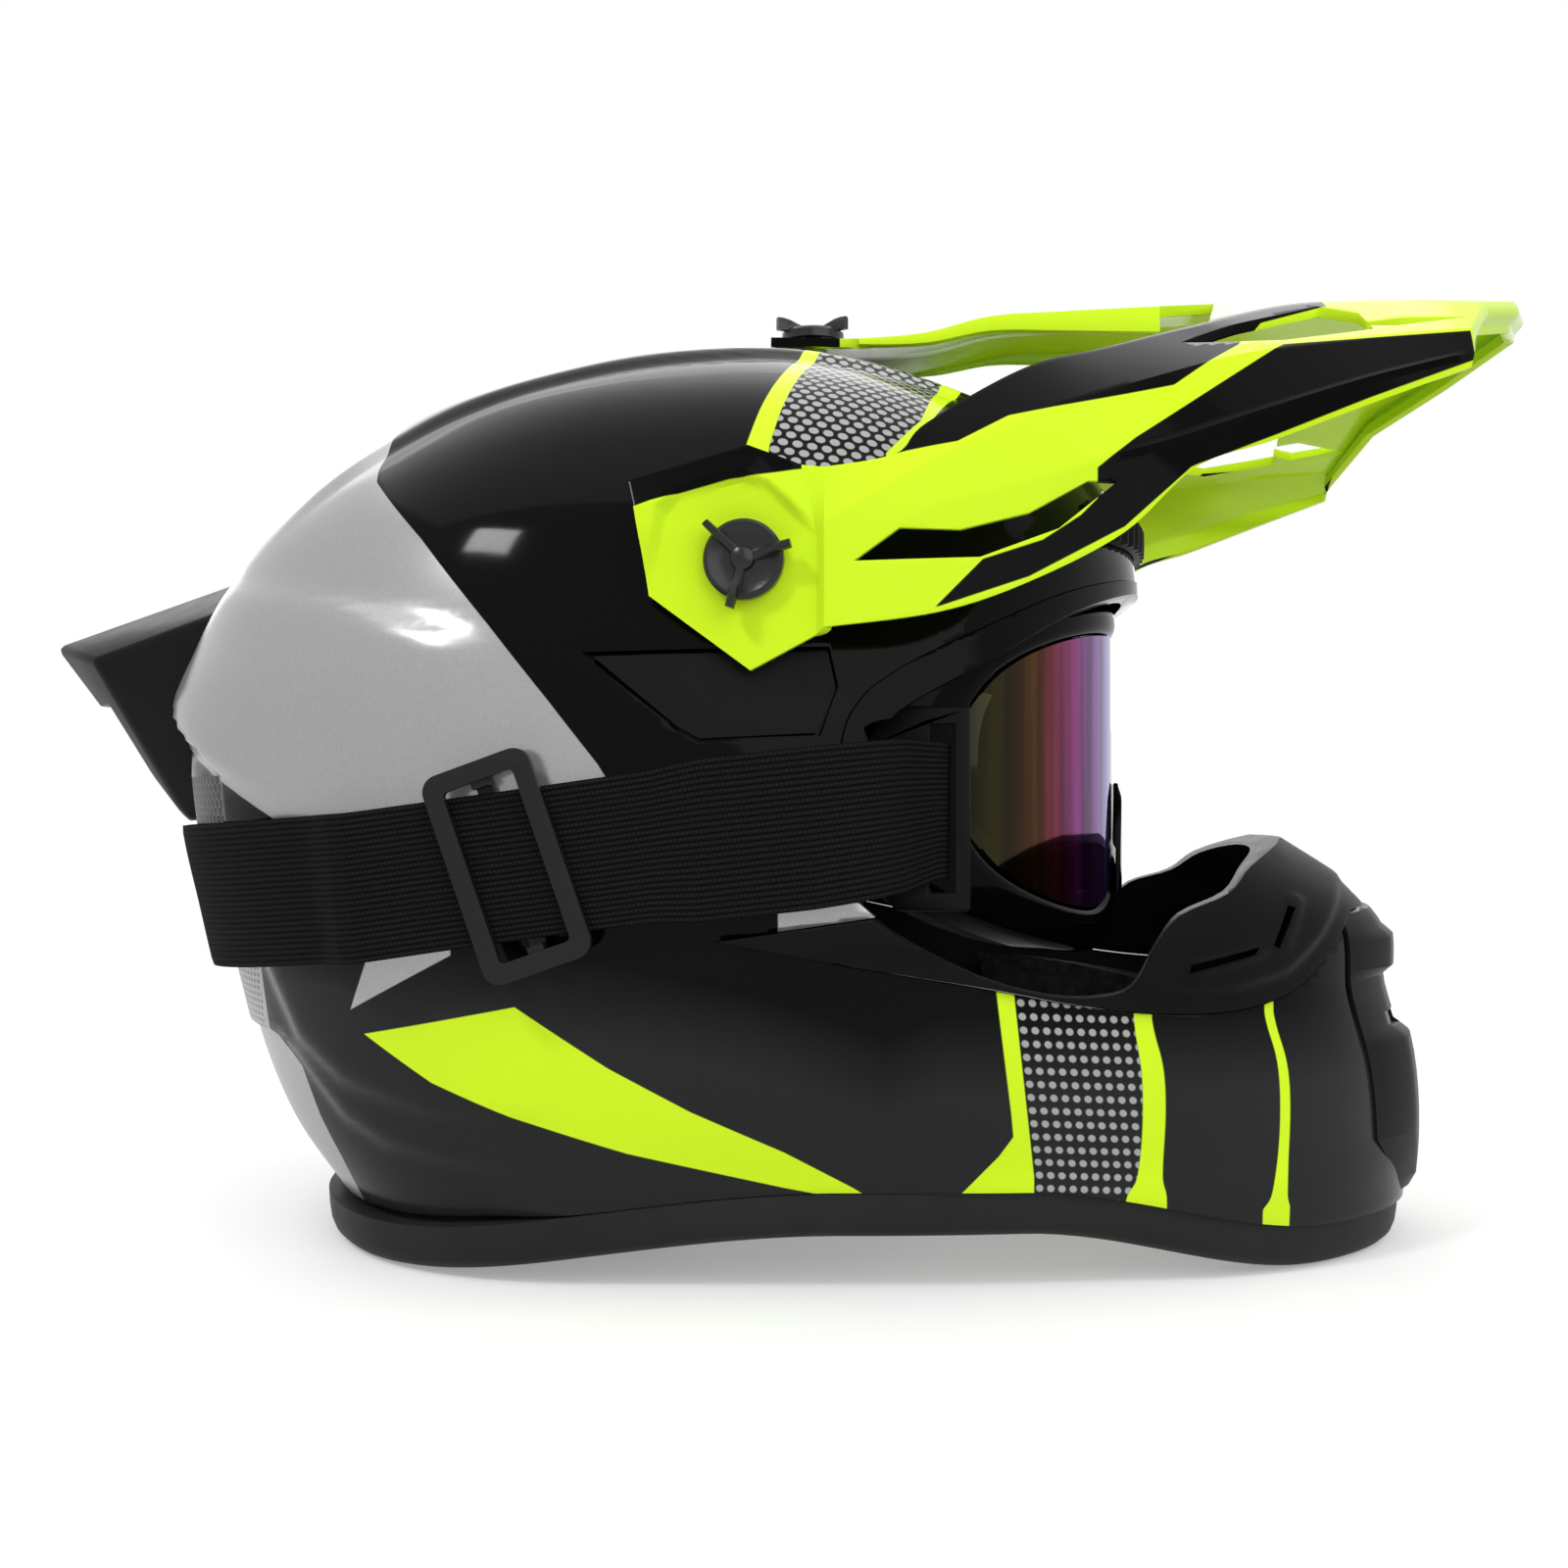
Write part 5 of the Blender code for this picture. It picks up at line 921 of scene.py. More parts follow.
class Paint:
    """A Principled material with short ways to add nodes to it."""

    def __init__(self, name, colour, roughness, metallic=0.0, specular=0.5, **values):
        self.material = bpy.data.materials.new(name)
        self.material.use_nodes = True
        self.tree = self.material.node_tree
        self.shader = self.tree.nodes["Principled BSDF"]
        self.put("Base Color", (*colour, 1.0))
        self.put("Roughness", roughness)
        self.put("Metallic", metallic)
        self.put("Specular IOR Level", specular)
        for key, value in values.items():
            self.put(key.replace("_", " ").title(), value)
        self.places = None

    def put(self, socket, value):
        self.feed(self.shader.inputs[socket], value)

    def feed(self, socket, value):
        if isinstance(value, bpy.types.NodeSocket):
            self.tree.links.new(value, socket)
        elif value is not None:
            socket.default_value = value

    def node(self, kind, **values):
        item = self.tree.nodes.new(kind)
        for key, value in values.items():
            setattr(item, key, value)
        return item

    def calc(self, operation, first, second=None, third=None, clamp=False):
        item = self.node("ShaderNodeMath", operation=operation, use_clamp=clamp)
        for socket, value in zip(item.inputs, (first, second, third)):
            self.feed(socket, value)
        return item.outputs[0]

    def coordinates(self, output="Object"):
        return self.node("ShaderNodeTexCoord").outputs[output]

    def axes(self):
        """Sockets of x, y and z in the frame's metres."""
        if self.places is None:
            item = self.node("ShaderNodeSeparateXYZ")
            self.feed(item.inputs[0], self.coordinates())
            self.places = tuple(item.outputs)
        return self.places

    def curve(self, value, points, handle='VECTOR'):
        """A value read from a line through points, broken or smooth."""
        ordered = sorted(points)
        low, high = ordered[0][0], ordered[-1][0]
        least = min(point[1] for point in ordered)
        most = max(point[1] for point in ordered)
        span = most - least if most > least else 1.0
        item = self.node("ShaderNodeFloatCurve")
        line = item.mapping.curves[0]
        for index, (place, reading) in enumerate(ordered):
            x, y = (place - low) / (high - low), (reading - least) / span
            if index < 2:
                line.points[index].location = (x, y)
            else:
                line.points.new(x, y)
        for point in line.points:
            point.handle_type = handle
        item.mapping.update()
        self.feed(item.inputs["Value"], self.share(value, low, high))
        return self.calc('MULTIPLY_ADD', item.outputs[0], span, least)

    def share(self, value, low, high):
        """A value's share of the way from low to high, held at both ends."""
        return self.calc('MULTIPLY_ADD', value, 1.0 / (high - low), -low / (high - low), clamp=True)

    def above(self, value, limit, edge=0.0003):
        """1 where a value exceeds a limit, with a soft edge."""
        over = self.calc('SUBTRACT', value, limit)
        return self.calc('MULTIPLY_ADD', over, 1.0 / edge, 0.5, clamp=True)

    def between(self, value, low, high, edge=0.0003):
        return self.calc('MULTIPLY', self.above(value, low, edge), self.above(high, value, edge))

    def area(self, span, floor, roof):
        """1 between two side-view lines, over a span of x."""
        x, _, z = self.axes()
        return self.both(self.between(z, self.curve(x, floor), self.curve(x, roof)),
                         self.between(x, *span))

    def both(self, *masks):
        return reduce(lambda first, second: self.calc('MULTIPLY', first, second), masks)

    def either(self, *masks):
        return reduce(lambda first, second: self.calc('MAXIMUM', first, second), masks)

    def blend(self, share, first, second):
        item = self.node("ShaderNodeMix", data_type='RGBA')
        self.feed(item.inputs[0], share)
        for socket, value in ((item.inputs[6], first), (item.inputs[7], second)):
            self.feed(socket, (*value, 1.0) if isinstance(value, tuple) else value)
        return item.outputs[2]

    def noise(self, scale, detail=3.0, rough=0.5, where=None):
        item = self.node("ShaderNodeTexNoise")
        self.feed(item.inputs["Vector"], where or self.coordinates())
        item.inputs["Scale"].default_value = scale
        item.inputs["Detail"].default_value = detail
        item.inputs["Roughness"].default_value = rough
        return item.outputs[0]

    def vary(self, value, low, high):
        """Share 0 to 1 spread over a range of values."""
        return self.calc('MULTIPLY_ADD', value, high - low, low)

    def bump(self, height, distance, strength=1.0):
        item = self.node("ShaderNodeBump")
        item.inputs["Strength"].default_value = strength
        item.inputs["Distance"].default_value = distance
        self.feed(item.inputs["Height"], height)
        self.put("Normal", item.outputs[0])

    def dots(self, u, v, pitch_u, pitch_v, radius, staggered):
        """Round dots on a grid over two lengths."""
        row = self.calc('DIVIDE', v, pitch_v)
        col = self.calc('DIVIDE', u, pitch_u)
        if staggered:
            odd = self.calc('MODULO', self.calc('FLOOR', row), 2.0)
            col = self.calc('MULTIPLY_ADD', odd, 0.5, col)
        across = self.calc('MULTIPLY', self.calc('SUBTRACT', self.calc('FRACT', col), 0.5), pitch_u)
        up = self.calc('MULTIPLY', self.calc('SUBTRACT', self.calc('FRACT', row), 0.5), pitch_v)
        square = self.calc('MULTIPLY_ADD', up, up, self.calc('MULTIPLY', across, across))
        return self.above(radius, self.calc('SQRT', square), 0.00025)


def moulded(name, colour, roughness, specular, grain=900.0, depth=0.00004):
    """Moulded plastic or rubber: fine grain, uneven sheen and a slight change of tone."""
    paint = Paint(name, colour, roughness, specular=specular)
    lighter = tuple(channel * 1.5 + 0.002 for channel in colour)
    paint.put("Base Color", paint.blend(paint.noise(38.0), colour, lighter))
    paint.put("Roughness", paint.vary(paint.noise(90.0, 4.0), roughness - 0.06, roughness + 0.08))
    paint.bump(paint.noise(grain, 2.0), depth, 0.6)
    return paint.material


def glossy(name, colour, roughness, specular):
    """Polished plastic with an uneven sheen."""
    paint = Paint(name, colour, roughness, specular=specular)
    paint.put("Roughness", paint.vary(paint.noise(60.0, 5.0, 0.65), roughness * 0.6, roughness * 1.7))
    return paint.material


def shell_paint():
    paint = Paint("shell_paint", GLOSS_BLACK, 0.1, specular=0.065)
    x, y, z = paint.axes()
    # Silver: the rear above the strap, a wedge below it, a strip down the nape, a sliver at the cheek
    edge = paint.curve(z, ((0.100, -0.0020), (0.1295, -0.0207), (0.1443, -0.0326), (0.1624, -0.0478),
                           (0.1853, -0.0680), (0.2029, -0.0859), (0.2071, -0.0873), (0.2534, -0.0885)))
    panel_foot = paint.curve(x, ((-0.1650, 0.1415), (-0.1550, 0.1385), (-0.0950, 0.1100),
                                 (-0.0850, 0.0980)))
    rear = paint.both(paint.above(edge, x), paint.above(z, 0.098), paint.above(z, panel_foot))
    foot = paint.curve(x, ((-0.0865, 0.0692), (-0.0577, 0.0838)))
    side_edge = paint.curve(z, ((0.0692, -0.0865), (0.0840, -0.0800)))
    wedge = paint.both(paint.above(z, foot), paint.between(x, side_edge, -0.0577), paint.above(0.100, z))
    nape = paint.curve(z, ((0.0120, -0.0950), (0.0185, -0.0968), (0.0270, -0.0992), (0.0386, -0.1045),
                           (0.0515, -0.1085), (0.0545, -0.1120), (0.0598, -0.1196), (0.0980, -0.1205)))
    strip = paint.both(paint.above(nape, x), paint.above(0.100, z))
    sliver = paint.both(paint.between(x, 0.0215, 0.0445), paint.above(z, paint.curve(
        x, ((0.010, 0.0858), (0.0229, 0.0874), (0.0429, 0.0912)))), paint.above(0.100, z))
    silver = paint.either(rear, wedge, strip, sliver)
    print_area = paint.both(paint.above(-0.1215, x), paint.between(z, 0.0600, 0.0785))
    print_dots = paint.both(print_area, paint.dots(y, z, 0.0021, 0.0018, 0.00065, True))
    # Neon: sweep along the side, bands over the chin bar and over the crown
    sweep = paint.area(*NEON_SWEEP)
    chin, top = paint.above(0.078, z), paint.above(z, 0.203)
    edges = [[(paint.curve(z, rear_edge, handle), paint.curve(z, front_edge, handle))
              for rear_edge, front_edge, handle in rows] for rows in (CHIN_BANDS, CROWN_HOOPS)]
    bands, hoops = (paint.both(area, paint.either(*(paint.between(x, *pair) for pair in pairs)))
                    for area, pairs in zip((chin, top), edges))
    neon = paint.either(sweep, bands, hoops)
    # Dot grids between the bands
    (_, chin_start), (chin_end, _), _ = edges[0]
    (_, top_start), (top_end, _) = edges[1]
    chin_u = paint.calc('SUBTRACT', x, chin_start)
    chin_v = paint.calc('MULTIPLY_ADD', x, 0.06, z)
    chin_dots = paint.both(chin, paint.between(x, chin_start, chin_end),
                           paint.dots(chin_u, chin_v, 0.00272, 0.00330, 0.00088, False))
    swing = paint.calc('ARCTAN2', paint.calc('ABSOLUTE', y), paint.calc('SUBTRACT', z, 0.120))
    arc = paint.calc('MULTIPLY', swing, 0.135)
    top_dots = paint.both(top, paint.between(x, top_start, top_end),
                          paint.dots(x, arc, 0.0036, 0.0031, 0.00125, True))
    dots = paint.either(chin_dots, top_dots)
    # Lower sides are satin: rougher, and painted a shade lighter than the polished upper half, a painted
    # sheen of the satin finish
    low = paint.above(paint.curve(x, ((-0.130, 0.090), (-0.030, 0.075), (0.0132, 0.0658), (0.0464, 0.0549),
                                      (0.0592, 0.0600), (0.200, 0.0600))), z, 0.02)
    flake = paint.noise(1500.0, 2.0)
    black = paint.blend(low, GLOSS_BLACK, SATIN_BLACK_PAINTED_SHEEN)
    metal = paint.blend(flake, shade(SILVER, 0.86), shade(SILVER, 1.14))
    colour = paint.blend(silver, black, metal)
    colour = paint.blend(print_dots, colour, shade(SILVER, 0.35))
    colour = paint.blend(neon, colour, NEON)
    paint.put("Base Color", paint.blend(dots, colour, DOT_GREY))
    paint.put("Metallic", paint.calc('MULTIPLY', silver, 0.55))
    gloss = paint.vary(paint.noise(45.0, 5.0, 0.6), 0.05, 0.11)
    gloss = paint.calc('MULTIPLY_ADD', low, 0.14, gloss)
    paint.put("Roughness", paint.calc('MULTIPLY_ADD', silver, 0.12, gloss))
    return paint.material


def visor_paint():
    paint = Paint("visor_paint", NEON, 0.14, specular=0.045)
    x, _, z = paint.axes()
    # Black cap on the plate, black fin, black panel along the side and down the arm
    cap = paint.both(paint.above(0.0275, x), paint.above(z, paint.curve(
        x, ((-0.0140, 0.1890), (-0.0079, 0.1911), (0.0107, 0.1958), (0.0275, 0.1980)))))
    fin, panel, arm = (paint.area(*rows) for rows in VISOR_PANELS)
    black = paint.either(cap, fin, panel, arm)
    paint.put("Base Color", paint.blend(black, NEON, GLOSS_BLACK))
    paint.put("Roughness", paint.vary(paint.noise(55.0, 5.0, 0.6), 0.07, 0.16))
    return paint.material


def silver_steel(name):
    paint = Paint(name, (0.52, 0.52, 0.53), 0.28, 1.0)
    paint.put("Roughness", paint.vary(paint.noise(300.0, 4.0), 0.18, 0.4))
    paint.bump(paint.noise(700.0), 0.00003, 0.5)
    return paint.material


def foam_beads(name):
    """Expanded foam: packed beads with dark joints."""
    paint = Paint(name, FOAM_BLACK, 0.85, specular=0.2)
    cells = paint.node("ShaderNodeTexVoronoi")
    paint.feed(cells.inputs["Vector"], paint.coordinates())
    cells.inputs["Scale"].default_value = 320.0
    paint.put("Base Color", paint.blend(cells.outputs["Distance"], shade(FOAM_BLACK, 1.9),
                                        shade(FOAM_BLACK, 0.5)))
    paint.bump(paint.calc('SUBTRACT', 1.0, cells.outputs["Distance"]), 0.0004, 0.7)
    return paint.material


def fabric(name, colour, pitch, depth):
    """Knitted cover: fine crossed waves, soft sheen and a cloudy tone, with the waves' crests painted
    lighter as a painted highlight.
    """
    paint = Paint(name, colour, 0.88, specular=0.25, sheen_weight=0.25, sheen_roughness=0.5)
    x, y, z = paint.axes()
    turn = 2.0 * math.pi / pitch
    first = paint.calc('SINE', paint.calc('MULTIPLY', paint.calc('ADD', x, z), turn))
    second = paint.calc('SINE', paint.calc('MULTIPLY', paint.calc('SUBTRACT', y, z), turn))
    knit = paint.calc('MULTIPLY_ADD', paint.calc('MULTIPLY', first, second), 0.5, 0.5)
    tone = paint.blend(paint.noise(60.0), shade(colour, 0.7), shade(colour, 1.6))
    # Crests of the knit are painted lighter: painted highlight
    paint.put("Base Color", paint.blend(knit, tone, shade(colour, 2.2)))
    paint.bump(knit, depth, 0.8)
    return paint.material


def webbing(name, ribs, pitch):
    """Woven band by its own length and width: ribs along it, threads across it, with painted shade in the
    grooves and painted highlights on the crests.
    """
    paint = Paint(name, WEB_BLACK, 0.9, specular=0.05)
    item = paint.node("ShaderNodeSeparateXYZ")
    paint.feed(item.inputs[0], paint.coordinates("UV"))
    length, across = item.outputs[0], item.outputs[1]
    turn = 2.0 * math.pi
    row = paint.calc('MULTIPLY', across, float(ribs))
    rib = paint.calc('ABSOLUTE', paint.calc('SINE', paint.calc('MULTIPLY', row, math.pi)))
    odd = paint.calc('MODULO', paint.calc('FLOOR', row), 2.0)
    step = paint.calc('MULTIPLY_ADD', odd, 0.5, paint.calc('DIVIDE', length, pitch))
    thread = paint.calc('MULTIPLY_ADD', paint.calc('SINE', paint.calc('MULTIPLY', step, turn)), 0.5, 0.5)
    height = paint.calc('MULTIPLY', rib, paint.calc('MULTIPLY_ADD', thread, 0.45, 0.55))
    # Colour follows the weave's height: painted shade in the grooves, painted highlight on the crests
    paint.put("Base Color", paint.blend(height, shade(WEB_BLACK, 0.2), shade(WEB_BLACK, 4.0)))
    paint.bump(height, 0.00045, 0.9)
    return paint.material


def open_mesh(name, pitch):
    """Pressed mesh: a grey sheet whose holes are painted near black, painted shade for the space behind
    them.
    """
    paint = Paint(name, (0.05, 0.05, 0.052), 0.4, 0.6)
    _, y, z = paint.axes()
    holes = paint.dots(y, z, pitch, 0.87 * pitch, 0.4 * pitch, True)
    # Near black in the holes is painted shade
    paint.put("Base Color", paint.blend(holes, (0.07, 0.07, 0.072), (0.001, 0.001, 0.001)))
    paint.bump(paint.calc('SUBTRACT', 1.0, holes), 0.0005, 1.0)
    return paint.material


def lens_mirror():
    """Mirror coating whose tint runs from olive through red to violet, partly coating colour and partly
    painted reflection, broken by upright dark streaks of painted reflection.
    """
    paint = Paint("lens_mirror", (0.2, 0.05, 0.3), 0.06, 0.9)
    _, y, z = paint.axes()
    upright = paint.node("ShaderNodeCombineXYZ")
    paint.feed(upright.inputs["Y"], y)
    paint.feed(upright.inputs["Z"], paint.calc('MULTIPLY', z, 0.03))
    drift = paint.noise(110.0, 3.0, 0.6, upright.outputs[0])
    side = paint.calc('MULTIPLY_ADD', paint.calc('ABSOLUTE', y), 1.0 / LENS_HALF,
                     paint.calc('MULTIPLY_ADD', drift, 0.24, -0.12), clamp=True)
    ramp = paint.node("ShaderNodeValToRGB")
    while len(ramp.color_ramp.elements) < len(LENS_TINTS_WITH_PAINTED_REFLECTION):
        ramp.color_ramp.elements.new(0.5)
    for element, (place, colour) in zip(ramp.color_ramp.elements, LENS_TINTS_WITH_PAINTED_REFLECTION):
        element.position = place
        element.color = (*colour, 1.0)
    paint.feed(ramp.inputs[0], side)
    # Upright dark streaks over the tints: painted reflection
    painted_reflection_streaks = paint.curve(paint.noise(150.0, 2.0, 0.5, upright.outputs[0]),
                          ((0.0, 0.30), (0.42, 0.42), (0.52, 0.80), (0.60, 1.0), (1.0, 1.0)))
    paint.put("Base Color", paint.blend(painted_reflection_streaks, (0.006, 0.004, 0.006), ramp.outputs[0]))
    paint.put("Roughness", paint.vary(paint.noise(40.0), 0.03, 0.08))
    return paint.material


def brass(name):
    paint = Paint(name, (0.42, 0.34, 0.18), 0.35, 1.0)
    paint.put("Roughness", paint.vary(paint.noise(400.0), 0.25, 0.45))
    return paint.material


LOOKS = {
    "shell": shell_paint(),
    "visor": visor_paint(),
    "visor_inside": glossy("visor_inside", NEON, 0.16, 0.4),
    "knob": moulded("knob_plastic", RUBBER_BLACK, 0.22, 0.35, grain=1500.0),
    "rubber": moulded("trim_rubber", TRIM_BLACK, 0.5, 0.08),
    "guard": moulded("guard_rubber", RUBBER_BLACK, 0.36, 0.03, grain=1200.0),
    "cover": moulded("cover_plastic", COVER_BLACK, 0.34, 0.04),
    "temple": moulded("temple_plastic", RUBBER_BLACK, 0.45, 0.06, grain=1600.0, depth=0.00008),
    "gloss": glossy("gloss_trim", GLOSS_BLACK, 0.12, 0.06),
    "frame": glossy("frame_plastic", GLOSS_BLACK, 0.08, 0.045),
    "lens": lens_mirror(),
    "strap": webbing("strap_elastic", STRAP_RIBS * 2, 0.0011),
    "web": webbing("chin_webbing", 14, 0.0014),
    "slider": moulded("slider_plastic", RUBBER_BLACK, 0.38, 0.2),
    "steel": silver_steel("ring_steel"),
    "beads": foam_beads("bead_foam"),
    "face_foam": fabric("face_foam", (0.012, 0.012, 0.013), 0.0012, 0.0002),
    "padding": fabric("pad_cloth", (0.016, 0.016, 0.017), 0.0016, 0.0003),
    "mesh": open_mesh("vent_mesh", 0.0024),
    "brass": brass("insert_brass"),
}


# The helmet's own pieces

def port_outline():
    rear = smooth_path(tuple(reversed(PORT_REAR)), 4)
    seam = smooth_path(GUARD_SEAM, 4)
    return [GUARD_TIP, *seam, GUARD_FRONT, PORT_BROW, *rear, GUARD_LIP[-1]]


def outline_span(outline, z):
    hits = []
    for first, second in zip(outline, [*outline[1:], outline[0]]):
        low, high = sorted((first, second), key=lambda point: point[1])
        if low[1] <= z <= high[1] and high[1] > low[1]:
            share = (z - low[1]) / (high[1] - low[1])
            hits.append(low[0] + (high[0] - low[0]) * share)
    return min(hits), max(hits)


def side_patch(name, side, outline, outer, inner):
    """Slab over one side of the shell, inside an outline in side view."""
    grids = []
    for offset in (outer, inner):
        grid = []
        for z in stepped(sorted(point[1] for point in outline), 5):
            level = level_at(z)
            first, last = outline_span(outline, z)
            turns = [turn_at_x(level, x, side) for x in spread(last, first, 25)]
            grid.append([helmet_point(level, turn, offset) for turn in turns])
        grids.append(grid)
    return slab_mesh(name, *grids)


def make_shell():
    levels = [TOP_LEVEL * index / SHELL_LEVELS for index in range(SHELL_LEVELS)]
    shell = new_object(skin_mesh("shell_skin", levels, SHELL_TURNS, 0.0, True))
    thicken(shell, SHELL_WALL, "shell", "rubber")
    cuts = [outline_mesh("port_cut", [port_outline()], THROUGH, TO_SIDE)]
    for side, name in SIDES:
        cuts.append(side_patch("temple_pocket_" + name, side, TEMPLE, SHELL_WALL, -TEMPLE_POCKET))
    cuts.append(patch_mesh("rear_pocket", spread(*REAR_MESH_HEIGHTS, 5),
                           spread(REAR - REAR_MESH_TURN, REAR + REAR_MESH_TURN, 25),
                           constant(SHELL_WALL), constant(-REAR_POCKET)))
    carve(shell, join("shell_cuts", cuts))
    bevel(shell, EDGE, 2, 55.0)
    dress(shell, "helmet", "outer_shell", "shell", 40.0)


def make_bottom_trim():
    rings = []
    for turn in full_turn(SHELL_TURNS):
        seam = skin_point(0.0, turn)
        inward = -skin_normal(0.0, turn)
        inward.z = 0.0
        inward.normalize()
        rings.append([seam + inward * inset - Vector((0.0, 0.0, drop)) for inset, drop in TRIM_SECTION])
    item = new_object(loop_mesh("rim_edging", rings))
    dress(item, "helmet", "bottom_trim", "rubber", 50.0)


def make_port_trim():
    floor = GUARD_LIP[-1][1]
    turns = spread(-PORT_TRIM_TURN, PORT_TRIM_TURN, 121)
    heights = spread(floor - SHELL_WALL, PORT_BROW[1] + SHELL_WALL, 41)
    trim = new_object(patch_mesh("port_edging", heights, turns, constant(PORT_BORDER_RISE),
                                 constant(-PORT_BORDER_WALL)))
    rear = smooth_path(tuple(reversed(PORT_REAR)), 4)
    widths = [along([(row[0], width) for row, width in zip(PORT_REAR, PORT_BORDERS)], point.x)
              for point in rear]
    outer = [(GUARD_LIP[-1][0], floor), (PORT_BROW[0], floor), PORT_BROW, *rear]
    keep = inset_outline(outer, [GAP] * len(outer))
    carve(trim, outline_mesh("border_keep", [keep], THROUGH, TO_SIDE), 'INTERSECT')
    drops = [0.0, 0.0, PORT_BORDERS[-1], *widths]
    inner = inset_outline([(GUARD_LIP[-1][0], floor - THROUGH), (PORT_BROW[0], floor - THROUGH),
                           PORT_BROW, *rear], drops)
    inner[0].x = inner[-1].x
    carve(trim, outline_mesh("border_drop", [inner], THROUGH * 1.1, TO_SIDE))
    bevel(trim, SMALL_EDGE)
    dress(trim, "helmet", "eyeport_trim", "gloss")


def guard_relief(x, z):
    """Lift of the mouth guard: a flange along the seam, a proud body, rims round its slots."""
    lift = GUARD_BODY * smooth_step(line_distance(GUARD_SEAM, x, z), *GUARD_FLANGE)
    for slot in GUARD_SLOTS:
        away = outside_distance(slot, x, z)
        lift += GUARD_SLOT_RIM * (1.0 - smooth_step(away, 0.0, GUARD_RIM_WIDTH))
    return lift


def guard_layer(name, outer, inner, keep):
    """Part of the mouth guard between two offsets; outer None means its sculpted face."""
    low = min(point[1] for point in GUARD_SEAM) - ARCH_RISE
    levels = [level_at(height) for height in spread(low, GUARD_PEAK[1] + SHELL_WALL, 80)]
    turns = spread(-GUARD_TURN, GUARD_TURN, 181)
    grids = ([], [])
    for level in levels:
        points = [skin_point(level, turn) for turn in turns]
        normals = [skin_normal(level, turn) for turn in turns]
        lifts = [GUARD_LIFT + guard_relief(point.x, point.z) if outer is None else outer
                 for point in points]
        grids[0].append([point + normal * lift for point, normal, lift in zip(points, normals, lifts)])
        grids[1].append([point + normal * inner for point, normal in zip(points, normals)])
    item = new_object(slab_mesh(name, *grids))
    carve(item, outline_mesh("guard_keep", [keep], THROUGH, TO_SIDE), 'INTERSECT')
    return item


def make_mouth_guard():
    outline = [GUARD_TIP, *smooth_path(GUARD_SEAM, 4), GUARD_FRONT, GUARD_PEAK,
               *smooth_path(GUARD_LIP, 4)]
    keep = inset_outline(outline, [GUARD_INSET] * len(outline))
    guard = guard_layer("guard_moulding", None, -GUARD_SLOT_DEPTH, keep)
    carve(guard, outline_mesh("guard_slots", GUARD_SLOTS, THROUGH, TO_SIDE))
    bevel(guard, EDGE, 2)
    back = guard_layer("guard_back", -GUARD_SLOT_DEPTH + GUARD_LAP, -GUARD_DEPTH, keep)
    guard.data = join("guard_moulding", [guard.data, back.data])
    bpy.data.objects.remove(back, do_unlink=True)
    dress(guard, "helmet", "mouth_guard", "guard")


def make_chin_cover():
    grids = ([], [])
    for height in stepped([row[0] for row in CHIN_COVER], 5):
        level, turn = level_at(height), math.radians(along(CHIN_COVER_TURNS, height))
        rise = along(CHIN_COVER, height) - CHIN_COVER_EDGE
        shares = spread(-1.0, 1.0, 61)
        lifts = [CHIN_COVER_EDGE + rise * min(1.0, (1.0 - abs(share)) / CHIN_COVER_FACET)
                 for share in shares]
        grids[0].append([helmet_point(level, turn * share, lift) for share, lift in zip(shares, lifts)])
        grids[1].append([helmet_point(level, turn * share, -CHIN_COVER_EDGE) for share in shares])
    cover = new_object(slab_mesh("chin_cover", *grids))
    slots = [CHIN_SLOT, [(-y, z) for y, z in reversed(CHIN_SLOT)]]
    place = (STATIONS[CHIN_STATION][1], 0.0, 0.0)
    carve(cover, outline_mesh("chin_slots", slots, CHIN_SLOT_DEPTH, TO_FRONT, place))
    bevel(cover, CHIN_COVER_ROUND, 2)
    dress(cover, "helmet", "chin_vent_cover", "cover", 9.0)


def make_temple_covers():
    outline = inset_outline(TEMPLE, [-TEMPLE_LAP] * len(TEMPLE))
    floor = TEMPLE_SEAT - TEMPLE_POCKET
    for side, name in SIDES:
        mesh = side_patch("temple_" + name, side, outline, floor + TEMPLE_WALL, floor)
        dress(new_object(mesh), "helmet", "temple_cover_" + name, "temple")


def make_spoiler():
    mesh = bpy.data.meshes.new("spoiler")
    with edited(mesh) as work:
        for x, y, z in SPOILER_POINTS:
            work.verts.new((x, y, z))
            work.verts.new((x, -y, z))
        result = bmesh.ops.convex_hull(work, input=work.verts)
        bmesh.ops.delete(work, geom=result["geom_interior"], context='VERTS')
        bmesh.ops.dissolve_limit(work, angle_limit=SPOILER_FLAT, verts=work.verts, edges=work.edges)
        bmesh.ops.recalc_face_normals(work, faces=work.faces)
    spoiler = new_object(mesh)
    bevel(spoiler, SPOILER_BEVEL, 4, 12.0)
    levels = [TOP_LEVEL * index / CORE_LEVELS for index in range(CORE_LEVELS)]
    core = skin_mesh("helmet_core", levels, CORE_TURNS, SPOILER_SEAT, False)
    with edited(core) as work:
        work.verts.ensure_lookup_table()
        work.faces.new([work.verts[index] for index in reversed(range(CORE_TURNS))])
        bmesh.ops.recalc_face_normals(work, faces=work.faces)
    carve(spoiler, core)
    carve(spoiler, box_mesh("spoiler_hollow", *SPOILER_HOLLOW))
    dress(spoiler, "helmet", "rear_spoiler", "cover")


def make_rear_grille():
    outer, inner = REAR_MESH_DEPTHS
    mesh = patch_mesh("rear_grille", spread(*REAR_MESH_HEIGHTS, 9),
                      spread(REAR - REAR_MESH_TURN, REAR + REAR_MESH_TURN, 61), constant(-outer),
                      constant(-inner))
    dress(new_object(mesh), "helmet", "rear_vent_mesh", "mesh")


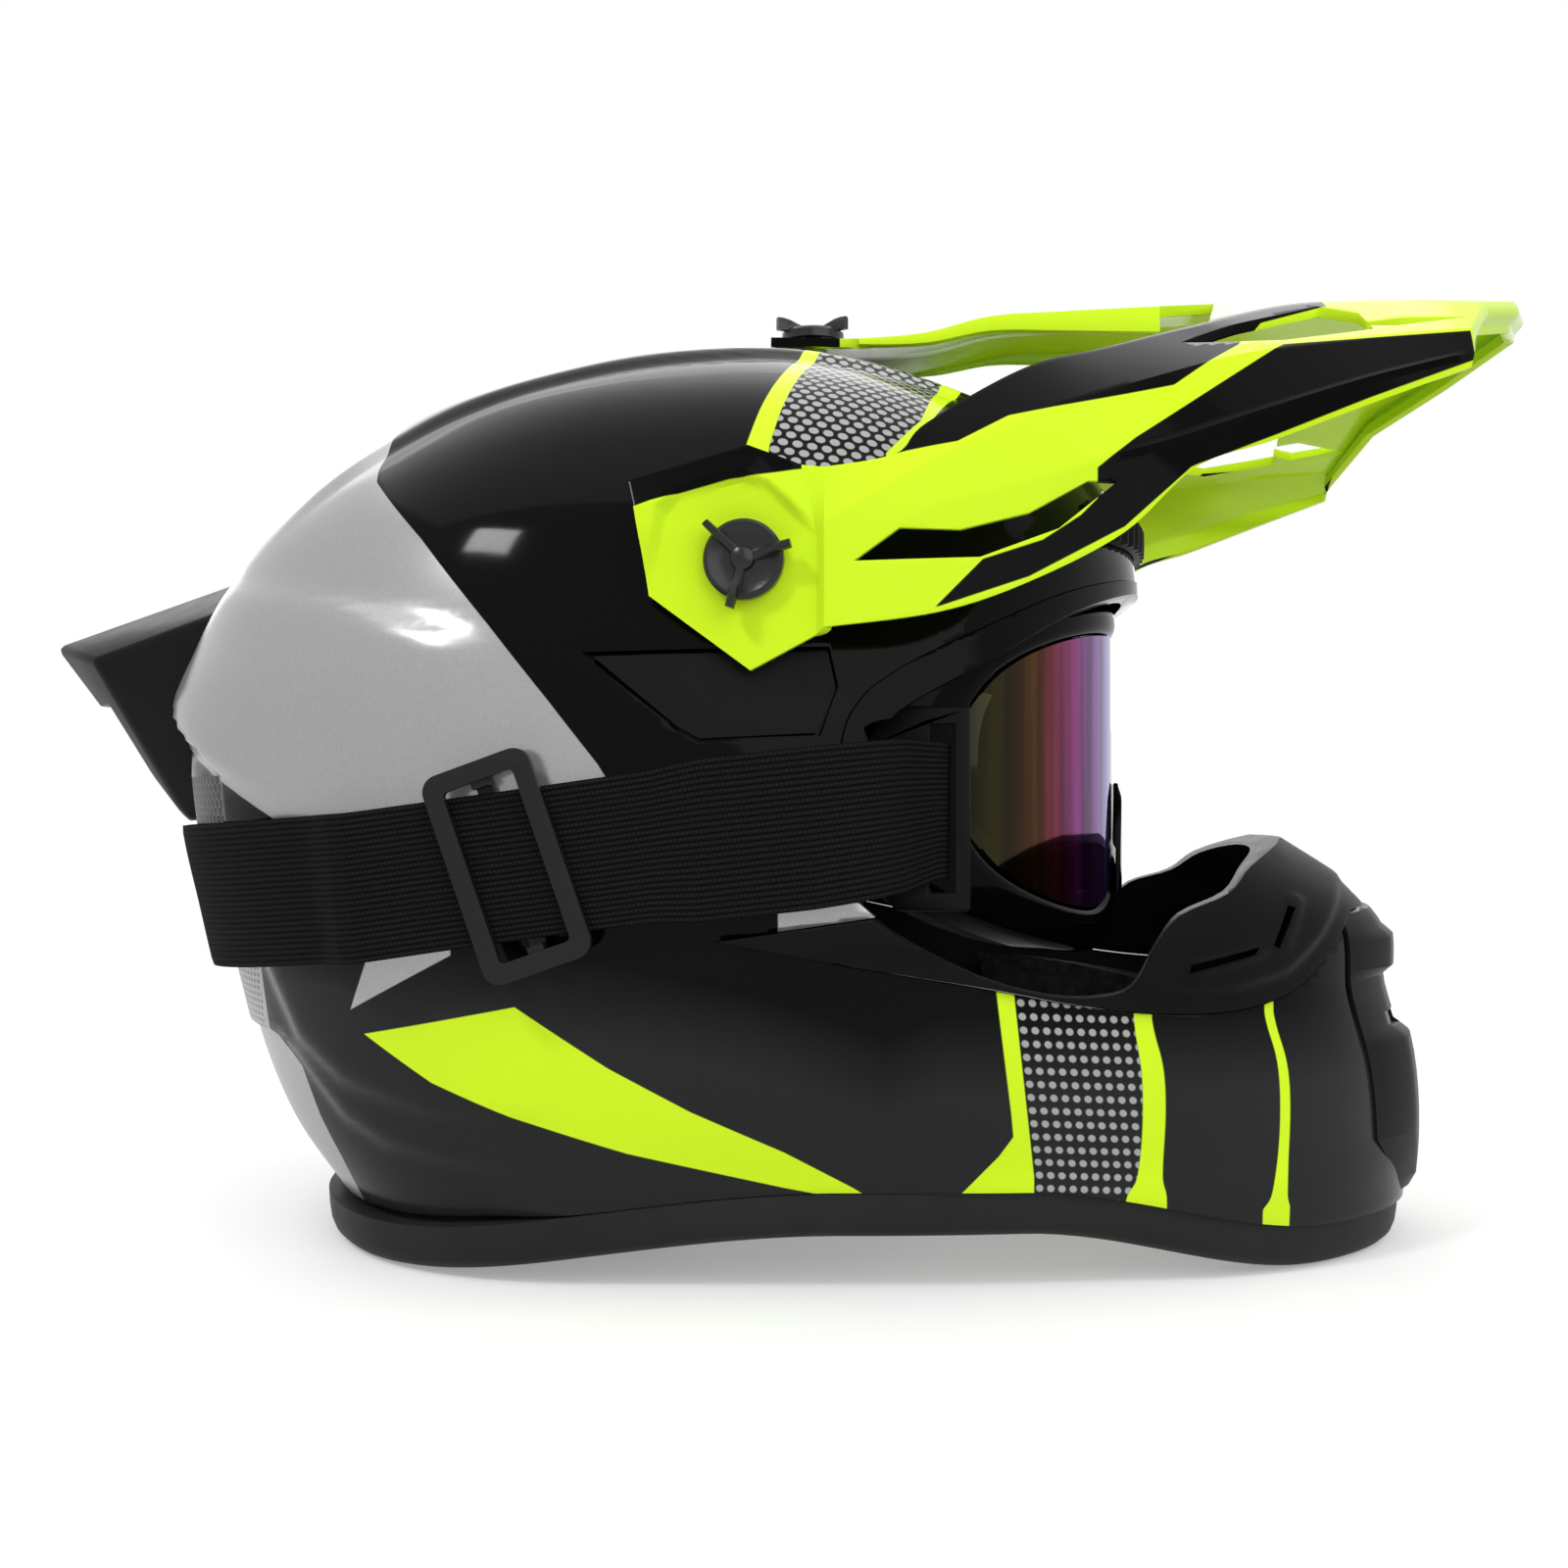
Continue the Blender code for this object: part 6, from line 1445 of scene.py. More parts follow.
def make_brow_vent():
    def face(u, v):
        rib = 0.5 - 0.5 * math.cos(2.0 * math.pi * BROW_RIBS * u)
        bulge = BROW_BORDER + (1.0 - BROW_BORDER) * (1.0 - abs(2.0 * v - 1.0))
        return GAP + BROW_RISE * bulge + BROW_RIB * rib

    mesh = patch_mesh("brow_intake", spread(*BROW_HEIGHTS, 9),
                      spread(-BROW_TURN, BROW_TURN, BROW_RIBS * 8 + 1), face, constant(GAP))
    dress(new_object(mesh), "helmet", "brow_vent", "temple", 50.0)


# Visor and its screws

def plate_shape(point):
    """Raise the plate's border round the screw's recess."""
    away = outside_distance(POCKET, point.x, point.z)
    fade = (1.0 - smooth_step(point.x, *POCKET_FADE)) * smooth_step(point.z, *POCKET_FOOT)
    return point + Vector((0.0, POCKET_RISE * fade * smooth_step(away, 0.0, POCKET_SLOPE), 0.0))


def lerp_rows(first, second, shares):
    return [[a.lerp(b, share) for a, b in zip(first, second)] for share in shares]


def bead_shape(point):
    """Push the crease along the side panel out into a narrow bead."""
    start, full, fading, end = BEAD_FADE
    weight = smooth_step(point.x, start, full) * (1.0 - smooth_step(point.x, fading, end))
    return point + BEAD_RISE * weight


def bead_share(first, second):
    return min(BEAD_MOST, BEAD_HALF / (second - first).length)


def beaded_rows(crease, border, count):
    """Rows from the crease to a border line, the first of them at the bead's foot."""
    rows = [crease]
    for share in even(count):
        rows.append([a.lerp(b, bead_share(a, b) + (1.0 - bead_share(a, b)) * share)
                     for a, b in zip(crease, border)])
    return rows


def side_rows(lines):
    """Rows of the visor's side from its lower edge to its fin, with the plate and bead shaped."""
    low, crease, edge, fin = lines
    rows = list(reversed(beaded_rows(crease, low, VISOR_STRIPS[0])))
    rows[-1] = [bead_shape(point) for point in crease]
    rows += beaded_rows(crease, edge, VISOR_STRIPS[1])[1:]
    rows += lerp_rows(edge, fin, even(VISOR_STRIPS[2]))[1:]
    plate = sum(VISOR_STEPS[:FIRST_SMOOTH])
    return [[plate_shape(point) if col < plate else point for col, point in enumerate(row)]
            for row in rows]


def rolled(line, share):
    """The front edge part of the way down its rolled lip."""
    bulge = LIP_ROLL * math.sin(math.pi * min(share * LIP_HASTE, 1.0))
    return [point + Vector((bulge - LIP_SLOPE * share, 0.0, -LIP_DROP * share)) for point in line]


def visor_half():
    """Left half of the visor as an open surface."""
    lines = [path_through(points, VISOR_STEPS, FIRST_SMOOTH)
             for points in (VISOR_LOW, VISOR_SIDE, VISOR_EDGE, VISOR_FIN)]
    crown, spine = (path_through(points, VISOR_STEPS[FIRST_BILL:]) for points in (VISOR_CROWN, VISOR_SPINE))
    for line in (lines[3], crown, spine):
        line[-1] = line[-1] - Vector((LIP_ROLL, 0.0, 0.0))
    points, faces = [], []

    def add(grid):
        start = len(points)
        points.extend(flat(grid))
        faces.extend(grid_faces(len(grid), len(grid[0]), start))

    add(side_rows(lines))
    fin = lines[3][sum(VISOR_STEPS[:FIRST_BILL]):]
    across, middle = BILL_ACROSS
    add(lerp_rows(fin, crown, even(across)))
    add(lerp_rows(crown, spine, even(middle)))
    front = [row[0] for row in lerp_rows([spine[-1]], [crown[-1]], even(middle))]
    front += [row[0] for row in lerp_rows([crown[-1]], [fin[-1]], even(across))][1:]
    side_end, edge_end = lines[1][-1], lines[2][-1]
    near = bead_share(side_end, edge_end)
    shares = [(1.0 - near) * share for share in even(VISOR_STRIPS[1])] + [1.0]
    add([rolled(front, share) for share in shares])
    corner = lerp_rows([fin[-1]], [edge_end], even(VISOR_STRIPS[2]))
    outer = [row[0] for row in corner]
    grid = []
    for share in shares:
        first = rolled([fin[-1]], share)[0]
        last = edge_end.lerp(side_end, share)
        shift = [first - outer[0], last - outer[-1]]
        count = len(outer) - 1
        grid.append([point + shift[0].lerp(shift[1], index / count)
                     for index, point in enumerate(outer)])
    add(grid)
    tongue = smooth_path([(x, 0.0, z) for x, z in TONGUE_SPINE], TONGUE_STEPS)
    rim = smooth_path([(x, TONGUE_HALF, z - TONGUE_CROWN) for x, z in TONGUE_SPINE], TONGUE_STEPS)
    add(lerp_rows(rim + crown[:1], tongue + spine[:1], even(middle)))
    start = FIRST_SKIRT * TONGUE_STEPS
    reach = TONGUE_SPINE[-1][0] - TONGUE_SPINE[0][0]
    skirt = []
    for point in rim[start:]:
        fall = TONGUE_DROP * (point.x - TONGUE_SPINE[0][0]) / reach
        skirt.append(point + Vector((0.0, TONGUE_SPREAD * fall, -fall)))
    add(lerp_rows(skirt, rim[start:], even(2)))
    mesh = bpy.data.meshes.new("visor_skin")
    mesh.from_pydata([tuple(point) for point in points], [], faces)
    with edited(mesh) as work:
        bmesh.ops.remove_doubles(work, verts=work.verts, dist=VISOR_WELD)
        bmesh.ops.recalc_face_normals(work, faces=work.faces)
        plate = [face for face in work.faces if face.calc_center_median().x < PLATE_END]
        if sum(face.normal.y for face in plate) < 0.0:
            bmesh.ops.reverse_faces(work, faces=work.faces)
    return mesh


def recess_mesh(visor, side):
    """Cutter for the shallow recess beside the bill's front corner."""
    points = []
    for x, y in BILL_RECESS:
        _, place, _, _ = visor.ray_cast((x, side * y, 2.0 * CROWN_HEIGHT), -RECESS_REACH)
        points += [place - Vector((0.0, 0.0, RECESS_DEPTH)), place + RECESS_REACH]
    return mesh_of("recess", points, [(0, 2, 4), (1, 5, 3), (0, 1, 3, 2), (2, 3, 5, 4), (4, 5, 1, 0)])


def make_visor():
    visor = new_object(visor_half())
    add_modifier(visor, 'MIRROR', use_axis=(False, True, False), merge_threshold=1e-4)
    thicken(visor, VISOR_WALL, "visor", "visor_inside")
    plan = [BILL_WINDOW, [(x, -y) for x, y in reversed(BILL_WINDOW)]]
    plan.append([(TOP_SCREW_X + x, y) for x, y in rounded_box(*TOP_SLOT, 6)])
    hole = Matrix.Translation((PIVOT[0], -THROUGH, PIVOT[1])) @ Matrix.Rotation(-math.pi / 2, 4, 'X')
    cuts = [outline_mesh("side_slot", [SIDE_SLOT], THROUGH, TO_SIDE),
            lathe_mesh("screw_holes", ((SCREW_HOLE, 0.0), (SCREW_HOLE, 2.0 * THROUGH)), hole, 24)]
    cuts += [recess_mesh(visor, side) for side, _ in SIDES]
    for mesh in cuts:
        carve(visor, mesh)
    carve(visor, outline_mesh("bill_windows", plan, 0.5 * CROWN_HEIGHT, TO_PLAN, (0.0, 0.0, CROWN_HEIGHT)))
    bevel(visor, EDGE, 2, 40.0)
    dress(visor, "visor", "visor", "visor", 32.0)


def blade_mesh(name, angle):
    """One swept blade of a screw, standing on the disc and leaning to its tip."""
    root, tip = BLADE_WIDTHS
    rows = []
    for share in spread(0.0, 1.0, 7):
        reach = BLADE_REACH * share
        lean = BLADE_LEAN * BLADE_THICK * share
        half = 0.5 * BLADE_THICK * (root + (tip - root) * share)
        top = BLADE_RISE * (BLADE_FOOT + (1.0 - BLADE_FOOT) * smooth_step(share, *BLADE_SLOPE))
        ring = [(reach, lean - half, -BLADE_ROUND), (reach, lean - half, top - BLADE_ROUND),
                (reach, lean - BLADE_FLAT * half, top), (reach, lean + BLADE_FLAT * half, top),
                (reach, lean + half, top - BLADE_ROUND), (reach, lean + half, -BLADE_ROUND)]
        turn = Matrix.Rotation(angle, 4, 'Z')
        rows.append([turn @ Vector(point) + Vector((0.0, 0.0, KNOB_DEPTH)) for point in ring])
    faces = grid_faces(len(rows), len(rows[0]), wrap=True)
    end = len(rows) * len(rows[0])
    faces += [tuple(range(len(rows[0]))), tuple(range(end - len(rows[0]), end))]
    return mesh_of(name, flat(rows), faces)


def make_knob(name, node, body, place, axis, first_blade):
    out = Vector(axis)
    ahead = Vector((1.0, 0.0, 0.0))
    matrix = Matrix.Translation(place) @ Matrix((ahead, out.cross(ahead), out)).transposed().to_4x4()
    meshes = [lathe_mesh(name + "_disc", KNOB_DISC, Matrix.Identity(4), 64),
              lathe_mesh(name + "_stem", KNOB_STEM, Matrix.Identity(4), 24)]
    meshes += [blade_mesh(name + "_blade", first_blade + angle) for angle in full_turn(BLADE_COUNT)]
    mesh = join(name, meshes)
    mesh.transform(matrix)
    dress(new_object(mesh), body, node, "knob", 40.0)


def make_knobs():
    for side, name in SIDES:
        make_knob("screw_" + name, "visor_knob_" + name, "knob_" + name,
                  (PIVOT[0], side * (PLATE_Y + GAP), PIVOT[1]), (0.0, side, 0.0), BLADE_TURN)
    make_knob("screw_top", "visor_knob_top", "knob_top", (TOP_SCREW_X, 0.0, TOP_SCREW_SEAT),
              (0.0, 0.0, 1.0), TOP_BLADE_TURN)


# Goggles

def goggle_x(y):
    return GOGGLE_FRONT_X - GOGGLE_WRAP * (abs(y) / FRAME_HALF) ** GOGGLE_WRAP_POWER


def goggle_outline(angle, half, height, middle, power):
    y = half * signed_power(math.cos(angle), power)
    z = middle + height * signed_power(math.sin(angle), power)
    if math.sin(angle) < 0.0:
        z += NOSE_RISE * math.exp(-(y / NOSE_HALF) ** 2)
    return Vector((y, z))


def goggle_point(angle, share, depth):
    outer = goggle_outline(angle, FRAME_HALF, FRAME_HEIGHT, FRAME_MIDDLE, FRAME_POWER)
    inner = goggle_outline(angle, LENS_HALF, LENS_HEIGHT, LENS_MIDDLE, LENS_POWER)
    y, z = outer.lerp(inner, share)
    return Vector((goggle_x(y) - depth, y, z))


def goggle_angles():
    return [2.0 * math.pi * (index + 0.5) / GOGGLE_STEPS for index in range(GOGGLE_STEPS)]


def goggle_ring(name, section):
    return loop_mesh(name, [[goggle_point(angle, share, depth) for share, depth in section]
                            for angle in goggle_angles()])


def make_lens():
    points, faces = [], []
    angles = goggle_angles()
    for depth in (LENS_INSET, LENS_INSET + LENS_WALL):
        start = len(points)
        for ring in range(1, LENS_RINGS + 1):
            size = ring / LENS_RINGS * LENS_FIT
            for angle in angles:
                edge = goggle_outline(angle, LENS_HALF, LENS_HEIGHT, LENS_MIDDLE, LENS_POWER)
                y, z = edge.x * size, LENS_CENTRE + (edge.y - LENS_CENTRE) * size
                points.append(Vector((goggle_x(y) - depth, y, z)))
        points.append(Vector((goggle_x(0.0) - depth, 0.0, LENS_CENTRE)))
        faces += grid_faces(LENS_RINGS, GOGGLE_STEPS, start, wrap=True)
        faces += fan_faces(start, GOGGLE_STEPS, len(points) - 1)
    second, rim = len(points) // 2, (LENS_RINGS - 1) * GOGGLE_STEPS
    for index in range(GOGGLE_STEPS):
        after = (index + 1) % GOGGLE_STEPS
        faces.append((rim + index, rim + after, second + rim + after, second + rim + index))
    lens = new_object(mesh_of("lens", points, faces))
    dress(lens, "goggles", "goggle_lens", "lens", 50.0)


def make_nose_plate():
    """Nose guard in front of the frame, its back let in over the lens."""
    grids = ([], [])
    for z in spread(*NOSE_PLATE_HEIGHTS, 25):
        share = (z - NOSE_PLATE_HEIGHTS[0]) / (NOSE_PLATE_HEIGHTS[1] - NOSE_PLATE_HEIGHTS[0])
        half = NOSE_PLATE_HALF * (1.0 - NOSE_PLATE_TAPER * share ** 2)
        over_lens = smooth_step(z, LENS_MIDDLE - LENS_HEIGHT + NOSE_RISE, LENS_MIDDLE - 0.5 * LENS_HEIGHT)
        wall = NOSE_PLATE_WALL * (1.0 - NOSE_PLATE_THINNING * smooth_step(share, *NOSE_PLATE_TOP))
        for grid, stand in zip(grids, (GAP + wall, GAP - NOSE_PLATE_SINK * over_lens)):
            grid.append([Vector((goggle_x(y) + stand, y, z)) for y in spread(-half, half, 33)])
    nose = new_object(slab_mesh("nose_plate", *grids))
    bevel(nose, SMALL_EDGE)
    dress(nose, "goggles", "goggle_nose_guard", "frame")


def make_goggles():
    rim = new_object(goggle_ring("goggle_rim", FRAME_SECTION))
    dress(rim, "goggles", "goggle_frame", "frame", 50.0)
    foam = new_object(goggle_ring("goggle_cushion", FACE_FOAM))
    dress(foam, "goggles", "goggle_foam", "face_foam", 60.0)
    make_lens()
    make_nose_plate()
    middle = FRAME_HALF + GAP + 0.5 * OUTRIGGER_WALL
    for side, name in SIDES:
        mesh = outline_mesh("outrigger_" + name, [OUTRIGGER, OUTRIGGER_SLOT], 0.5 * OUTRIGGER_WALL, TO_SIDE,
                            (0.0, side * middle, 0.0))
        item = new_object(mesh)
        bevel(item, OUTRIGGER_EDGE)
        dress(item, "goggles", "goggle_outrigger_" + name, "temple")


# Strap and slider

def strap_place(x, turn, across, side, lift):
    z = along(STRAP_HEIGHTS, x) + along(STRAP_WIDTHS, x) * (across - 0.5)
    level = level_at(z)
    if turn is None:
        turn = turn_at_x(level, x, side)
    point = helmet_point(level, turn, STRAP_STANDOFF + lift)
    leaving = smooth_step(x, STRAP_LEAVES_X, STRAP_END_X)
    point.y += (side * (FRAME_HALF + OUTRIGGER_WALL + STRAP_SEAT + lift) - point.y) * leaving
    if side < 0:
        first, second, third, fourth = STRAP_FLAT_X
        weight = smooth_step(x, first, second) * (1.0 - smooth_step(x, third, fourth))
        point.y += (-(STRAP_FLAT_Y + lift) - point.y) * weight
    return point


def strap_grid(lift, ribbed):
    """Rows across the strap; each runs from the right outrigger round the nape to the left."""
    xs = spread(STRAP_END_X, WIDEST_X, STRAP_SIDE_STEPS)
    turns = spread(LEFT, REAR, STRAP_NAPE_STEPS + 1)[1:]
    middle_level = level_at(STRAP_HEIGHTS[-2][1])
    places = [(x, None, -1) for x in xs]
    places += [(skin_point(middle_level, turn).x, -turn, -1) for turn in turns[:-1]]
    places += [(skin_point(middle_level, turn).x, turn, 1) for turn in reversed(turns)]
    places += [(x, None, 1) for x in reversed(xs)]
    grid = []
    for row in range(STRAP_ACROSS + 1):
        across = row / STRAP_ACROSS
        rise = lift - (STRAP_RIB_RISE if ribbed and row in (0, STRAP_ACROSS) else 0.0)
        line = [strap_place(x, turn, across, side, rise) for x, turn, side in places]
        ends = [point + Vector((STRAP_HOOK + lift, -side * (STRAP_TUCK + lift), 0.0))
                for point, side in ((line[0], -1), (line[-1], 1))]
        grid.append([ends[0], *line, ends[1]])
    return grid


def band_uv(mesh, grid):
    """Length along a band and share across it, for both faces of its slab."""
    rows, cols = len(grid), len(grid[0])
    middle = grid[rows // 2]
    lengths = [0.0]
    for first, second in zip(middle, middle[1:]):
        lengths.append(lengths[-1] + (second - first).length)
    layer = mesh.uv_layers.new(name="band")
    for loop in mesh.loops:
        index = loop.vertex_index % (rows * cols)
        layer.data[loop.index].uv = (lengths[index % cols], index // cols / (rows - 1))


def make_strap():
    outer = strap_grid(WEB_WALL, True)
    mesh = slab_mesh("elastic_strap", outer, strap_grid(0.0, False))
    band_uv(mesh, outer)
    strap = dress(new_object(mesh), None, "goggle_strap", "strap", 60.0)
    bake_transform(strap)


def make_slider():
    half_x, half_z = 0.5 * SLIDER_LENGTH, 0.5 * SLIDER_HEIGHT
    face = STRAP_FLAT_Y + WEB_WALL + SLIDER_CLEARANCE
    centre = Vector((SLIDER_X, 0.0, along(STRAP_HEIGHTS, SLIDER_X)))
    outer = rounded_box(half_x, half_z, SLIDER_CORNER, 8)
    inner = rounded_box(half_x - SLIDER_BAR, half_z - SLIDER_BAR, SLIDER_INNER_CORNER, 4)
    ring = new_object(outline_mesh("ring", [outer, inner], 0.5 * SLIDER_WALL, TO_SIDE,
                                   (0.0, -(face + 0.5 * SLIDER_WALL), 0.0)))
    bevel(ring, EDGE)
    back = STRAP_FLAT_Y - SLIDER_CLEARANCE
    reach = half_z - SLIDER_BAR
    half_bar = 0.5 * SLIDER_CENTRE[0]
    front = -back + SLIDER_CENTRE[1]
    bars = [ring.data, box_mesh("bar", (-half_bar, -back, -reach), (half_bar, front, reach))]
    for end in (-1, 1):
        low, high = sorted((end * (reach - SLIDER_POST), end * (reach + 0.5 * SLIDER_BAR)))
        bars.append(box_mesh("post", (-half_bar, -(face + 0.5 * SLIDER_WALL), low),
                             (half_bar, front, high)))
    mesh = join("slider_buckle", bars)
    mesh.transform(Matrix.Translation(centre) @ Matrix.Rotation(-SLIDER_TILT, 4, 'Y'))
    bpy.data.objects.remove(ring, do_unlink=True)
    dress(new_object(mesh), "slider", "strap_slider", "slider", 40.0)


# Soft goods inside

def swell(item):
    """Blow a pad up as cloth under pressure, with its points held near where they started."""
    add_modifier(item, 'REMESH', mode='VOXEL', voxel_size=PAD_VOXEL)
    settle(item)
    start = [vertex.co.copy() for vertex in item.data.vertices]
    cloth = add_modifier(item, 'CLOTH')
    cloth.settings.use_pressure = True
    cloth.settings.uniform_pressure_force = PAD_PRESSURE
    cloth.settings.effector_weights.gravity = 0.0
    cloth.settings.quality = PAD_QUALITY
    cloth.point_cache.frame_start = 1
    cloth.point_cache.frame_end = PAD_FRAMES
    scene = bpy.context.scene
    for step in range(1, PAD_FRAMES + 1):
        scene.frame_set(step)
    settle(item)
    scene.frame_set(1)
    for vertex, place in zip(item.data.vertices, start):
        shift = vertex.co - place
        if shift.length > PAD_SWELL:
            vertex.co = place + shift.normalized() * PAD_SWELL
    add_modifier(item, 'SUBSURF', levels=1, render_levels=1)
    settle(item)


def make_pad(name, node, heights, turns, depths):
    """Pad on the liner: thin at its border, swelled towards its middle."""
    edge, crown = depths
    item = new_object(patch_mesh(name, heights, turns, constant(-PAD_SEAT),
                                 lambda u, v: -PAD_SEAT - edge - crown * pillow(u, v)))
    swell(item)
    return dress(item, "helmet", node, "padding", 60.0)


def make_pads():
    for side, name in SIDES:
        turns = spread(side * CHEEK_TURNS[0], side * CHEEK_TURNS[1], 21)
        item = make_pad("cheek_cushion_" + name, "cheek_pad_" + name, spread(*CHEEK_HEIGHTS, 17), turns,
                        CHEEK_DEPTH)
    item = make_pad("nape_cushion", "neck_roll", spread(*NECK_HEIGHTS, 15), spread(*NECK_TURNS, 33),
                    NECK_DEPTH)


def make_crown_pad():
    """Crown lining with sewn channels that run fore and aft and across."""
    around, pitch = LINER_CHANNELS
    first = level_at(LINER_HEIGHT)
    levels = spread(first, TOP_LEVEL - LINER_TOP, LINER_LEVELS)
    count = LINER_TURNS
    points, faces = [], []
    for inner in (False, True):
        start = len(points)
        for level in levels:
            for turn in full_turn(count):
                depth = LINER_SEAT
                if inner:
                    across = abs(math.sin(math.pi * (level - first) / pitch))
                    seam = min(abs(math.sin(around * turn)), across)
                    swelling = smooth_step(seam, 0.0, LINER_SEAM_WIDTH)
                    depth += LINER_WALL * (LINER_SEAM + (1.0 - LINER_SEAM) * swelling)
                points.append(helmet_point(level, turn, -depth))
        tip = LINER_SEAT + (LINER_WALL * LINER_MIDDLE if inner else 0.0)
        points.append(helmet_point(TOP_LEVEL, FRONT, -tip))
        grid = grid_faces(len(levels), count, start, wrap=True)
        grid += fan_faces(start + (len(levels) - 1) * count, count, len(points) - 1)
        faces += [tuple(reversed(face)) for face in grid] if inner else grid
    second = len(points) // 2
    for index in range(count):
        after = (index + 1) % count
        faces.append((after, index, second + index, second + after))
    item = new_object(mesh_of("crown_lining", points, faces))
    carve(item, outline_mesh("face_opening", [FACE_OPENING], THROUGH, TO_SIDE))
    dress(item, "helmet", "comfort_liner", "padding", 60.0)


def anchor_y(z):
    return side_wall(WEB_X, z) - SHELL_WALL - WEB_SEAT - 0.5 * WEB_WALL


def make_chin_straps():
    for side, name in SIDES:
        end, stack = WEB_ENDS[side]
        route = [(anchor_y(WEB_ANCHOR_Z), WEB_ANCHOR_Z), (anchor_y(WEB_BEND_Z), WEB_BEND_Z)]
        route += [(y, z + stack) for y, z in reversed(WEB_ROUTE[1:])]
        if side < 0:
            route = [(-y, z) for y, z in route] + [(end, along(WEB_ROUTE, abs(end)) + stack)]
        else:
            route += [(y, along(WEB_ROUTE, abs(y)) + stack) for y in spread(0.0, end, 4)]
        path = smooth_path(route, 6)
        grids = []
        for face in (0.5, -0.5):
            grid = []
            for share in spread(-0.5, 0.5, 9):
                line = []
                for index, point in enumerate(path):
                    step = path[min(index + 1, len(path) - 1)] - path[max(index - 1, 0)]
                    normal = Vector((-step.y, step.x)).normalized() * WEB_WALL * face
                    y, z = point + normal
                    line.append(Vector((WEB_X + share * WEB_WIDTH, y, z)))
                grid.append(line)
            grids.append(grid)
        mesh = slab_mesh("retention_web_" + name, *grids)
        band_uv(mesh, grids[0])
        dress(new_object(mesh), "helmet", "chin_strap_" + name, "web", 60.0)
        make_rivet(side, name)


def make_rivet(side, name):
    top, bottom = (Vector((anchor_y(z), z)) for z in (WEB_ANCHOR_Z, WEB_BEND_Z))
    place = top.lerp(bottom, RIVET_PLACE)
    inward = Vector((bottom.y - top.y, top.x - bottom.x)).normalized()
    first = place + inward * (0.5 * WEB_WALL + GAP)
    axis = Vector((0.0, side * inward.x, inward.y))
    turned = axis.to_track_quat('Z', 'Y').to_matrix().to_4x4()
    matrix = Matrix.Translation((WEB_X, side * first.x, first.y)) @ turned
    profile = [(0.0, 0.0), (RIVET_RADIUS, 0.0), (RIVET_RADIUS, RIVET_STEP)]
    profile += [(RIVET_RADIUS * math.cos(angle), RIVET_STEP + (RIVET_HEAD - RIVET_STEP) * math.sin(angle))
                for angle in spread(0.2, math.pi / 2, 7)]
    rivet = new_object(lathe_mesh("web_rivet_" + name, profile, matrix, 40))
    dress(rivet, "helmet", "strap_rivet_" + name, "steel", 40.0)


def make_rings():
    half_x, half_z = RING_HALF
    for y, name in zip(RING_PLACES, ("outer", "inner")):
        middle = along(WEB_ROUTE, abs(y)) + 0.5 * WEB_STACK
        route = rounded_box(half_x, half_z, half_z * RING_CORNER, 8)
        rings = []
        for index, place in enumerate(route):
            step = (route[(index + 1) % len(route)] - route[index - 1]).normalized()
            normal = Vector((step.y, 0.0, -step.x))
            centre = Vector((WEB_X + place.x, y, middle + place.y))
            rings.append([centre + RING_WIRE * (normal * math.cos(angle) + ALONG_Y * math.sin(angle))
                          for angle in full_turn(RING_SIDES)])
        wire = new_object(loop_mesh("wire_ring_" + name, rings))
        dress(wire, "helmet", "d_ring_" + name, "steel", 60.0)


def keep_nodes():
    """CAD pieces that stay as they are, with worked materials."""
    for node, look in (("eps_liner", "beads"), ("chin_eps", "beads"), ("chin_vent_mesh", "mesh"),
                       ("visor_insert_left", "brass"), ("visor_insert_right", "brass"),
                       ("visor_insert_top", "brass")):
        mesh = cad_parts[node].data
        mesh.materials.clear()
        mesh.materials.append(LOOKS[look])


# Stage, light and camera

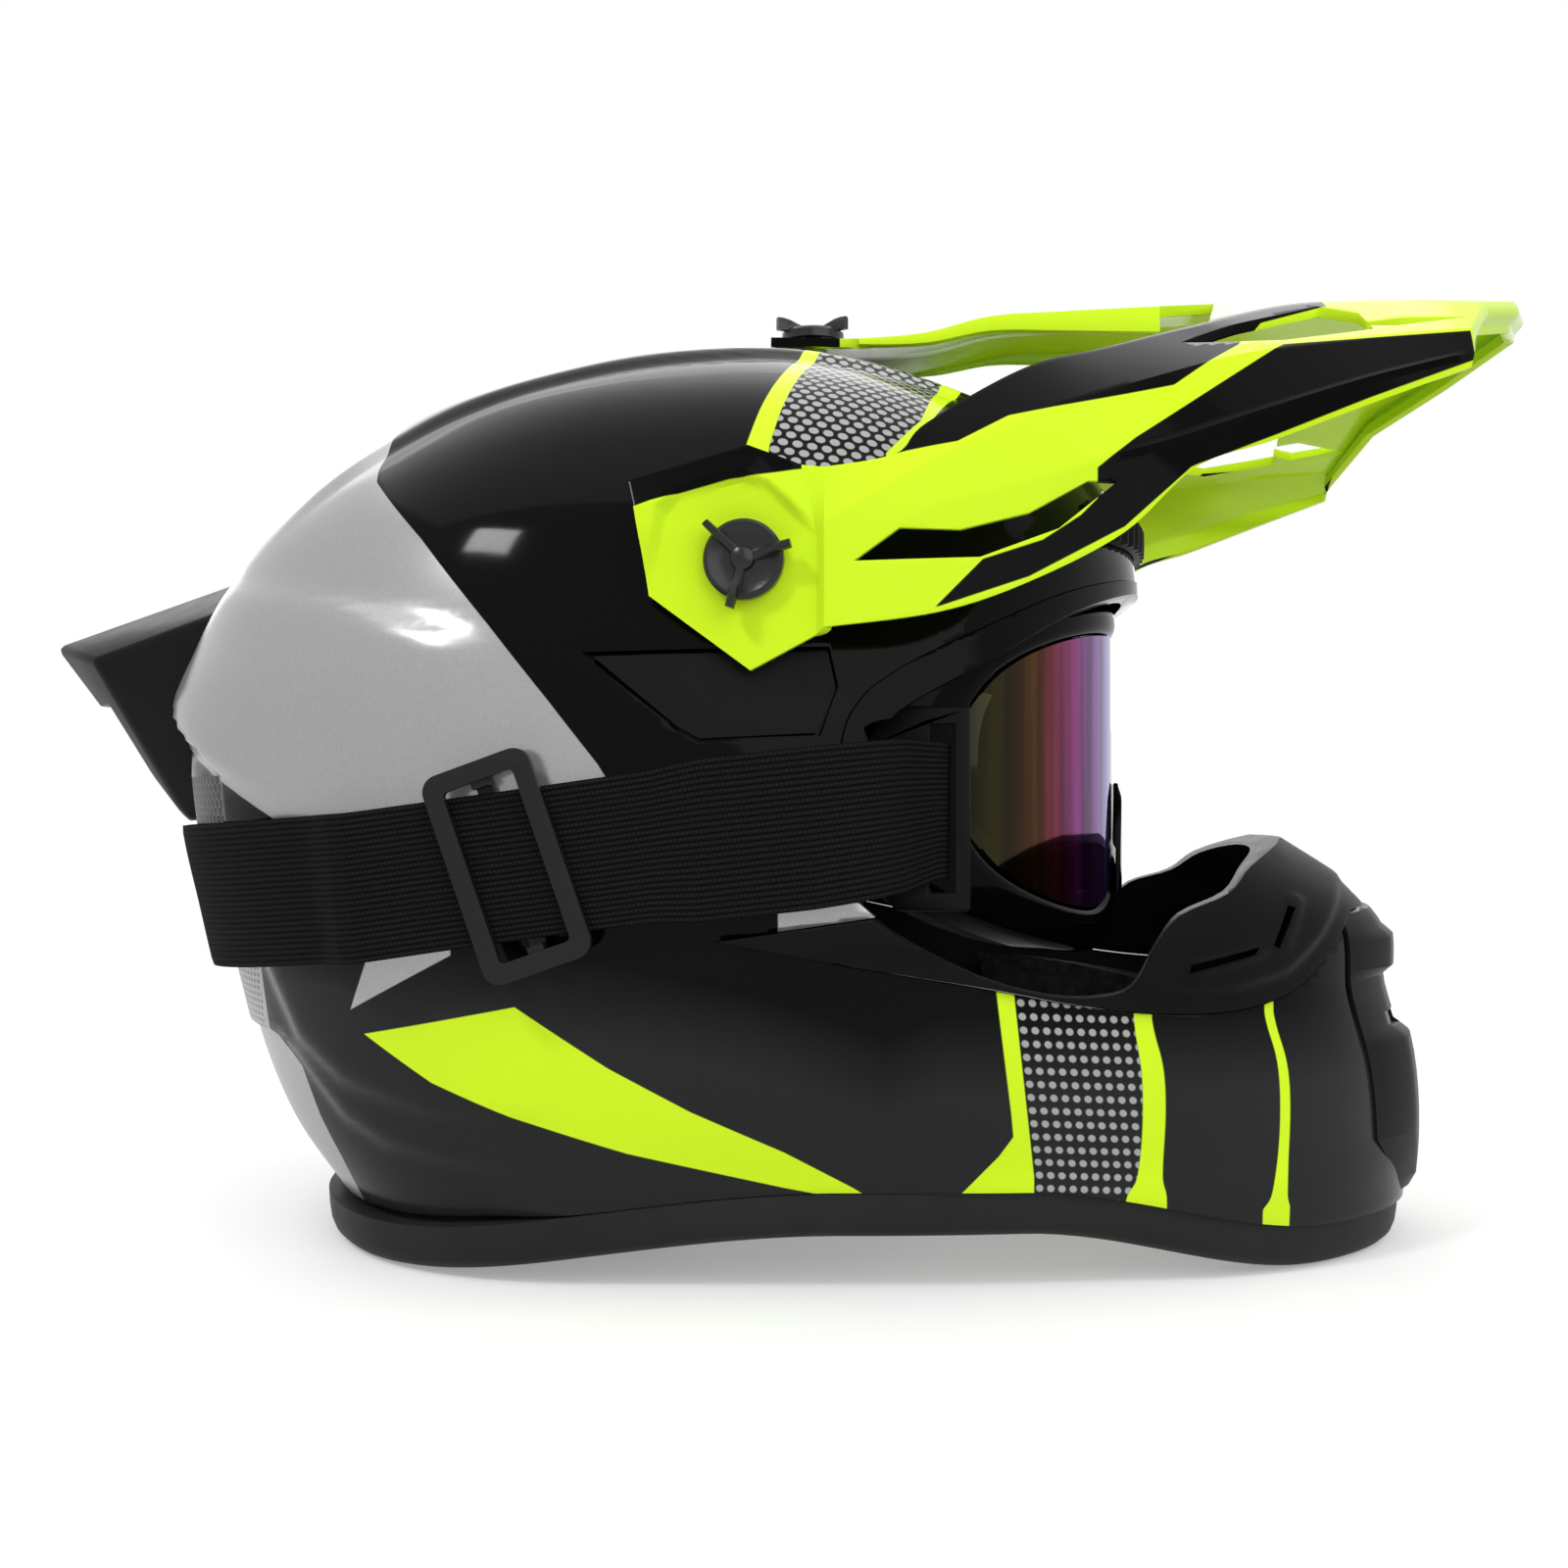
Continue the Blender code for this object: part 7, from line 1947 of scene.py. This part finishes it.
def make_floor():
    """White paper whose shading fades out away from the helmet."""
    plane = bpy.data.meshes.new("floor")
    corners = [(x * FLOOR_HALF, y * FLOOR_HALF, 0.0) for x, y in ((-1, -1), (1, -1), (1, 1), (-1, 1))]
    plane.from_pydata(corners, [], [(0, 1, 2, 3)])
    paint = Paint("floor_paper", FLOOR_TONES[0], 0.9, specular=0.0)
    x, y, _ = paint.axes()
    reach = paint.calc('SQRT', paint.calc('MULTIPLY_ADD', x, x, paint.calc('MULTIPLY', y, y)))
    far = paint.share(reach, *FLOOR_FADE)
    grain = paint.blend(paint.noise(3.0), *FLOOR_TONES)
    paint.put("Base Color", paint.blend(far, grain, (0.0, 0.0, 0.0)))
    rays = paint.node("ShaderNodeLightPath").outputs
    seen = paint.either(rays["Is Camera Ray"], rays["Is Glossy Ray"], rays["Is Transmission Ray"])
    paint.put("Emission Color", (1.0, 1.0, 1.0, 1.0))
    paint.put("Emission Strength", paint.calc('MULTIPLY', seen, paint.vary(far, FLOOR_LIFT, 1.0)))
    plane.materials.append(paint.material)
    new_object(plane)


def make_world():
    """White surroundings, dimmer as a source of light than where they are seen or mirrored."""
    world = bpy.data.worlds.new("studio")
    bpy.context.scene.world = world
    world.use_nodes = True
    nodes, links = world.node_tree.nodes, world.node_tree.links
    back = nodes["Background"]
    back.inputs["Color"].default_value = (1.0, 1.0, 1.0, 1.0)
    rays = nodes.new("ShaderNodeLightPath").outputs
    seen = rays["Is Camera Ray"]
    for kind in ("Is Glossy Ray", "Is Transmission Ray"):
        most = nodes.new("ShaderNodeMath")
        most.operation = 'MAXIMUM'
        links.new(seen, most.inputs[0])
        links.new(rays[kind], most.inputs[1])
        seen = most.outputs[0]
    level = nodes.new("ShaderNodeMapRange")
    level.inputs["To Min"].default_value = WORLD_LIFT
    level.inputs["To Max"].default_value = 1.0
    links.new(seen, level.inputs["Value"])
    links.new(level.outputs[0], back.inputs["Strength"])


def make_lights():
    for name, place, target, size, power in LAMPS:
        data = bpy.data.lights.new(name, 'AREA')
        data.shape = 'RECTANGLE'
        data.size, data.size_y = size
        data.energy = power
        lamp = new_object(data)
        lamp.location = place
        lamp.rotation_euler = (Vector(target) - Vector(place)).to_track_quat('-Z', 'Y').to_euler()


def make_camera():
    data = bpy.data.cameras.new("camera")
    data.sensor_width = SENSOR_WIDTH
    data.lens = CAMERA_LENS
    camera = new_object(data)
    camera.location = CAMERA_PLACE
    camera.rotation_euler = CAMERA_TURN
    bpy.context.scene.camera = camera


def main():
    bpy.context.scene.view_settings.view_transform = 'Standard'
    for make in (make_camera, make_floor, make_world, make_lights, make_shell, make_bottom_trim,
                 make_port_trim, make_mouth_guard, make_chin_cover, make_temple_covers, make_spoiler,
                 make_rear_grille, make_brow_vent, make_visor, make_knobs, make_goggles, make_strap,
                 make_slider, make_pads, make_crown_pad, make_chin_straps, make_rings, keep_nodes):
        make()


main()
